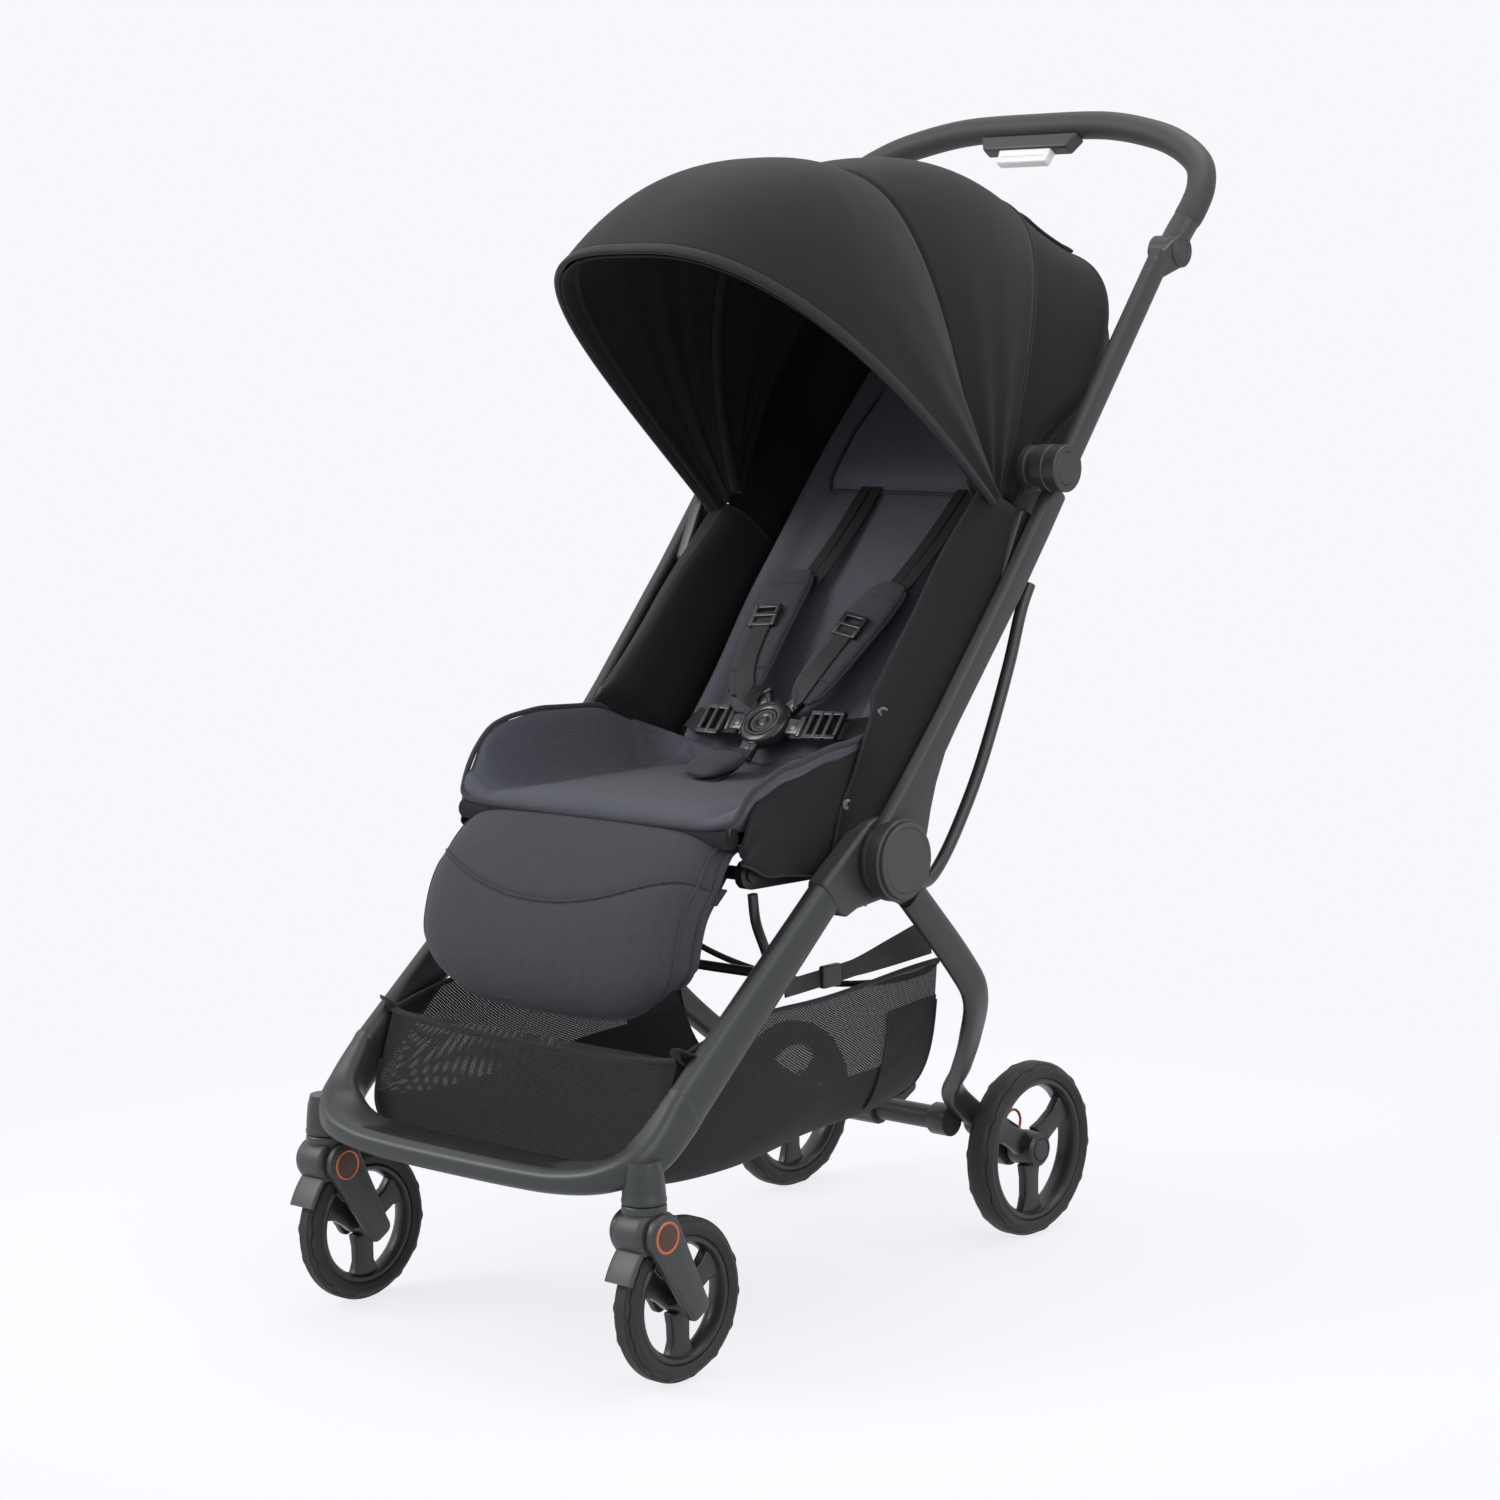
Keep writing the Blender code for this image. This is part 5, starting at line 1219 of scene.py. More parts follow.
@dataclass
class SeatCushion:
    """Padded seat pan with a rolled front lip, raised wings and a piped rim."""

    back_y: float = -0.048
    front_y: float = -0.23
    roll: float = 0.017
    underside: float = 0.4315
    lip_bottom: float = 0.424
    seat_z: float = 0.45
    fold_z: float = 0.432
    fold_keep: float = 0.45
    near_wing: tuple[Pair, ...] = (
        (-0.232, 0.459), (-0.222, 0.474), (-0.173, 0.488), (-0.12, 0.498), (-0.073, 0.505), (-0.045, 0.5),
    )
    far_wing: tuple[Pair, ...] = (
        (-0.232, 0.464), (-0.22, 0.492), (-0.19, 0.506), (-0.15, 0.511), (-0.096, 0.508), (-0.045, 0.49),
    )

    def wing(self, side: int, y: float) -> float:
        """Height of a wing's rim."""
        return curve_of(self.near_wing if side > 0 else self.far_wing, y)

    def ring(self, y: float) -> list[Vector]:
        """Closed cross-section of the pan at y."""
        points = []
        for side in (1, -1):
            rim = self.wing(side, y)
            half = [
                (0.154, self.underside + 0.001),
                (0.16, self.underside + 0.35 * (rim - self.underside)),
                (0.1655, self.underside + 0.72 * (rim - self.underside)),
                (0.167, rim - 0.004), (0.1645, rim), (0.16, rim - 0.003),
                (0.156, rim - 0.28 * (rim - self.seat_z)),
                (0.1505, rim - 0.62 * (rim - self.seat_z)),
                (0.1425, rim - 0.94 * (rim - self.seat_z)),
                (0.133, self.seat_z - 0.0045), (0.118, self.seat_z + 0.0015), (0.085, self.seat_z + 0.0015),
                (0.06, self.seat_z + 0.0028), (0.03, self.seat_z + 0.0036),
            ]
            part = [Vector((side * x, y, z)) for x, z in half]
            points.append(part)
        right, left = points
        low = [Vector((x, y, self.underside)) for x in (-0.1, -0.05, 0.0, 0.05, 0.1)]
        return [*right, Vector((0.0, y, self.seat_z + 0.0038)), *reversed(left), *low]

    def build(self) -> None:
        """Loft the pan, roll its front lip and pipe its rim."""
        rows = []
        for k in range(15):
            y = self.back_y + (self.front_y - self.back_y) * k / 14
            early = (1 - k / 14) ** 2
            wide = [min(1.0, max(0.0, (abs(p.x) - 0.132) / 0.024)) for p in self.ring(y)]
            rows.append([p + Vector((0, early * (0.02 + 0.016 * w), 0)) for p, w in zip(self.ring(y), wide)])
        base = self.ring(self.front_y)
        for k in range(1, 7):
            a = math.pi / 2 * k / 6
            low = self.lip_bottom + (self.underside - self.lip_bottom) * math.cos(a)
            row = []
            for p in base:
                keep = math.cos(a) ** 0.8 if k < 6 else 0.12
                z = low + (p.z - self.underside) * keep + 0.004 * math.sin(a)
                row.append(
                    Vector((p.x * (1 - 0.03 * math.sin(a)), self.front_y - self.roll * math.sin(a), z))
                )
            rows.append(row)
        obj = Maker.surface("seat_cushion", rows, ring=True, caps=True)
        Maker.subdivide(obj, 2)
        dress(obj, SLATE, "seat", ["seat_pad"], SOFT_ANGLE)
        sink(obj, self.fold_z, self.fold_keep)
        self.piping()

    def piping(self) -> None:
        """Piped edge over both wings and round the lip, and under it a black roll that is partly the lip's
        black underside and partly painted shade.
        """
        route = []
        for side in (-1, 1):
            for k in range(10):
                y = self.back_y + (self.front_y + 0.004 - self.back_y) * k / 9
                route.append((side * 0.1662, y + 0.036 * (1 - k / 9) ** 2, self.wing(side, y) + 0.0008))
            route.append((side * 0.164, self.front_y - 0.01, self.wing(side, self.front_y) - 0.01))
            for x, out, z in ((0.156, 0.017, 0.445), (0.13, 0.019, 0.441), (0.07, 0.0195, 0.44)):
                route.append((side * x, self.front_y - out, z))
        half = len(route) // 2
        path = smooth_path([*route[:half], *reversed(route[half:])], 5)
        # Black roll under the lip: partly its black underside, partly painted shade under the overhang.
        lip = [(x, self.front_y - 0.013, 0.433) for x in (-0.16, -0.15, -0.08, 0.0, 0.08, 0.15, 0.16)]
        cord("seat_lip_underside_and_shade", spread(smooth_path(lip, 6), 60), 0.009, BLACK_CLOTH, "seat", 16)
        sink(cord("seat_rim_piping", path, 0.0026, PIPING, "seat", 10), self.fold_z, self.fold_keep)


@dataclass
class BackCushion:
    """Padded backrest with side bolsters, headrest panel and piped edge."""

    foot_t: float = 0.07
    head_t: float = 0.646
    base_n: float = -0.043
    widths: tuple[Pair, ...] = (
        (0.07, 0.118), (0.15, 0.128), (0.3, 0.14), (0.45, 0.143), (0.56, 0.138), (0.62, 0.112), (0.646, 0.07),
    )
    keep: float = 0.35

    def half(self, t: float) -> float:
        """Half width of the cushion at t."""
        return curve_of(self.widths, t)

    def lift(self, p: float, t: float) -> float:
        """Height of the front face over the shell.

        Args:
            p: Sideways share from -1 to 1.
            t: Run up from the hub.

        Returns:
            Height of the face.
        """
        crown = 0.028 * (1 - abs(p) ** 6) ** 0.5
        bolster = 0.012 * math.exp(-(((abs(p) - 0.82) / 0.13) ** 2))
        ends = min(1.0, max(0.0, (t - self.foot_t) / 0.02)) * min(1.0, max(0.0, (self.head_t - t) / 0.022))
        channel = 0.004 * math.exp(-(((abs(p) - 0.62) / 0.035) ** 2))
        return (crown + bolster - channel) * math.sqrt(max(0.0, ends) * (2 - max(0.0, ends)))

    def build(self) -> None:
        """Build the cushion, its headrest panel, its cover and its piping."""
        rows, steps = [], 44
        for j in range(steps + 1):
            t = self.foot_t + (self.head_t - self.foot_t) * j / steps
            half = self.half(t)
            front = [
                PLAN.push(half * p, t, self.base_n + 0.0015 + self.lift(p, t)) for p in np.linspace(-1, 1, 33)
            ]
            back = [PLAN.push(half * p, t, self.base_n + 0.0008) for p in np.linspace(1, -1, 33)[1:-1]]
            rows.append([*front, *back])
        obj = Maker.surface("back_cushion", rows, ring=True, caps=True)
        dress(obj, SLATE, "backrest", ["back_pad"], SOFT_ANGLE)
        flatten(obj, self.base_n, self.keep)
        self.headrest()
        self.cover()
        self.piping()

    def cover(self) -> None:
        """Black cloth over the back of the shell, quilted near the head."""

        def point(u: float, v: float) -> Vector:
            """A point of the cover at its two shares."""
            t, p = self.foot_t + (self.head_t - 0.002 - self.foot_t) * u, 2 * v - 1
            ends = min(1.0, (40 * u + 0.5) / 3, (40.5 - 40 * u) / 4)
            quilt = 0.0016 * math.sin(46 * t) * (1 - p**6) if t > 0.52 else 0.0
            deep = 0.0135 * ends * max(0.0, 1 - abs(p) ** 7) ** 0.5 + 0.0005
            return PLAN.push((self.half(t) + 0.001) * p, t, self.base_n - deep - quilt)

        rows = grid(41, 33, point)
        obj = sew("back_cover", rows, BLACK_CLOTH, "backrest", ["back_shell"], angle=SOFT_ANGLE)
        flatten(obj, -0.048, 0.6)
        declare_sheet(obj, rows)

    def headrest(self) -> None:
        """Padded head panel with a piped edge."""

        def point(u: float, v: float) -> Vector:
            """A point of the panel's face at its two shares."""
            q, p = 2 * u - 1, 2 * v - 1
            t = 0.478 + 0.072 * q
            half = 0.098 * (1 - 0.1 * max(0.0, q)) * (1 - 0.06 * abs(q) ** 6)
            rise = 0.016 * max(0.0, (1 - p**8) * (1 - q**8)) ** 0.5
            return PLAN.push(
                half * p, t, self.base_n + 0.0015 + self.lift(half * p / self.half(t), t) + rise - 0.001
            )

        rows = grid(15, 25, point)
        normal = PLAN.front()
        deep = [[*row, *[p - normal * 0.01 for p in reversed(row)]] for row in rows]
        obj = Maker.surface("headrest_panel", deep, ring=True, caps=True)
        dress(obj, SLATE, "backrest", (), SOFT_ANGLE)
        around = [p + normal * 0.0024 for p in [*rim_of(rows), rows[0][0]]]
        edge = cord("headrest_piping", spread(around, 160), 0.0019, PIPING, "backrest", 10)
        flatten(edge, self.base_n, self.keep)
        flatten(obj, self.base_n, self.keep)

    def piping(self) -> None:
        """Piped edge up both sides and over the head."""
        right = []
        for j in range(30):
            t = self.foot_t + (self.head_t - 0.003 - self.foot_t) * j / 29
            right.append(PLAN.push(self.half(t) + 0.001, t, self.base_n + 0.008))
        left = [Vector((-p.x, p.y, p.z)) for p in reversed(right)]
        obj = cord("back_rim_piping", spread([*right, *left], 120), 0.0024, PIPING, "backrest", 10)
        flatten(obj, self.base_n, self.keep)


@dataclass
class SideWall:
    """Black cloth walls and the curtain between push tubes, canopy and backrest."""

    fold_n: float = 0.01
    fold_keep: float = 0.3
    low_t: float = -0.03
    high_t: float = 0.352
    near_fold: tuple[Pair, ...] = (
        (-0.03, 0.03), (0.03, 0.05), (0.095, 0.062), (0.2, 0.064), (0.28, 0.07), (0.352, 0.066),
    )
    far_fold: tuple[Pair, ...] = (
        (-0.03, 0.03), (0.03, 0.046), (0.091, 0.054), (0.226, 0.046), (0.352, 0.032)
    )
    snap: tuple[Pair, ...] = (
        (0.0, 0.0004), (0.0016, 0.0004), (0.0026, 0.0012), (0.0044, 0.0014), (0.0054, 0.0004),
        (0.0054, -0.001), (0.0, -0.001),
    )

    def keys(self, side: int, t: float) -> list[Pair]:
        """Cross-section of a wall at t, as (x, n) from the tube to the backrest.

        Args:
            side: -1 for the left and 1 for the right.
            t: Run up from the hub.

        Returns:
            The section's key points.
        """
        n = curve_of(self.near_fold if side > 0 else self.far_fold, t)
        share = (t - self.low_t) / (self.high_t - self.low_t)
        slack = 0.005 * math.sin(math.pi * share)
        wave = 0.0016 * math.sin(9.0 * share + side)
        return [
            (0.199, 0.006), (0.1975, 0.016), (0.193, 0.35 * n + 0.011),
            (0.184 - slack, 0.78 * n + 0.003 + wave), (0.172 - slack, 0.97 * n), (0.1655 - slack, n),
            (0.159 - slack, 0.93 * n - wave), (0.152 - slack, 0.62 * n), (0.148, 0.26 * n), (0.145, -0.01),
            (0.143, -0.036),
        ]

    def wall(self, name: str, side: int) -> None:
        """Hang one wall with its bound fold and its snaps."""
        rows = []
        for j in range(33):
            t = self.low_t + (self.high_t - self.low_t) * j / 32
            apart = 1 - min(1.0, max(0.0, (t - 0.075) / 0.05)) ** 2
            keys = [(side * (x + apart * max(0.0, 0.1725 - x)), t, m) for x, m in self.keys(side, t)]
            rows.append([PLAN.push(*p) for p in smooth_path(keys, 3)])
        obj = sew(f"side_wall_{name}", rows, BLACK_CLOTH, "push_frame", [f"side_panel_{name}"], HEAVY_CLOTH)
        flatten(obj, self.fold_n, self.fold_keep)
        declare_sheet(obj, rows)
        for column, radius in ((15, 0.0014), (21, 0.0008)):
            line = [row[column] for row in rows]
            flatten(
                cord(f"side_wall_edge_{column}_{name}", line, radius, BINDING, "push_frame"),
                self.fold_n,
                self.fold_keep,
            )
        face = (PLAN.front() * 0.6 + Vector((side * 0.8, 0, 0))).normalized()
        for k, t in enumerate((0.022, 0.113)):
            (x, n), (next_x, next_n) = self.keys(side, t)[3:5]
            place = PLAN.push(side * (x + next_x) / 2, t, (n + next_n) / 2 + 0.001)
            snap = Maker.turned(f"side_snap_{k}_{name}", self.snap, place, face, 24)
            dress(snap, SNAP_METAL, "push_frame")

    def curtain(self) -> None:
        """Cloth from the canopy's rear bow in to the rim of the backrest."""
        canopy, cushion = Canopy(), BackCushion()
        outer = spread(canopy.line(canopy.rear, 0.005), 121)
        right = [
            PLAN.push(cushion.half(t) + 0.003, t, -0.04)
            for t in np.linspace(0.325, cushion.head_t - 0.001, 40)
        ]
        inner = spread([*right, *[Vector((-p.x, p.y, p.z)) for p in reversed(right)]], 121)
        rows, heart = [], PLAN.push(0, 0.45, 0)
        for j in range(17):
            share = j / 16
            arch = math.sin(math.pi * share)
            bow = -PLAN.front() * (0.01 * arch)
            row = []
            for k, (a, b) in enumerate(zip(outer, inner)):
                pleat = 0.0035 * math.sin(k * 0.42 + 1.6 * math.sin(k * 0.11)) * arch
                row.append(a.lerp(b, share) + bow + ((a + b) / 2 - heart).normalized() * pleat)
            rows.append(row)
        obj = sew("canopy_rear_curtain", rows, LINING, "push_frame", thickness=LIGHT_CLOTH)
        bend(obj, "push_frame", "backrest", PLAN.push(0, 0.5, 0.034), PLAN.push(0, 0.5, -0.04))
        declare_sheet(obj, rows)

    def backing(self, name: str, side: int) -> None:
        """Cloth behind the backrest's edge that closes the gap to the wall."""

        def point(u: float, v: float) -> Vector:
            """A point of the backing at its two shares."""
            t = -0.012 + 0.46 * u
            reach = 0.164 - 0.016 * min(1.0, max(0.0, (t - 0.05) / 0.05))
            return PLAN.push(side * (0.09 + (reach - 0.09) * v), t, -0.0465 + 0.01 * v**2)

        rows = grid(25, 9, point)
        obj = sew(f"back_backing_{name}", rows, BLACK_CLOTH, "backrest")
        flatten(obj, -0.048, 0.5)
        declare_sheet(obj, rows)

    def build(self) -> None:
        """Hang both walls, their backing and the curtain."""
        for name, side in SIDES:
            self.wall(name, side)
            self.backing(name, side)
        self.curtain()


@dataclass
class Skirt:
    """Black cloth under the seat wings down to the seat's side plates."""

    lower: tuple[Pair, ...] = (
        (-0.246, 0.412), (-0.2, 0.396), (-0.128, 0.388), (-0.074, 0.39), (-0.02, 0.398)
    )

    def build(self) -> None:
        """Hang a skirt on each side of the seat."""
        seat = SeatCushion()
        for name, side in SIDES:
            rows = []
            for j in range(29):
                y = -0.242 + 0.218 * j / 28
                rim = seat.wing(side, max(y, seat.front_y)) - 0.012 - 0.03 * max(0.0, (-0.225 - y) / 0.02)
                low = curve_of(self.lower, y)
                row = []
                for k in range(11):
                    share = k / 10
                    x = 0.166 + 0.003 * math.sin(math.pi * share) + 0.001 * math.sin(14 * share + j * 0.5)
                    row.append(Vector((side * x, y + 0.004 * share, rim + (low - rim) * share)))
                rows.append(row)
            obj = sew(f"seat_skirt_{name}", rows, BLACK_CLOTH, "seat", thickness=HEAVY_CLOTH)
            sink(obj, 0.4, 0.6)
            declare_sheet(obj, rows)
            cord(f"seat_skirt_hem_{name}", [row[-1] for row in rows], 0.0014, BINDING, "seat")


@dataclass
class Harness:
    """Five-point harness: straps, shoulder pads, adjusters, buckle and crotch pad."""

    buckle_t: float = 0.121
    buckle_n: float = 0.007
    lean: float = 0.1
    fold_n: float = -0.043
    fold_keep: float = 0.45

    @staticmethod
    def axes(turn: float, lean: float = 0.0) -> Matrix:
        """Axes of a piece lying on the backrest.

        Args:
            turn: Turn in the backrest's plane.
            lean: Tip of its face downwards.

        Returns:
            The axes as columns.
        """
        aside, ahead, front = Vector((1, 0, 0)), PLAN.ahead(), PLAN.front()
        c, s = math.cos(lean), math.sin(lean)
        ahead, front = ahead * c + front * s, front * c - ahead * s
        first = aside * math.cos(turn) + ahead * math.sin(turn)
        second = ahead * math.cos(turn) - aside * math.sin(turn)
        return Matrix((first, second, front)).transposed()

    def wear(self, obj: bpy.types.Object, finish: Finish, replaces: Sequence[str] = ()) -> None:
        """Dress a harness piece and give it its own mesh unless it is black plastic."""
        dress(obj, finish, "backrest", replaces)
        if finish.slot is not Slot.BLACK_PLASTIC:
            flatten(obj, self.fold_n, self.fold_keep)

    def strap(self, name: str, keys: Sequence[Sequence[float]], width: float) -> None:
        """A woven strap along (x, t, n) keys."""
        path = [PLAN.push(*p) for p in smooth_path(keys, 6)]
        self.wear(Maker.ribbon(name, path, PLAN.front(), width, 0.0016), WEBBING)

    def pad(self, name: str, keys: Sequence[Sequence[float]], node: str) -> None:
        """A padded sleeve over a shoulder strap, with piped sides and seams.

        Args:
            name: Side name.
            keys: Its middle line as (x, t, n).
            node: CAD node that it stands for.
        """
        path = [PLAN.push(*p) for p in spread(smooth_path(keys, 8), 41)]
        wide = (0.015, 0.0228, 0.0252, 0.0262, 0.0262, 0.0256, 0.025, 0.024, 0.0225, 0.02, 0.013)
        high = (0.0028, 0.0058, 0.0068, 0.0072, 0.0066, 0.0064, 0.0068, 0.007, 0.0066, 0.0052, 0.0026)
        sections = [oval(keyed(wide, i / 40), keyed(high, i / 40), 2.9, 28) for i in range(41)]
        obj = Maker.sweep(f"shoulder_pad_{name}", path, sections, PLAN.front())
        Maker.subdivide(obj, 1)
        self.wear(obj, SLATE_DARK, [node])

        def across(i: int) -> Vector:
            """Sideways direction of the pad at a point of its path."""
            return PLAN.front().cross(ahead_at(path, i)).normalized()

        for k, way in enumerate((-1, 1)):
            edge = [path[i] + across(i) * way * (keyed(wide, i / 40) + 0.0002) for i in range(2, 39)]
            self.wear(Maker.tube(f"shoulder_pad_piping_{k}_{name}", edge, 0.0015, 8), PIPING)
        for k, i in enumerate((6, 33)):
            reach, top, seam = keyed(wide, i / 40), keyed(high, i / 40), []
            for p in np.linspace(-1, 1, 17):
                rise = top * (1 - abs(p) ** 2.9) ** (1 / 2.9) + 0.0002
                seam.append(path[i] + across(i) * reach * p * 0.96 + PLAN.front() * rise)
            self.wear(Maker.tube(f"shoulder_pad_seam_{k}_{name}", seam, 0.0009, 6), PIPING)

    def ladder(self, name: str, place: Vector, size: Sequence[float], turn: float, bars: int = 1) -> None:
        """A ladder adjuster: a moulded frame with cross bars.

        Args:
            name: Piece name.
            place: Its middle.
            size: Width, length and thickness.
            turn: Turn in the backrest's plane.
            bars: Cross bars inside the frame.
        """
        axes = self.axes(turn)
        w, d, h = size
        rail = 0.16 * w
        parts = [
            Maker.block(
                "rail", place + axes @ Vector((way * (w - rail) / 2, 0, 0)), (rail, d, h), axes, 0.0009
            )
            for way in (-1, 1)
        ]
        spans = bars + 2
        for k in range(spans):
            along_it = (k / (spans - 1) - 0.5) * (d - 0.0042)
            lift = 0.0008 if 0 < k < spans - 1 else 0.0
            parts.append(
                Maker.block(
                    "bar", place + axes @ Vector((0, along_it, lift)), (w, 0.0042, h * 0.86), axes, 0.001
                )
            )
        self.wear(Maker.unite(name, parts), GLOSS_PLASTIC)

    def tongue(self, name: str, place: Vector, size: Sequence[float], turn: float) -> None:
        """A buckle tongue: a tapered plate with a raised loop bar.

        Args:
            name: Piece name.
            place: Its middle.
            size: Width, length and thickness.
            turn: Turn in the backrest's plane.
        """
        axes = self.axes(turn, self.lean)
        w, d, h = size
        parts = [
            Maker.block("plate", place, (w, d, h), axes, 0.0014, taper=0.9),
            Maker.block(
                "loop",
                place + axes @ Vector((0, d * 0.44, h * 0.3)),
                (w * 1.22, 0.0052, h * 0.9),
                axes,
                0.0014,
            ),
            Maker.block(
                "rib",
                place + axes @ Vector((0, -d * 0.05, h * 0.5)),
                (w * 0.46, d * 0.42, 0.0012),
                axes,
                0.0005,
            ),
        ]
        self.wear(Maker.unite(name, parts), GLOSS_PLASTIC)

    def buckle(self) -> None:
        """Round buckle with rings, its press button, six grips and five tongues."""
        axes = self.axes(0.0, -self.lean)
        face = axes @ UP
        middle = PLAN.push(0.0, self.buckle_t, self.buckle_n)
        body = (
            (0.0145, 0.0), (0.0145, 0.0052), (0.016, 0.006), (0.0178, 0.006), (0.0184, 0.005), (0.019, 0.005),
            (0.0196, 0.006), (0.0226, 0.0056), (0.0246, 0.004), (0.0258, 0.0014), (0.0262, -0.001),
            (0.0262, -0.005), (0.025, -0.0068), (0.0145, -0.0068),
        )
        self.wear(Maker.turned("buckle_body", body, middle, face, 72), GLOSS_PLASTIC, ["buckle"])
        button = (
            (0.0, 0.0046), (0.005, 0.0046), (0.0056, 0.0041), (0.0062, 0.0046), (0.0094, 0.0049),
            (0.01, 0.0043), (0.0106, 0.0049), (0.0132, 0.0047), (0.014, 0.0036), (0.014, -0.001),
            (0.0, -0.001),
        )
        obj = Maker.turned("buckle_press_button", button, middle, face, 64)
        dress(obj, GLOSS_PLASTIC, "buckle_button", ["buckle_button"])
        for k in range(6):
            turn = math.radians(60 * k + 30)
            grip = middle + axes @ Vector((0.0243 * math.cos(turn), 0.0243 * math.sin(turn), 0.0016))
            turned_axes = self.axes(turn - math.pi / 2, -self.lean)
            self.wear(
                Maker.block(f"buckle_grip_{k}", grip, (0.009, 0.0042, 0.0036), turned_axes, 0.001),
                GLOSS_PLASTIC,
            )
        spots = (
            ("upper_left", 34, 0.033, 0.0165), ("upper_right", -34, 0.033, 0.0165),
            ("left", 90, 0.035, 0.018), ("right", -90, 0.035, 0.018), ("lower", 172, 0.031, 0.019),
        )
        for name, degrees, reach, wide in spots:
            turn = math.radians(degrees)
            spot = middle + axes @ Vector((-reach * math.sin(turn), reach * math.cos(turn), -0.002))
            self.tongue(f"buckle_tongue_{name}", spot, (wide, 0.02, 0.0062), turn)

    def crotch(self) -> None:
        """Crotch strap with its small padded tab."""
        keys = (
            (0.0, -0.046, 0.476), (0.0, -0.06, 0.466), (0.002, -0.08, 0.458), (0.004, -0.105, 0.453),
            (0.004, -0.125, 0.451),
        )
        strap = Maker.ribbon("crotch_strap", smooth_path(keys, 6), Vector((0, -0.3, 1)), 0.024, 0.0018)
        dress(strap, WEBBING, "seat")
        tab = (
            (-0.002, -0.056, 0.473), (-0.004, -0.07, 0.468), (-0.006, -0.088, 0.464), (-0.008, -0.104, 0.458)
        )
        route = spread(smooth_path(tab, 8), 25)
        wide = (0.012, 0.0215, 0.0235, 0.024, 0.024, 0.023, 0.0205, 0.012)
        high = (0.0025, 0.0055, 0.0065, 0.0065, 0.0065, 0.006, 0.005, 0.0022)
        sections = [oval(keyed(wide, i / 24), keyed(high, i / 24), 2.8, 24) for i in range(25)]
        pad = Maker.sweep("crotch_pad", route, sections, Vector((0, -0.3, 1)))
        Maker.subdivide(pad, 1)
        dress(pad, SLATE_DARK, "seat")

    def build(self) -> None:
        """Lay out the harness as it hangs in the photograph."""
        webs = {
            "left": (
                (-0.04, 0.455, -0.0135), (-0.039, 0.405, -0.0095), (-0.041, 0.35, -0.007),
                (-0.045, 0.3, -0.003), (-0.05, 0.27, 0.001),
            ),
            "right": (
                (0.08, 0.455, -0.0135), (0.0765, 0.4, -0.0095), (0.0715, 0.35, -0.007), (0.064, 0.3, -0.003),
                (0.057, 0.27, 0.001),
            ),
        }
        pads = {
            "left": (
                (-0.0625, 0.3, 0.001), (-0.059, 0.262, 0.006), (-0.054, 0.22, 0.01), (-0.046, 0.175, 0.012),
                (-0.04, 0.146, 0.012),
            ),
            "right": (
                (0.06, 0.29, 0.001), (0.054, 0.255, 0.006), (0.047, 0.215, 0.01), (0.0385, 0.172, 0.012),
                (0.031, 0.144, 0.012),
            ),
        }
        straps = (
            ("shoulder_tail_left", 0.02, (
                (-0.056, 0.236, 0.0175), (-0.053, 0.21, 0.0188), (-0.046, 0.176, 0.0196),
                (-0.035, 0.15, 0.016), (-0.024, 0.146, 0.008),
            )),
            ("shoulder_tail_right", 0.02, (
                (0.05, 0.231, 0.0175), (0.045, 0.205, 0.0188), (0.038, 0.172, 0.0196), (0.03, 0.15, 0.016),
                (0.022, 0.146, 0.008),
            )),
            ("waist_strap_left", 0.024, (
                (-0.034, 0.121, 0.005), (-0.056, 0.118, 0.008), (-0.082, 0.121, 0.003),
                (-0.104, 0.13, -0.006), (-0.12, 0.136, -0.02),
            )),
            ("waist_strap_right", 0.024, (
                (0.034, 0.121, 0.005), (0.062, 0.12, 0.008), (0.088, 0.125, 0.003), (0.108, 0.136, -0.006),
                (0.12, 0.14, -0.02),
            )),
        )
        for name, keys in webs.items():
            for k, way in enumerate((-1, 1)):
                self.strap(f"shoulder_web_{k}_{name}", [(x + way * 0.0072, t, n) for x, t, n in keys], 0.0125)
        for name, keys in pads.items():
            self.pad(name, keys, f"shoulder_strap_{name}")
        size, crosswise = (0.03, 0.025, 0.0044), math.pi / 2
        large = (0.031, 0.038, 0.006)
        self.ladder("shoulder_adjuster_left", PLAN.push(-0.056, 0.233, 0.0185), size, 0.12)
        self.ladder("shoulder_adjuster_right", PLAN.push(0.05, 0.228, 0.0185), size, -0.18)
        for name, width, keys in straps:
            self.strap(name, keys, width)
        self.ladder("waist_adjuster_left", PLAN.push(-0.06, 0.118, 0.0105), (0.033, 0.027, 0.006), crosswise)
        self.ladder("waist_adjuster_right", PLAN.push(0.072, 0.122, 0.0105), large, crosswise + 0.06, 2)
        self.buckle()
        self.crotch()


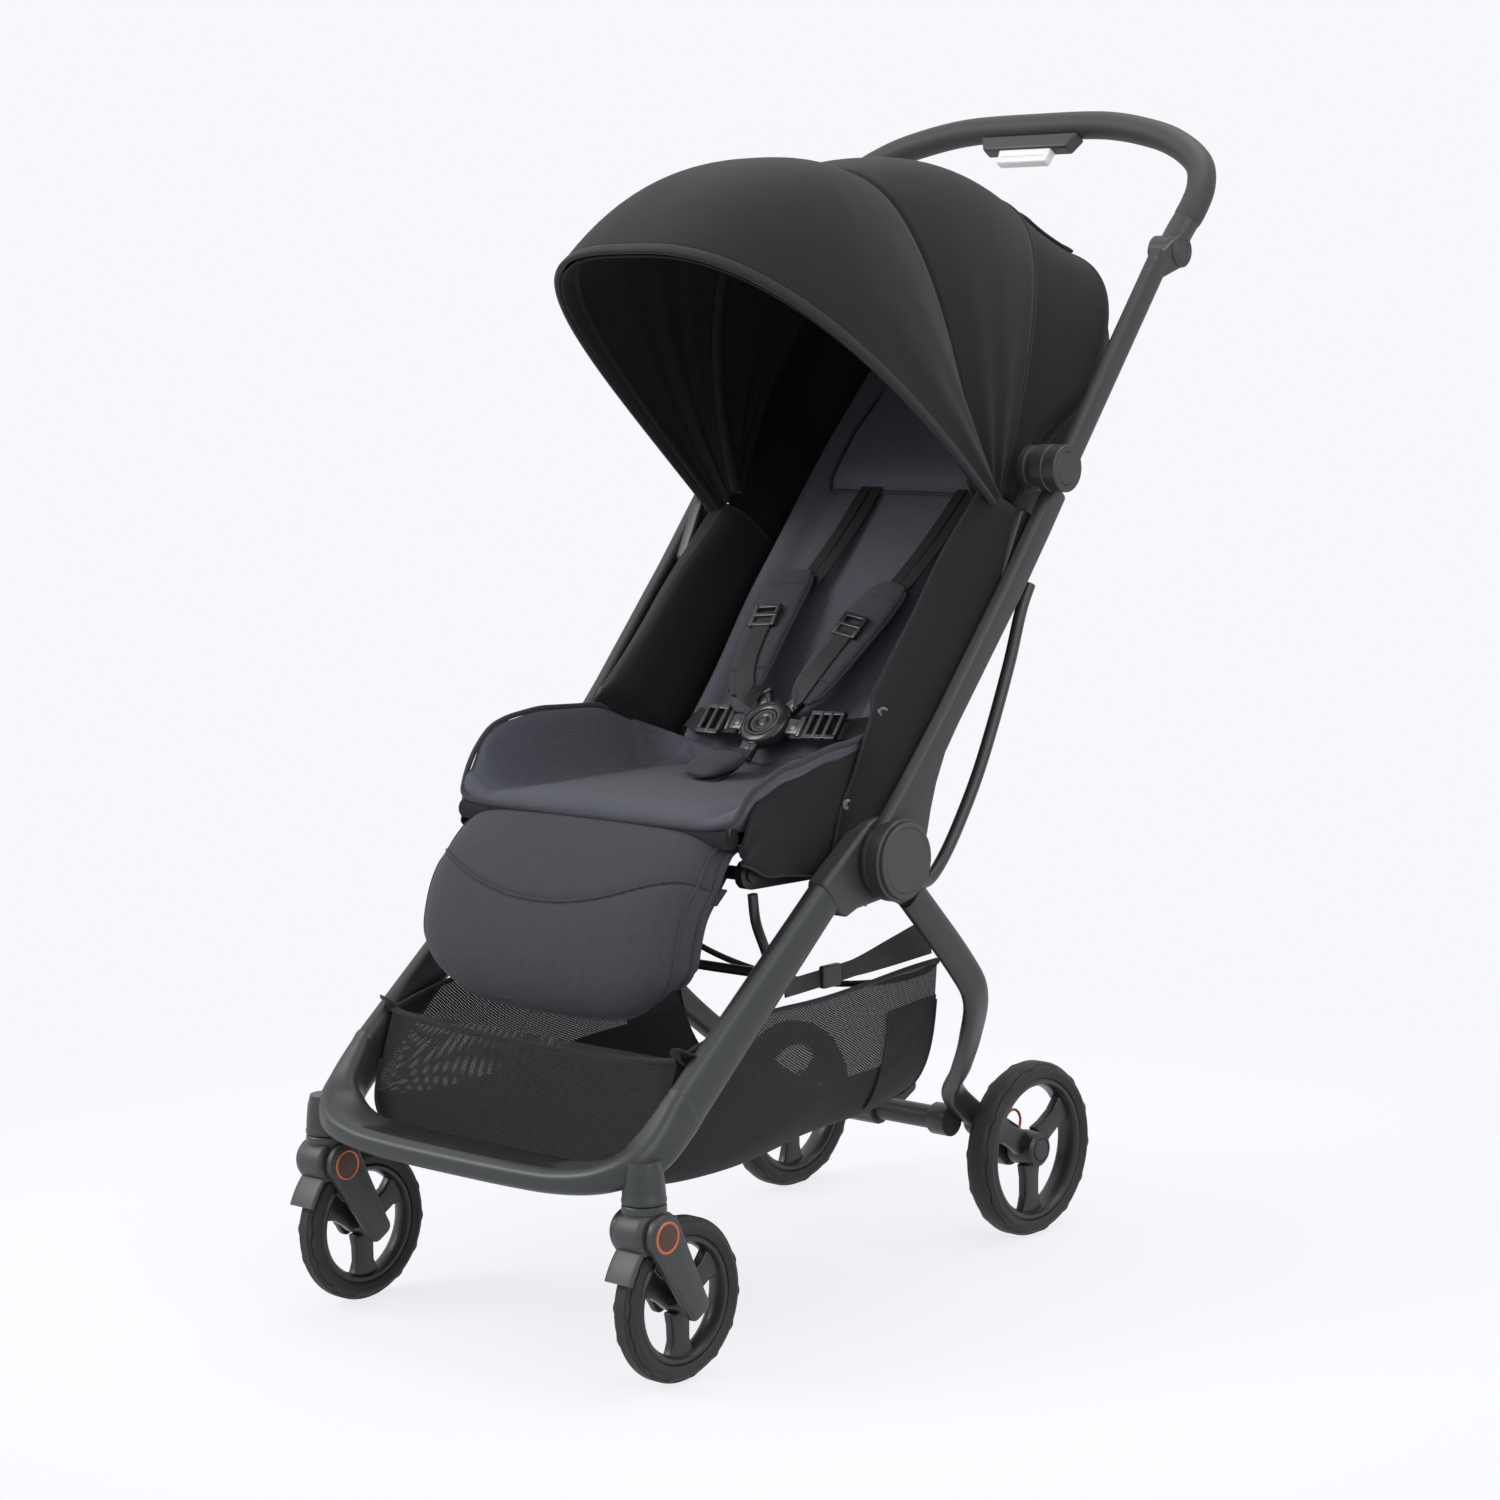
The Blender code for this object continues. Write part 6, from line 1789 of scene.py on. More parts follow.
@dataclass
class FootrestCushion:
    """Padded footrest cover with a curved seam, double-bound lower edge, top piping and tabs."""

    half_width: float = 0.16
    thickness: float = 0.019
    profile: tuple[Pair, ...] = (
        (-0.222, 0.43), (-0.24, 0.43), (-0.262, 0.422), (-0.284, 0.407), (-0.302, 0.385), (-0.313, 0.357),
        (-0.318, 0.326), (-0.312, 0.302), (-0.298, 0.285), (-0.284, 0.28),
    )

    def spine(self) -> list[Vector]:
        """Middle line of the pad in side view, from its top to its lower edge."""
        return spread(smooth_path([(0.0, *key) for key in self.profile], 6), 61)

    def place(self, p: float, share: float, spine: list[Vector]) -> tuple[Vector, Vector]:
        """Mid-sheet point and facing of the pad.

        Args:
            p: Sideways share from -1 to 1.
            share: 0 at the top and 1 at the lower edge.
            spine: The middle line.

        Returns:
            The point and the direction that it faces.
        """
        corner = max(0.0, share - 0.62) / 0.44
        widen = 0.96 + 0.04 * min(1.0, 3 * share)
        x = self.half_width * p * widen * (1 - 0.52 * corner**2.6)
        spot = min(share * (1 - 0.05 * p**4 * share), 1.0) * (len(spine) - 1)
        low = min(int(spot), len(spine) - 2)
        ahead = spine[low + 1] - spine[low]
        normal = Vector((0.0, ahead.z, -ahead.y)).normalized()
        wrap = (0.006 * p * p + 0.026 * abs(p) ** 10) * (0.25 + 0.75 * min(1.0, share / 0.3))
        return Vector((x, 0.0, 0.0)) + spine[low] + ahead * (spot - low) - normal * wrap, normal

    def face(self, p: float, share: float, spine: list[Vector], lift: float) -> Vector:
        """A point on the front face, lifted a little off it."""
        base, normal = self.place(p, share, spine)
        q = 2 * share - 1
        full = max(0.0, (1 - p**10) * (1 - q**12)) ** 0.5
        seam = self.seam(p)
        groove = 0.0024 * math.exp(-(((share - seam) / 0.012) ** 2))
        puff = 0.003 * math.sin(math.pi * min(1.0, max(0.0, (share - seam) / (1 - seam)))) * (1 - p * p)
        return base + normal * ((0.6 * self.thickness + puff - groove) * full + lift)

    @staticmethod
    def seam(p: float) -> float:
        """Share at which the curved seam crosses the face."""
        return 0.285 + 0.215 * (1 - abs(p) ** 2.1)

    def build(self) -> None:
        """Build the cover, its seams, bindings and tabs."""
        spine = self.spine()
        rows = []
        for j in range(61):
            share = j / 60
            q = 2 * share - 1
            front, back = [], []
            for i in range(65):
                p = math.sin(math.pi / 2 * (2 * i / 64 - 1))
                front.append(self.face(p, share, spine, 0.0))
                if 0 < i < 64:
                    base, normal = self.place(p, share, spine)
                    back.append(
                        base - normal * (0.4 * self.thickness * max(0.0, (1 - p**10) * (1 - q**12)) ** 0.5)
                    )
            rows.append([*front, *reversed(back)])
        obj = Maker.surface("footrest_cushion", rows, ring=True, caps=True)
        dress(obj, SLATE_DARK, "footrest", ["footrest_pad"], SOFT_ANGLE)
        shares = [math.sin(math.pi / 2 * (2 * i / 40 - 1)) * 0.975 for i in range(41)]
        seam = [self.face(p, self.seam(p), spine, 0.0016) for p in shares]
        cord("footrest_seam_piping", seam, 0.0014, PIPING, "footrest")
        self.rim("footrest_binding", spine, 0.992, 0.0032)
        self.rim("footrest_inner_binding", spine, 0.945, 0.0016)
        top = [self.face(p, 0.055, spine, 0.001) for p in shares]
        cord("footrest_top_piping", top, 0.0016, PIPING, "footrest")
        for name, side in SIDES:
            base, normal = self.place(side * 0.985, 0.3, spine)
            axes = Matrix((Vector((1, 0, 0)), normal.cross(Vector((1, 0, 0))), normal)).transposed()
            tab = Maker.block(
                f"footrest_tab_{name}",
                base + Vector((side * 0.004, 0, 0)),
                (0.012, 0.018, 0.0022),
                axes,
                0.0008,
            )
            dress(tab, BINDING, "footrest")

    def rim(self, name: str, spine: list[Vector], reach: float, radius: float) -> None:
        """A binding down both sides and round the lower edge.

        Args:
            name: Piece name.
            spine: The middle line.
            reach: Share of the pad's half width and length that it follows.
            radius: Its radius.
        """
        inset = (1 - reach) * 1.4
        lift = 0.0 if reach > 0.98 else 0.0006
        side = [self.face(reach, s, spine, lift) for s in np.linspace(0.08, 1 - inset - 0.06, 34)]
        low = [self.face(reach * math.cos(math.pi * k / 40), 1 - inset, spine, lift) for k in range(3, 38)]
        left = [self.face(-reach, s, spine, lift) for s in np.linspace(1 - inset - 0.06, 0.08, 34)]
        path = spread(smooth_path(spread([*side, *low, *left], 60), 3), 150)
        dress(Maker.tube(name, path, radius, 10), PIPING, "footrest")


@dataclass
class Basket:
    """Net basket with bound rim, dense sides and floor, rear patches and hanging straps."""

    front_y: float = -0.327
    back_y: float = 0.03
    half: float = 0.172
    rim_z: float = 0.261
    back_rim_z: float = 0.288
    floor_z: float = 0.132
    fold_z: float = 0.15
    fold_keep: float = 0.4
    lean: float = 0.038

    def ring(
        self, u: float, out: float = 0.0, low: float = 0.0, high: float = 1.0, count: int = 61
    ) -> list[Vector]:
        """Part of one cross-section, from the right rim under the floor to the left rim.

        Args:
            u: 0 at the front and 1 at the back.
            out: Distance outside the net.
            low: Share of the round where it starts.
            high: Share where it ends.
            count: Number of points.

        Returns:
            The points.
        """
        rim_y = self.front_y + (self.back_y - self.front_y) * u
        rise = math.sin(math.pi / 2 * min(1.0, 2.4 * u))
        rim_z = self.rim_z + (self.back_rim_z - self.rim_z) * rise - 0.008 * math.sin(math.pi * u) ** 2
        floor_y = rim_y - self.lean * (1 - u) ** 2
        sag = 0.0035 * math.sin(9.0 * u + 1.0) * math.sin(math.pi * u)
        floor_z = self.floor_z + (0.03 if u < 0.5 else 0.012) * abs(2 * u - 1) ** 5 + sag
        half = self.half - 0.01 * u
        power = 2 / (6.5 - 2.5 * min(1.0, 1.6 * u))
        row = []
        for i in range(count):
            a = math.pi * (low + (high - low) * i / (count - 1))
            c, s = math.cos(a), math.sin(a)
            drop = abs(s) ** power
            slack = 0.0022 * math.sin(7 * a + 11 * u) * math.sin(math.pi * u) * s
            x = (
                half - (0.002 + 0.01 * min(1.0, 2 * u)) * drop + out
            ) * math.copysign(abs(c) ** power, c) + slack * c
            z = rim_z + (floor_z - rim_z) * drop - out * abs(s) ** 3
            row.append(Vector((x, rim_y + (floor_y - rim_y) * drop, z)))
        return row

    def end(self, u: float, out: float, steps: int) -> Rows:
        """Rows that close one end of the basket, from the rim line down to its ring.

        Args:
            u: 0 for the front end and 1 for the back end.
            out: Distance outside the net.
            steps: Number of rows.

        Returns:
            The rows, from the top down.
        """
        ring = self.ring(u, out)
        top_z, rows = ring[0].z, []
        for j in range(steps + 1):
            share = j / steps
            row = []
            for p in ring:
                y = ring[0].y + (p.y - ring[0].y) * share
                row.append(Vector((p.x * (0.9 + 0.1 * share), y, top_z + (p.z - top_z) * share)))
            rows.append(row)
        return rows

    def cloth(self, name: str, rows: Rows, finish: Finish, nodes: Sequence[str] = ()) -> None:
        """Sew one panel of the basket."""
        obj = Maker.surface(name, rows, turn=False)
        dress(obj, finish, "front_frame", nodes, SOFT_ANGLE)
        sink(obj, self.fold_z, self.fold_keep)
        declare_sheet(obj, rows)

    def trim(self, name: str, path: Sequence[Vector], radius: float, finish: Finish) -> None:
        """A bound edge or seam."""
        obj = Maker.tube(name, spread(path, 120), radius, 8)
        dress(obj, finish, "front_frame")
        sink(obj, self.fold_z, self.fold_keep)

    def build(self) -> None:
        """Sew the basket and hang it."""
        self.cloth("basket_net", [self.ring(j / 32) for j in range(33)], SIDE_NET, ["basket"])
        self.cloth("basket_front_net", self.end(0.0, 0.0, 10), NET)
        self.cloth("basket_floor", [self.ring(j / 24, -0.0012, 0.1, 0.9) for j in range(25)], BLACK_CLOTH)
        for name, low, high in (("right", 0.015, 0.24), ("left", 0.985, 0.76)):
            self.cloth(
                f"basket_patch_{name}",
                [self.ring(0.8 + 0.2 * j / 10, 0.0012, low, high, 25) for j in range(11)],
                BLACK_CLOTH,
            )
        right = [self.ring(u)[0] for u in np.linspace(0, 1, 40)]
        left = [self.ring(u)[-1] for u in np.linspace(1, 0, 40)]
        self.trim("basket_side_rim_right", right, 0.0024, BINDING)
        self.trim("basket_side_rim_left", left, 0.0024, BINDING)
        for name, u, slack in (("front", 0.0, 0.01), ("back", 1.0, 0.038)):
            ends = self.ring(u)
            sag = [
                ends[0].lerp(ends[-1], s) - Vector((0, 0, slack * math.sin(math.pi * s) ** 0.6))
                for s in np.linspace(0, 1, 30)
            ]
            self.trim(f"basket_{name}_rim", sag, 0.003, BINDING)
            self.trim(f"basket_{name}_seam", self.ring(u, 0.0006, 0.02, 0.98), 0.0018, BINDING)
        self.trim("basket_patch_seam_right", self.ring(0.8, 0.0022, 0.015, 0.24), 0.0012, BINDING)
        self.trim("basket_patch_seam_left", self.ring(0.8, 0.0022, 0.985, 0.76), 0.0012, BINDING)
        for name, side in SIDES:
            self.straps(name, side)

    def straps(self, name: str, side: int) -> None:
        """Side strap with its buckle, and the loop that holds the basket's front corner."""
        keys = ((-0.196, 0.3), (-0.16, 0.2985), (-0.095, 0.3015), (-0.045, 0.307), (0.01, 0.314))
        path = smooth_path([(side * (0.176 if y < -0.17 else 0.168), y, z) for y, z in keys], 5)
        widths = (0.015, 0.015, 0.015, 0.024, 0.033)
        strap = Maker.ribbon(f"basket_strap_{name}", path, Vector((side, 0, 0.1)), widths, 0.0018)
        dress(strap, WEBBING, "front_frame")
        axes = Matrix((Vector((0, 1, 0)), UP, Vector((1, 0, 0)))).transposed()
        place = Vector((side * 0.169, -0.128, 0.3))
        buckle = Maker.block(f"basket_strap_buckle_{name}", place, (0.024, 0.02, 0.007), axes, 0.0022)
        dress(buckle, BLACK_PLASTIC, "front_frame")
        corner = self.ring(0.0)[0 if side > 0 else -1]
        hook = [corner, corner + Vector((side * 0.006, -0.004, 0.006)), Vector((side * 0.182, -0.312, 0.262))]
        loop = Maker.ribbon(
            f"basket_corner_loop_{name}", smooth_path(hook, 4), Vector((0, 1, 0.4)), 0.016, 0.0018
        )
        dress(loop, WEBBING, "front_frame")


@dataclass(frozen=True)
class Wheel:
    """A wheel: tread with wavy shoulders, dished three-spoke rim and hub cap."""

    end: str
    name: str
    x: float
    axle: Pair
    radius: float
    width: float
    body: str
    hub: float

    def tyre(self) -> None:
        """Tyre with a wavy line between its tread and its shoulders."""
        half, top = self.width / 2, self.radius
        bead = top - 0.015
        rows = []
        steps = 192
        for i in range(steps):
            a = 2 * math.pi * i / steps
            wave = 0.0011 * math.sin(14 * a) + 0.0006 * math.sin(28 * a + 0.8)
            one = [
                (bead, -half + 0.0032), (bead + 0.0026, -half + 0.001), (bead + 0.0066, -half),
                (top - 0.0068, -half + 0.0006), (top - 0.0046, -half + 0.0018),
                (top - 0.0034, -half + 0.0032 + wave), (top - 0.0044, -half + 0.0041 + wave),
                (top - 0.002, -half + 0.005 + wave), (top - 0.0008, -half + 0.0072), (top, -half * 0.38),
            ]
            profile = [*one, *[(r, -x) for r, x in reversed(one)]]
            c, s = math.cos(a), math.sin(a)
            rows.append(
                [Vector((self.x + x, self.axle[0] + r * c, self.axle[1] + r * s)) for r, x in profile]
            )
        obj = Maker.surface(f"{self.end}_wheel_tyre_{self.name}", rows, ring=True, loop=True)
        dress(obj, RUBBER, self.body, [f"{self.end}_tyre_{self.name}"], 30.0)

    def rim(self) -> None:
        """Dished rim ring, three wide spokes and hub."""
        half, seat = self.width / 2, self.radius - 0.0153
        ring = (
            (seat, -half + 0.0036), (seat, half - 0.0036), (seat - 0.0022, half - 0.0022),
            (seat - 0.0048, half - 0.003), (seat - 0.0074, half - 0.0075), (seat - 0.0078, 0.0),
            (seat - 0.0074, -half + 0.0075), (seat - 0.0048, -half + 0.003), (seat - 0.0022, -half + 0.0022),
        )
        parts = [Maker.lathe("ring", ring, self.axle, self.x, 128)]
        hub = (
            (0.0, -half - 0.0006), (self.hub - 0.0024, -half - 0.0006), (self.hub, -half + 0.0016),
            (self.hub + 0.0012, 0.0), (self.hub, half - 0.0016), (self.hub - 0.0024, half + 0.0006),
            (self.hub - 0.004, half + 0.0006), (self.hub - 0.0046, half - 0.0004),
            (self.hub - 0.0056, half - 0.0004), (self.hub - 0.0064, half + 0.0012), (0.0, half + 0.0016),
        )
        parts.append(Maker.lathe("hub", hub, self.axle, self.x, 64))
        reach = seat - 0.006
        for k in range(3):
            turn = math.radians(90 + 60 + 120 * k)
            keys = (
                (self.hub - 0.002, 0.0125), (reach * 0.45, 0.01), (reach * 0.72, 0.0098),
                (reach * 0.9, 0.013), (reach + 0.003, 0.019),
            )
            outline = [along(self.axle, turn, r, w) for r, w in keys]
            outline += [along(self.axle, turn, r, -w) for r, w in reversed(keys)]
            parts.append(Maker.plate("spoke", outline, self.x - 0.0052, self.x + 0.0052, 0.0022, 3))
        obj = Maker.unite(f"{self.end}_wheel_rim_{self.name}", parts)
        dress(obj, BLACK_PLASTIC, self.body, [f"{self.end}_rim_{self.name}"], MOULD_ANGLE)

    def build(self) -> None:
        """Build the tyre and the rim."""
        self.tyre()
        self.rim()


@dataclass
class Caster:
    """Swivelling head, two-armed fork, copper rings and front wheel."""

    x: float = 0.192
    y: float = -0.392
    pivot: Pair = (-0.391, 0.1325)
    seam_z: float = 0.158
    disc: float = 0.0185
    gap: float = 0.016
    arm: float = 0.0075

    def head(self, name: str, middle: float) -> None:
        """Collar under the socket, body round the pivot barrel, and guard over the tyre."""
        collar = (
            (0.0, self.seam_z - 0.0006), (0.0176, self.seam_z - 0.0006), (0.0186, self.seam_z - 0.0018),
            (0.0186, self.seam_z - 0.0066), (0.0178, self.seam_z - 0.0076), (0.018, self.seam_z - 0.015),
            (0.0, self.seam_z - 0.015),
        )
        parts = [Maker.turned("collar", collar, Vector((middle, self.y, 0.0)), UP, 48)]
        front = arc((self.pivot[0] - 0.005, self.pivot[1] + 0.001), 0.02, 95, 215, 12)
        under = [(-0.406, 0.117), (-0.396, 0.118), (-0.38, 0.13)]
        rear = arc((self.pivot[0] + 0.012, self.pivot[1] + 0.007), 0.01, -20, 80, 8)
        parts.append(
            Maker.plate("body", [*front, *under, *rear], middle - 0.0152, middle + 0.0152, 0.0048, 4)
        )
        rod = self.disc - 0.001
        parts.append(Maker.lathe("barrel", rod_of(rod, -0.0156, 0.0156), self.pivot, middle, 48))
        guard = []
        for degrees in np.linspace(100, 158, 20):
            a = math.radians(degrees)
            guard.append(Vector((middle, *along(PLAN.front_axle, a, 0.0745))))
        ups = [g - Vector((middle, *PLAN.front_axle)) for g in guard]
        parts.append(Maker.sweep("guard", guard, [oval(0.015, 0.0024, 4.0, 20)], ups))
        obj = Maker.unite(f"caster_swivel_head_{name}", parts)
        dress(obj, PLASTIC, f"caster_{name}", [f"caster_head_{name}"], MOULD_ANGLE)

    def outline(self, first: float, second: float) -> list[Pair]:
        """Outline of a fork arm: round at its pivot, tapering to a squared-off tip.

        Args:
            first: Radius at the pivot.
            second: Half width at the axle.

        Returns:
            The outline as (y, z).
        """
        heading = math.degrees(
            math.atan2(PLAN.front_axle[1] - self.pivot[1], PLAN.front_axle[0] - self.pivot[0])
        )
        turn = math.radians(heading)
        top = arc(self.pivot, first, heading + 84, heading + 276, 26)
        length = math.dist(self.pivot, PLAN.front_axle)
        low = []
        for a in np.linspace(-90, 90, 19):
            c, s = math.cos(math.radians(a)), math.sin(math.radians(a))
            run = length + second * math.copysign(abs(c) ** 0.55, c)
            low.append(along(self.pivot, turn, run, second * math.copysign(abs(s) ** 0.55, s)))
        return [*top, *low]

    def fork(self, name: str, side: int, middle: float) -> None:
        """Two arms with raised faces, axle ends and copper rings."""
        body = f"fork_{name}"
        parts = []
        for way in (-1, 1):
            near, far = middle + way * self.gap, middle + way * (self.gap + self.arm)
            parts.append(Maker.plate("arm", self.outline(self.disc, 0.0125), near, far, 0.0018, 3))
            raised = self.outline(self.disc - 0.0022, 0.01)
            parts.append(Maker.plate("face", raised, far - 0.002, far + 0.0009, 0.0008, 2))
        rod = rod_of(0.0046, -self.gap - 0.002, self.gap + 0.002)
        parts.append(Maker.lathe("axle", rod, PLAN.front_axle, middle, 24))
        nut = rod_of(0.0088, self.gap + 0.0015, self.gap - 0.0006)
        parts.append(Maker.lathe("bush", nut, PLAN.front_axle, middle, 32, -1))
        dress(
            Maker.unite(f"caster_fork_arms_{name}", parts),
            PLASTIC,
            body,
            [f"caster_fork_{name}"],
            MOULD_ANGLE,
        )
        for end, way in (("inner", -side), ("outer", side)):
            face = way * (self.gap + self.arm + 0.0009)
            profile = ring_of(0.0124, 0.0013, 0.0011, face)
            ring = Maker.lathe(f"caster_copper_ring_{name}_{end}", profile, self.pivot, middle, 64)
            dress(ring, COPPER, body, [f"caster_ring_{name}_{end}"])
            edge = ((0.0, -0.001), (0.0114, -0.001), (0.0114, 0.0002), (0.01, 0.0005), (0.0, 0.0005))
            profile = [(r, face + way * out) for r, out in edge]
            disc = Maker.lathe(f"caster_ring_disc_{name}_{end}", profile, self.pivot, middle, 48)
            dress(disc, COPPER_DARK, body)

    def build(self) -> None:
        """Build both casters and all four wheels."""
        for name, side in SIDES:
            self.head(name, side * self.x)
            self.fork(name, side, side * self.x)
            front, rear = f"front_wheel_{name}", f"rear_wheel_{name}"
            Wheel("front", name, side * self.x, PLAN.front_axle, 0.069, 0.024, front, 0.011).build()
            Wheel("rear", name, side * 0.149, PLAN.rear_axle, 0.0825, 0.029, rear, 0.016).build()
            ring = ring_of(0.0124, 0.0014, 0.0012)
            block = Maker.lathe(f"rear_block_ring_{name}", ring, (0.18, 0.1045), side * 0.1318, 48)
            dress(block, COPPER, "rear_frame")


def rod_of(radius: float, start: float, end: float) -> tuple[Pair, ...]:
    """Profile of a plain rod from one end to the other."""
    return ((0.0, start), (radius, start), (radius, end), (0.0, end))


def ring_of(radius: float, wide: float, high: float, x: float = 0.0) -> list[Pair]:
    """Profile of a round ring."""
    turns = np.linspace(0, 2 * math.pi, 13)[:-1]
    return [(radius + wide * math.cos(a), x + high * math.sin(a)) for a in turns]


def link_shape(
    first: Pair, first_radius: float, second: Pair, second_radius: float, count: int = 18
) -> list[Pair]:
    """Outline of a flat link with two round ends.

    Args:
        first: Centre of the first end, as (y, z).
        first_radius: Its radius.
        second: Centre of the second end.
        second_radius: Its radius.
        count: Points round each end.

    Returns:
        The outline.
    """
    heading = math.degrees(math.atan2(second[1] - first[1], second[0] - first[0]))
    one = arc(first, first_radius, heading + 90, heading + 270, count)
    return [*one, *arc(second, second_radius, heading - 90, heading + 90, count)]


@dataclass
class Chassis:
    """Foot bar, front legs, hubs, push tubes, stays, upper tubes and rear legs."""

    leg_x: float = 0.1887
    leg_seam: Pair = (-0.159, 0.3745)
    leg_end: Pair = (-0.336, 0.227)
    bar: Pair = (-0.4035, 0.1665)
    hub_radius: float = 0.0365

    def drop(self) -> float:
        """Heading of the front leg, in radians."""
        return math.atan2(self.leg_end[1] - self.leg_seam[1], self.leg_end[0] - self.leg_seam[0])

    def foot_bar(self) -> None:
        """Foot bar with its two caster sockets and the ribbed tread."""
        x, start = self.leg_x, along(self.leg_end, self.drop(), 0.0003)
        half = [
            (x, *start), (x, *along(start, self.drop(), 0.012)), (x - 0.003, -0.371, 0.1975),
            (x - 0.013, -0.388, 0.1845), (x - 0.036, -0.3985, 0.1745), (x - 0.072, -0.4025, 0.169),
            (x - 0.12, -0.4035, 0.167),
        ]
        mirrored = [(-px, y, z) for px, y, z in reversed(half)]
        path = smooth_path([*half, (0.0, *self.bar), *mirrored], 8)
        wide = [0.0107, 0.0112, 0.015, 0.0205, 0.024, 0.0255, 0.0255, 0.0255]
        high = [0.0215, 0.0205, 0.0175, 0.0145, 0.0125, 0.0115, 0.0115, 0.0115]
        wide, high = wide + wide[-2::-1], high + high[-2::-1]
        last = len(path) - 1
        sections = [oval(keyed(wide, i / last), keyed(high, i / last), 3.2, 36) for i in range(last + 1)]
        parts = [Maker.sweep("bar", path, sections, UP)]
        socket = (
            (0.0, 0.1583), (0.018, 0.1583), (0.0187, 0.159), (0.0187, 0.1622), (0.0181, 0.1632),
            (0.0178, 0.17), (0.0165, 0.183), (0.014, 0.193), (0.0, 0.193),
        )
        for _, side in SIDES:
            parts.append(Maker.turned("socket", socket, Vector((side * 0.192, -0.392, 0.0)), UP, 48))
        dress(Maker.unite("foot_bar_moulding", parts), FRAME_COAT, "front_frame", ["foot_bar"], MOULD_ANGLE)
        self.tread()

    def tread(self) -> None:
        """Fine ribs across the top of the foot bar."""
        rows, pitch = [], 0.0027
        count = 96
        for k in range(count):
            x = (k - (count - 1) / 2) * pitch
            bend = 0.0018 * (x / 0.13) ** 2
            for aside, rise in ((-0.0009, 0.0), (-0.0006, 0.001), (0.0006, 0.001), (0.0009, 0.0)):
                top, low = self.bar[1] + 0.0112 + bend + rise, self.bar[1] + 0.0085 + bend
                row = [
                    (-0.015, low), (-0.015, top - 0.0004), (-0.012, top), (0.015, top),
                    (0.0185, top - 0.0008), (0.0185, low)
                ]
                rows.append([Vector((x + aside, self.bar[0] + y, z)) for y, z in row])
        tread = Maker.surface("foot_bar_tread", rows, ring=True, caps=True)
        dress(tread, BLACK_PLASTIC, "front_frame", (), 25.0)

    def front_side(self, name: str, side: int) -> None:
        """Front leg and hub housing of one side."""
        start, end = Vector((side * self.leg_x, *self.leg_seam)), Vector((side * self.leg_x, *self.leg_end))
        path = [start.lerp(end, i / 12) for i in range(13)]
        sections = [oval(0.0107, 0.0175 + 0.004 * i / 12, 2.6, 40) for i in range(13)]
        leg = Maker.sweep(f"front_leg_tube_{name}", path, sections, UP)
        dress(leg, FRAME_COAT, "front_frame", [f"front_leg_{name}"])
        seam = along(self.leg_seam, self.drop(), -0.0003)
        top, bottom = along(seam, self.drop(), 0.0, -0.0177), along(seam, self.drop(), 0.0, 0.0177)
        outline = [
            *arc(PLAN.hub, self.hub_radius, 128, -82, 40), (-0.124, 0.361), (-0.138, 0.356), bottom, top
        ]
        housing = Maker.plate(f"hub_housing_cover_{name}", outline, side * 0.178, side * 0.1994, 0.0042, 5)
        dress(housing, PLASTIC, "front_frame", [f"hub_housing_{name}"])

    def push_side(self, name: str, side: int) -> None:
        """Push tube with both hub drums, the hub cover, the stay and the canopy mount."""
        front = (
            (0.39, 0.035), (0.35, 0.033), (0.28, 0.03), (0.14, 0.0285), (0.09, 0.0296), (0.05, 0.0312),
            (0.02, 0.0338)
        )
        back = (
            (0.0, -0.034), (0.015, -0.03), (0.03, -0.0262), (0.043, -0.022), (0.062, -0.0125),
            (0.083, -0.004), (0.11, 0.003), (0.14, 0.0045), (0.28, 0.0055), (0.35, 0.0085), (0.39, 0.011),
        )
        outline = [tuple(PLAN.push(0, t, n))[1:] for t, n in (*front, (0.0, 0.034), *back)]
        parts = [Maker.plate("tube", outline, side * 0.2, side * 0.2144, 0.0052, 5)]
        drum = (
            (0.0, 0.207), (0.035, 0.207), (0.0365, 0.2085), (0.0365, 0.221), (0.035, 0.2226), (0.0, 0.2226)
        )
        parts.append(Maker.lathe("drum", drum, PLAN.hub, 0.0, 96, side))
        step = (
            (0.0, 0.186), (0.0193, 0.186), (0.0203, 0.187), (0.0203, 0.193), (0.0186, 0.194),
            (0.0186, 0.1988), (0.0203, 0.1996), (0.0215, 0.201), (0.0215, 0.2134), (0.0203, 0.2146),
            (0.0, 0.2146),
        )
        parts.append(Maker.lathe("upper", step, PLAN.upper_hub, 0.0, 72, side))
        dress(Maker.unite(f"push_tube_drums_{name}", parts), FRAME_COAT, "push_frame", [f"push_tube_{name}"])
        cover = (
            (0.0, 0.2228), (0.033, 0.2228), (0.033, 0.2251), (0.032, 0.2262), (0.0292, 0.2263),
            (0.0285, 0.2256), (0.0278, 0.2263), (0.0, 0.2263),
        )
        lid = Maker.lathe(f"hub_cover_disc_{name}", cover, PLAN.hub, 0.0, 96, side)
        dress(lid, COVER_PLASTIC, "push_frame", [f"hub_cover_{name}"])
        keys = (
            (0.3, -0.0019), (0.274, -0.0075), (0.229, -0.0243), (0.171, -0.0415), (0.122, -0.0529),
            (0.074, -0.059), (0.04, -0.06),
        )
        route = [PLAN.push(side * 0.2072, t, n) for t, n in keys]
        route += [PLAN.push(side * x, t, n) for x, t, n in ((0.2105, 0.014, -0.052), (0.215, -0.002, -0.034))]
        path = smooth_path(route, 8)
        stay = Maker.tube(f"back_stay_tube_{name}", path, 0.0056, 20)
        dress(stay, FRAME_COAT, "push_frame", [f"back_stay_{name}"])
        ends = [tuple(PLAN.push(0, t, n))[1:] for t, n in ((0.346, 0.03), (0.296, 0.018))]
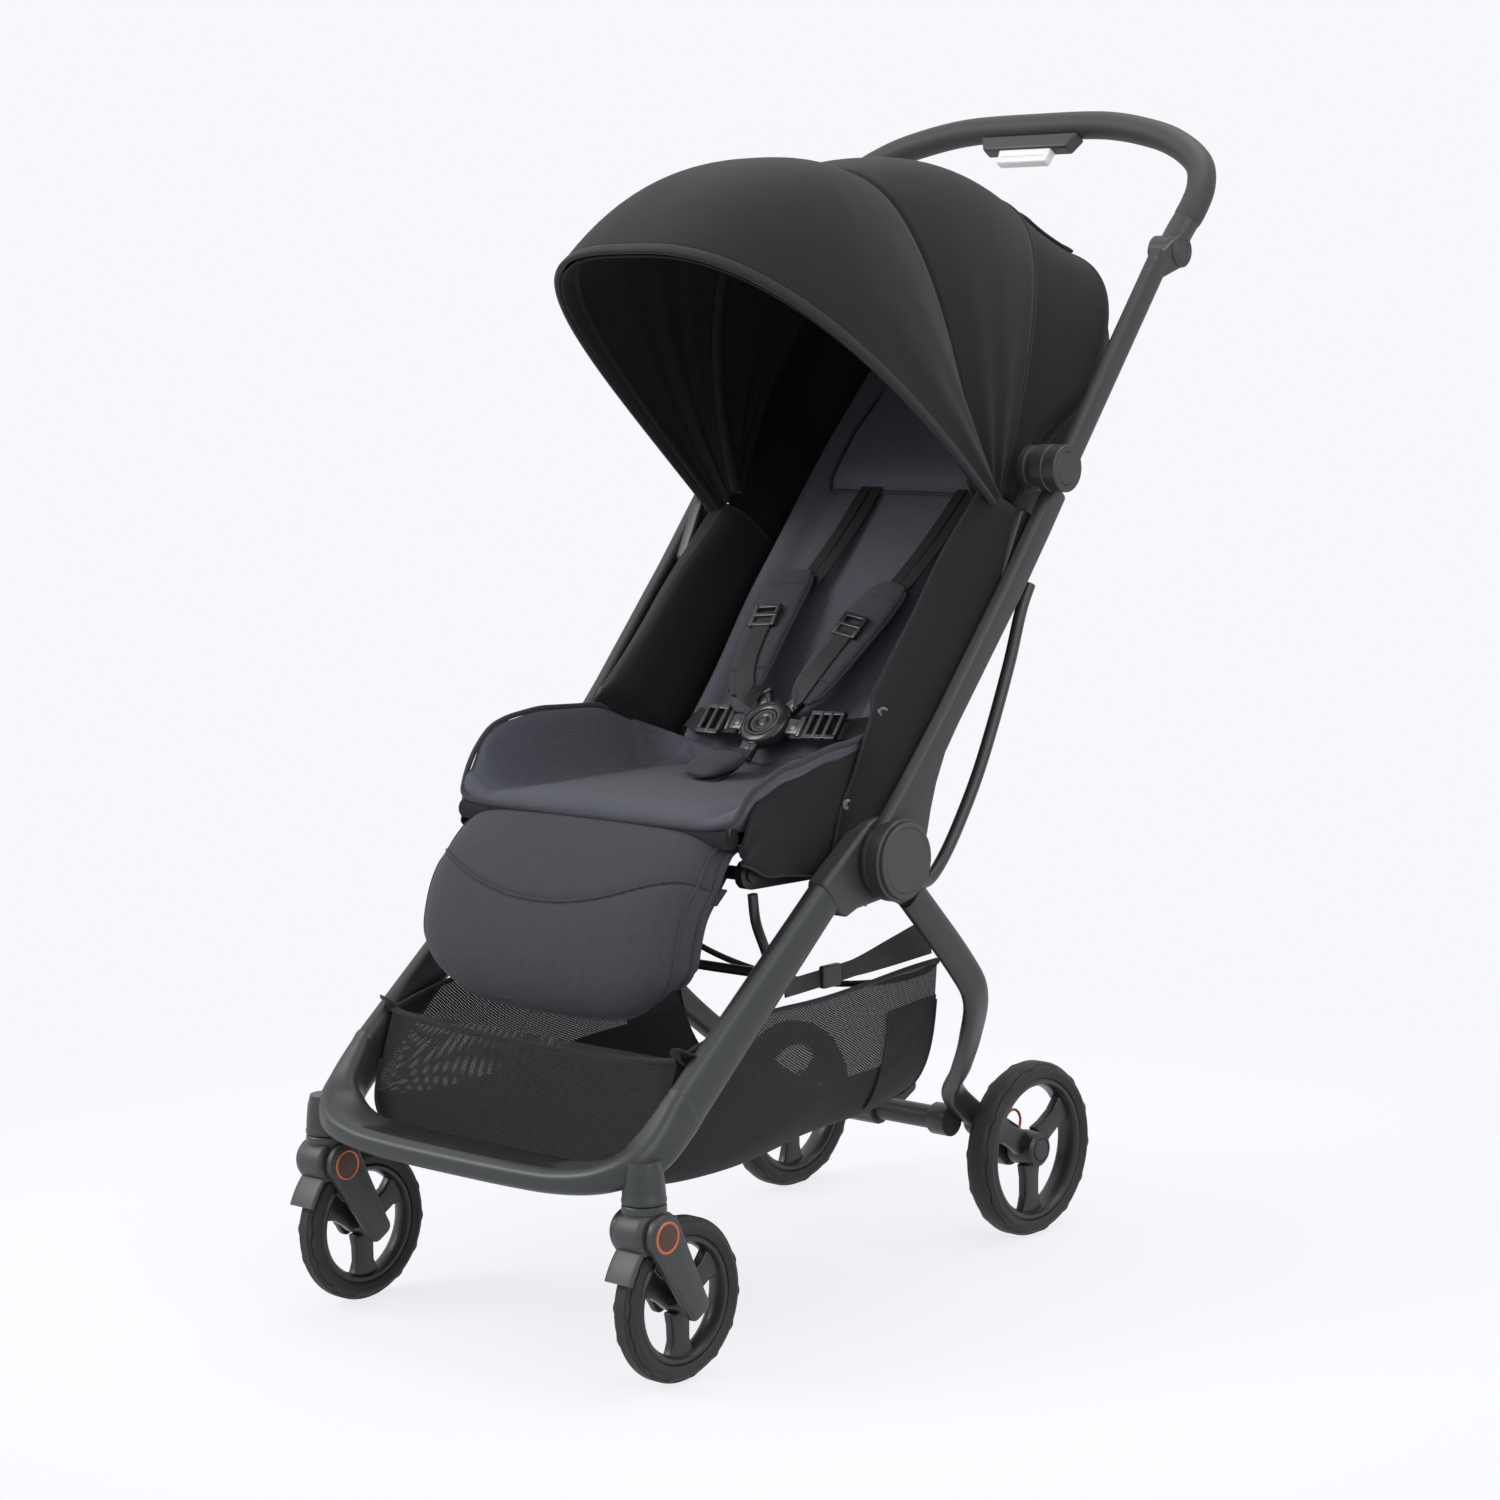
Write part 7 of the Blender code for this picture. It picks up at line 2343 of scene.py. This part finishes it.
        block = Maker.plate(
            "block", link_shape(ends[0], 0.011, ends[1], 0.01), side * 0.1864, side * 0.1994, 0.0024, 4
        )
        bolt = (
            (0.0, 0.185), (0.003, 0.185), (0.0036, 0.1858), (0.0048, 0.1858), (0.0056, 0.185),
            (0.006, 0.1866), (0.0, 0.1866),
        )
        bolts = [Maker.lathe("bolt", bolt, end, 0.0, 32, side) for end in ends]
        mount = Maker.unite(f"canopy_mount_block_{name}", [block, *bolts])
        dress(mount, BLACK_PLASTIC, "push_frame", [f"canopy_mount_{name}"])

    def upper_side(self, name: str, side: int) -> None:
        """Upper tube with its cap disc and knuckle."""
        low = Vector((side * 0.222, *along(PLAN.upper_hub, PLAN.upper_angle, 0.0, -0.0025)))
        high = Vector((side * 0.222, *along(PLAN.upper_hub, PLAN.upper_angle, 0.244, -0.0025)))
        path = [low.lerp(high, i / 12) for i in range(13)]
        parts = [Maker.sweep("tube", path, [oval(0.007, 0.01125, 3.4, 36)], Vector((0, -1, 1)))]
        cap = (
            (0.0, 0.215), (0.0203, 0.215), (0.0215, 0.216), (0.0215, 0.2278), (0.0204, 0.229),
            (0.0158, 0.229), (0.015, 0.2282), (0.0142, 0.229), (0.0, 0.229),
        )
        parts.append(Maker.lathe("cap", cap, PLAN.upper_hub, 0.0, 72, side))
        root = along(PLAN.upper_hub, PLAN.upper_angle, 0.2306, -0.0025)
        lug = link_shape(root, 0.0108, PLAN.knuckle, 0.015)
        parts.append(Maker.plate("lug", lug, side * 0.222, side * 0.2286, 0.0022, 4))
        disc = (
            (0.0, 0.2222), (0.015, 0.2222), (0.0153, 0.223), (0.0153, 0.229), (0.0144, 0.23), (0.0112, 0.23),
            (0.0105, 0.2294), (0.0098, 0.23), (0.0, 0.23),
        )
        parts.append(Maker.lathe("disc", disc, PLAN.knuckle, 0.0, 56, side))
        dress(
            Maker.unite(f"upper_tube_bar_{name}", parts), FRAME_COAT, "handle_frame", [f"upper_tube_{name}"]
        )

    def rear_side(self, name: str, side: int) -> None:
        """Rear leg with its hub eye and wheel block."""
        x, block_x = 0.2072, 0.1315
        high = (x, *along(PLAN.hub, math.radians(-52), self.hub_radius + 0.008))
        route = [
            high, (x, 0.005, 0.295), (x - 0.002, 0.03, 0.26), (x - 0.022, 0.048, 0.218),
            (x - 0.052, 0.072, 0.18), (block_x - 0.008, 0.1, 0.148), (block_x - 0.008, 0.142, 0.112),
        ]
        path = [Vector((side * px, y, z)) for px, y, z in smooth_path(route, 8)]
        last = len(path) - 1
        wide, thick = (0.015, 0.015, 0.0125, 0.0125), (0.0072, 0.0072, 0.008, 0.008)
        sections = [oval(keyed(wide, i / last), keyed(thick, i / last), 3.0, 28) for i in range(last + 1)]
        parts = [Maker.sweep("leg", path, sections, Vector((side, 0, 0)))]
        eye = link_shape(PLAN.hub, 0.0345, high[1:], 0.0128, 26)
        parts.append(Maker.plate("eye", eye, side * 0.2001, side * 0.2069, 0.0016, 3))
        block = link_shape((0.138, 0.115), 0.015, PLAN.rear_axle, 0.02)
        parts.append(Maker.plate("block", block, side * (block_x - 0.016), side * block_x, 0.0036, 4))
        parts.append(Maker.lathe("stub", rod_of(0.0042, 0.129, 0.158), PLAN.rear_axle, 0.0, 24, side))
        barrel = ((0.0, 0.116), (0.015, 0.116), (0.015, 0.097), (0.0142, 0.0958), (0.0, 0.0958))
        parts.append(Maker.lathe("barrel", barrel, (0.108, 0.118), 0.0, 40, side))
        dress(Maker.unite(f"rear_leg_tube_{name}", parts), FRAME_COAT, "rear_frame", [f"rear_leg_{name}"])

    def loop(self) -> None:
        """Bent wire loop under the seat."""
        x = 0.1535
        half = [
            (x, -0.21, 0.3815), (x, -0.206, 0.356), (x - 0.004, -0.188, 0.325), (x - 0.018, -0.17, 0.308),
            (x - 0.05, -0.164, 0.302),
        ]
        path = smooth_path([*half, *[(-px, y, z) for px, y, z in reversed(half)]], 10)
        dress(Maker.tube("support_loop_wire", path, 0.0045, 18), FRAME_COAT, "seat", ["support_loop"])

    def build(self) -> None:
        """Build the whole frame."""
        self.foot_bar()
        for name, side in SIDES:
            self.front_side(name, side)
            self.push_side(name, side)
            self.upper_side(name, side)
            self.rear_side(name, side)
        self.loop()


@dataclass
class Handle:
    """Foam-covered handlebar, trigger housing and fold trigger."""

    grip: float = 0.0135
    keys: tuple[Pair, ...] = (
        (0.215, 0.0), (0.218, 0.0235), (0.223, 0.0475), (0.2226, 0.0725), (0.211, 0.0975), (0.182, 0.1195),
        (0.144, 0.1355), (0.083, 0.1485), (0.0, 0.1505),
    )

    def path(self) -> list[Vector]:
        """Middle line of the bar from the right knuckle to the left one."""
        keys = [*self.keys, *[(-x, rise) for x, rise in reversed(self.keys[:-1])]]
        return spread(smooth_path([PLAN.handle(x, rise) for x, rise in keys], 10), 181)

    def build(self) -> None:
        """Build the bar, its sleeves, the housing and the trigger."""
        path = self.path()
        first = next(i for i, p in enumerate(path) if (p - path[0]).length > 0.03)
        foam = path[first:-first]
        last = len(foam) - 1
        sections = []
        for i in range(last + 1):
            edge = min(i, last - i)
            radius = self.grip - (0.0012 if edge == 0 else 0.0003 if edge == 1 else 0.0)
            sections.append(oval(radius, radius, 2.0, 28))
        bar = Maker.sweep("handlebar_foam", foam, sections, PLAN.handle(0, 0, 1.0) - PLAN.handle(0, 0, 0.0))
        parts = []
        for way, run in ((1, path[: first + 2]), (-1, path[-first - 2 :])):
            parts.append(Maker.tube("sleeve", run, (self.grip - 0.0004, self.grip - 0.0008), 28))
            barrel = (
                (0.0, 0.1995), (0.0135, 0.1995), (0.0148, 0.2006), (0.0148, 0.2204), (0.0138, 0.2214),
                (0.0, 0.2214)
            )
            parts.append(Maker.lathe("barrel", barrel, PLAN.knuckle, 0.0, 40, way))
        dress(bar, WRAP, "handlebar", ["handlebar_grip"], SOFT_ANGLE)
        dress(Maker.unite("handlebar_end_sleeves", parts), PLASTIC, "handlebar")
        rise = PLAN.handle(0, 1.0) - PLAN.handle(0, 0.0)
        lift = PLAN.handle(0, 0, 1.0) - PLAN.handle(0, 0, 0.0)
        axes = Matrix((Vector((1, 0, 0)), lift, -rise)).transposed()
        middle = PLAN.handle(0.0, 0.1505 - self.grip - 0.0012 - 0.007)
        housing = Maker.block("trigger_housing_cover", middle, (0.118, 0.017, 0.0165), axes, 0.003, 4, 0.86)
        dress(housing, PLASTIC, "handlebar", ["trigger_housing"])
        paddle = PLAN.handle(0.0, 0.1505 - self.grip - 0.0012 - 0.0215)
        parts = [Maker.block("paddle", paddle, (0.064, 0.011, 0.017), axes, 0.0026, 4, 0.94)]
        parts.append(Maker.block("ridge", paddle + lift * 0.0048, (0.052, 0.0024, 0.003), axes, 0.0008, 2))
        dress(Maker.unite("fold_trigger_paddle", parts), CLEAR, "fold_trigger", ["fold_trigger"])


@dataclass
class Studio:
    """Floor, world, lamps and camera."""

    white: tuple[float, float, float, float] = (0.93, 0.939, 0.965, 1.0)
    azimuth: float = math.radians(41.561)
    rise: float = math.radians(7.556)
    roll: float = math.radians(-0.94)
    place: tuple[float, float, float] = (2.064, -2.365, 0.887)
    focal_pixels: float = 3444.36
    frame_pixels: float = 1500.0
    sensor: float = 36.0

    def camera(self) -> None:
        """Place the camera where the photograph was taken from."""
        aside = Vector((math.cos(self.azimuth), math.sin(self.azimuth), 0.0))
        level = Vector((-aside.y, aside.x, 0.0))
        ahead = level * math.cos(self.rise) - UP * math.sin(self.rise)
        above = aside.cross(ahead)
        right = aside * math.cos(self.roll) + above * math.sin(self.roll)
        up = above * math.cos(self.roll) - aside * math.sin(self.roll)
        data = bpy.data.cameras.new("camera")
        data.sensor_width = self.sensor
        data.lens = self.focal_pixels / self.frame_pixels * self.sensor
        data.clip_start, data.clip_end = 0.05, 60.0
        camera = bpy.data.objects.new("camera", data)
        bpy.context.scene.collection.objects.link(camera)
        turned = Matrix((right, up, -ahead)).transposed().to_4x4()
        turned.translation = Vector(self.place)
        camera.matrix_world = turned
        bpy.context.scene.camera = camera

    def lamp(
        self, name: str, place: Sequence[float], aim: Sequence[float], size: float, power: float
    ) -> None:
        """A square soft lamp.

        Args:
            name: Lamp name.
            place: Where it stands.
            aim: What it faces.
            size: Side of its face.
            power: Power in watts.
        """
        data = bpy.data.lights.new(name, "AREA")
        data.size = size
        data.energy = power
        lamp = bpy.data.objects.new(name, data)
        bpy.context.scene.collection.objects.link(lamp)
        facing = (Vector(aim) - Vector(place)).normalized()
        lamp.matrix_world = Matrix.Translation(
            Vector(place)
        ) @ facing.to_track_quat("-Z", "Y").to_matrix().to_4x4()

    def world(self) -> None:
        """White to the camera and in gloss, and a plain soft light otherwise."""
        world = bpy.data.worlds.new("studio")
        bpy.context.scene.world = world
        world.use_nodes = True
        w = Wiring(world.node_tree)
        w.tree.nodes.clear()
        rays = w.node("ShaderNodeLightPath")
        seen = w.math("MAXIMUM", rays.outputs["Is Camera Ray"], rays.outputs["Is Glossy Ray"])
        seen = w.math("MAXIMUM", seen, rays.outputs["Is Transmission Ray"])
        place = w.node("ShaderNodeTexCoord").outputs["Generated"]
        up = w.plus(w.times(w.node("ShaderNodeSeparateXYZ", Vector=place).outputs["Z"], 0.5), 0.5, True)
        soft = w.mix(up, (0.22, 0.22, 0.23, 1.0), (0.72, 0.73, 0.75, 1.0))
        sky = w.node("ShaderNodeBackground", Color=w.mix(seen, soft, self.white))
        w.node("ShaderNodeOutputWorld", Surface=sky.outputs[0])

    def floor(self) -> None:
        """Pale floor that fades into the world and keeps a soft shadow."""
        rows = [[Vector((x, y, -0.0004)) for x in np.linspace(-3, 3, 13)] for y in np.linspace(-3, 3, 13)]
        floor = Maker.surface("studio_floor", rows, turn=False)
        made = bpy.data.materials.new("studio_floor")
        made.use_nodes = True
        w = Wiring(made.node_tree)
        w.tree.nodes.clear()
        rays = w.node("ShaderNodeLightPath")
        seen = w.math("MAXIMUM", rays.outputs["Is Camera Ray"], rays.outputs["Is Glossy Ray"])
        paint = w.order("ShaderNodeBsdfDiffuse", (0.8, 0.8, 0.81, 1.0))
        soft = w.order("ShaderNodeBsdfDiffuse", (0.16, 0.16, 0.165, 1.0))
        glow = w.order("ShaderNodeEmission", self.white, 0.84)
        both = w.order("ShaderNodeMixShader", seen, paint, w.order("ShaderNodeAddShader", soft, glow))
        place = w.node("ShaderNodeTexCoord").outputs["Object"]
        length = w.node("ShaderNodeVectorMath", operation="LENGTH")
        w.join(place, length.inputs[0])
        fade = w.node("ShaderNodeMapRange", interpolation_type="SMOOTHSTEP", From_Min=0.55, From_Max=1.3)
        w.join(length.outputs["Value"], fade.inputs["Value"])
        share = w.times(fade.outputs[0], rays.outputs["Is Camera Ray"])
        last = w.order("ShaderNodeMixShader", share, both, w.order("ShaderNodeBsdfTransparent"))
        w.node("ShaderNodeOutputMaterial", Surface=last)
        floor.data.materials.append(made)

    def build(self) -> None:
        """Set up the studio."""
        self.camera()
        self.world()
        self.floor()
        self.lamp("key", (-1.9, -2.3, 2.3), (0.0, -0.05, 0.5), 1.6, 62.0)
        self.lamp("side", (2.6, -0.6, 1.7), (0.0, 0.0, 0.5), 1.8, 22.0)
        self.lamp("top", (0.2, 0.6, 2.9), (0.0, 0.0, 0.6), 1.6, 26.0)
        bpy.context.scene.view_settings.view_transform = "Standard"


NODE_FINISHES: tuple[tuple[str, Finish], ...] = (
    ("tilt_button", BLACK_PLASTIC),
    ("seat_frame", BLACK_PLASTIC),
    ("footrest_panel", BLACK_PLASTIC),
    ("brake_pedal", PLASTIC),
    ("", FRAME_COAT),
)


def finish_nodes() -> None:
    """Give every CAD node that still shows its finish."""
    for name, obj in frame["nodes"].items():
        if obj.hide_render:
            continue
        finish = next(f for prefix, f in NODE_FINISHES if name.startswith(prefix))
        made = finish.material()
        if not obj.material_slots:
            obj.data.materials.append(made)
        for socket in obj.material_slots:
            socket.material = made
        LOG.info("node %s takes %s", name, finish.name)


def main() -> None:
    """Build every sub-assembly in order."""
    logging.basicConfig(level=logging.INFO, format="%(message)s")
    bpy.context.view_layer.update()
    frame_parts = (Studio(), Chassis(), Handle(), Caster())
    soft_parts = (
        Canopy(), SeatCushion(), BackCushion(), SideWall(), Skirt(), Harness(), FootrestCushion(), Basket()
    )
    for part in (*frame_parts, *soft_parts):
        LOG.info("building %s", type(part).__name__)
        part.build()
    finish_nodes()


if __name__ == "__main__":
    main()
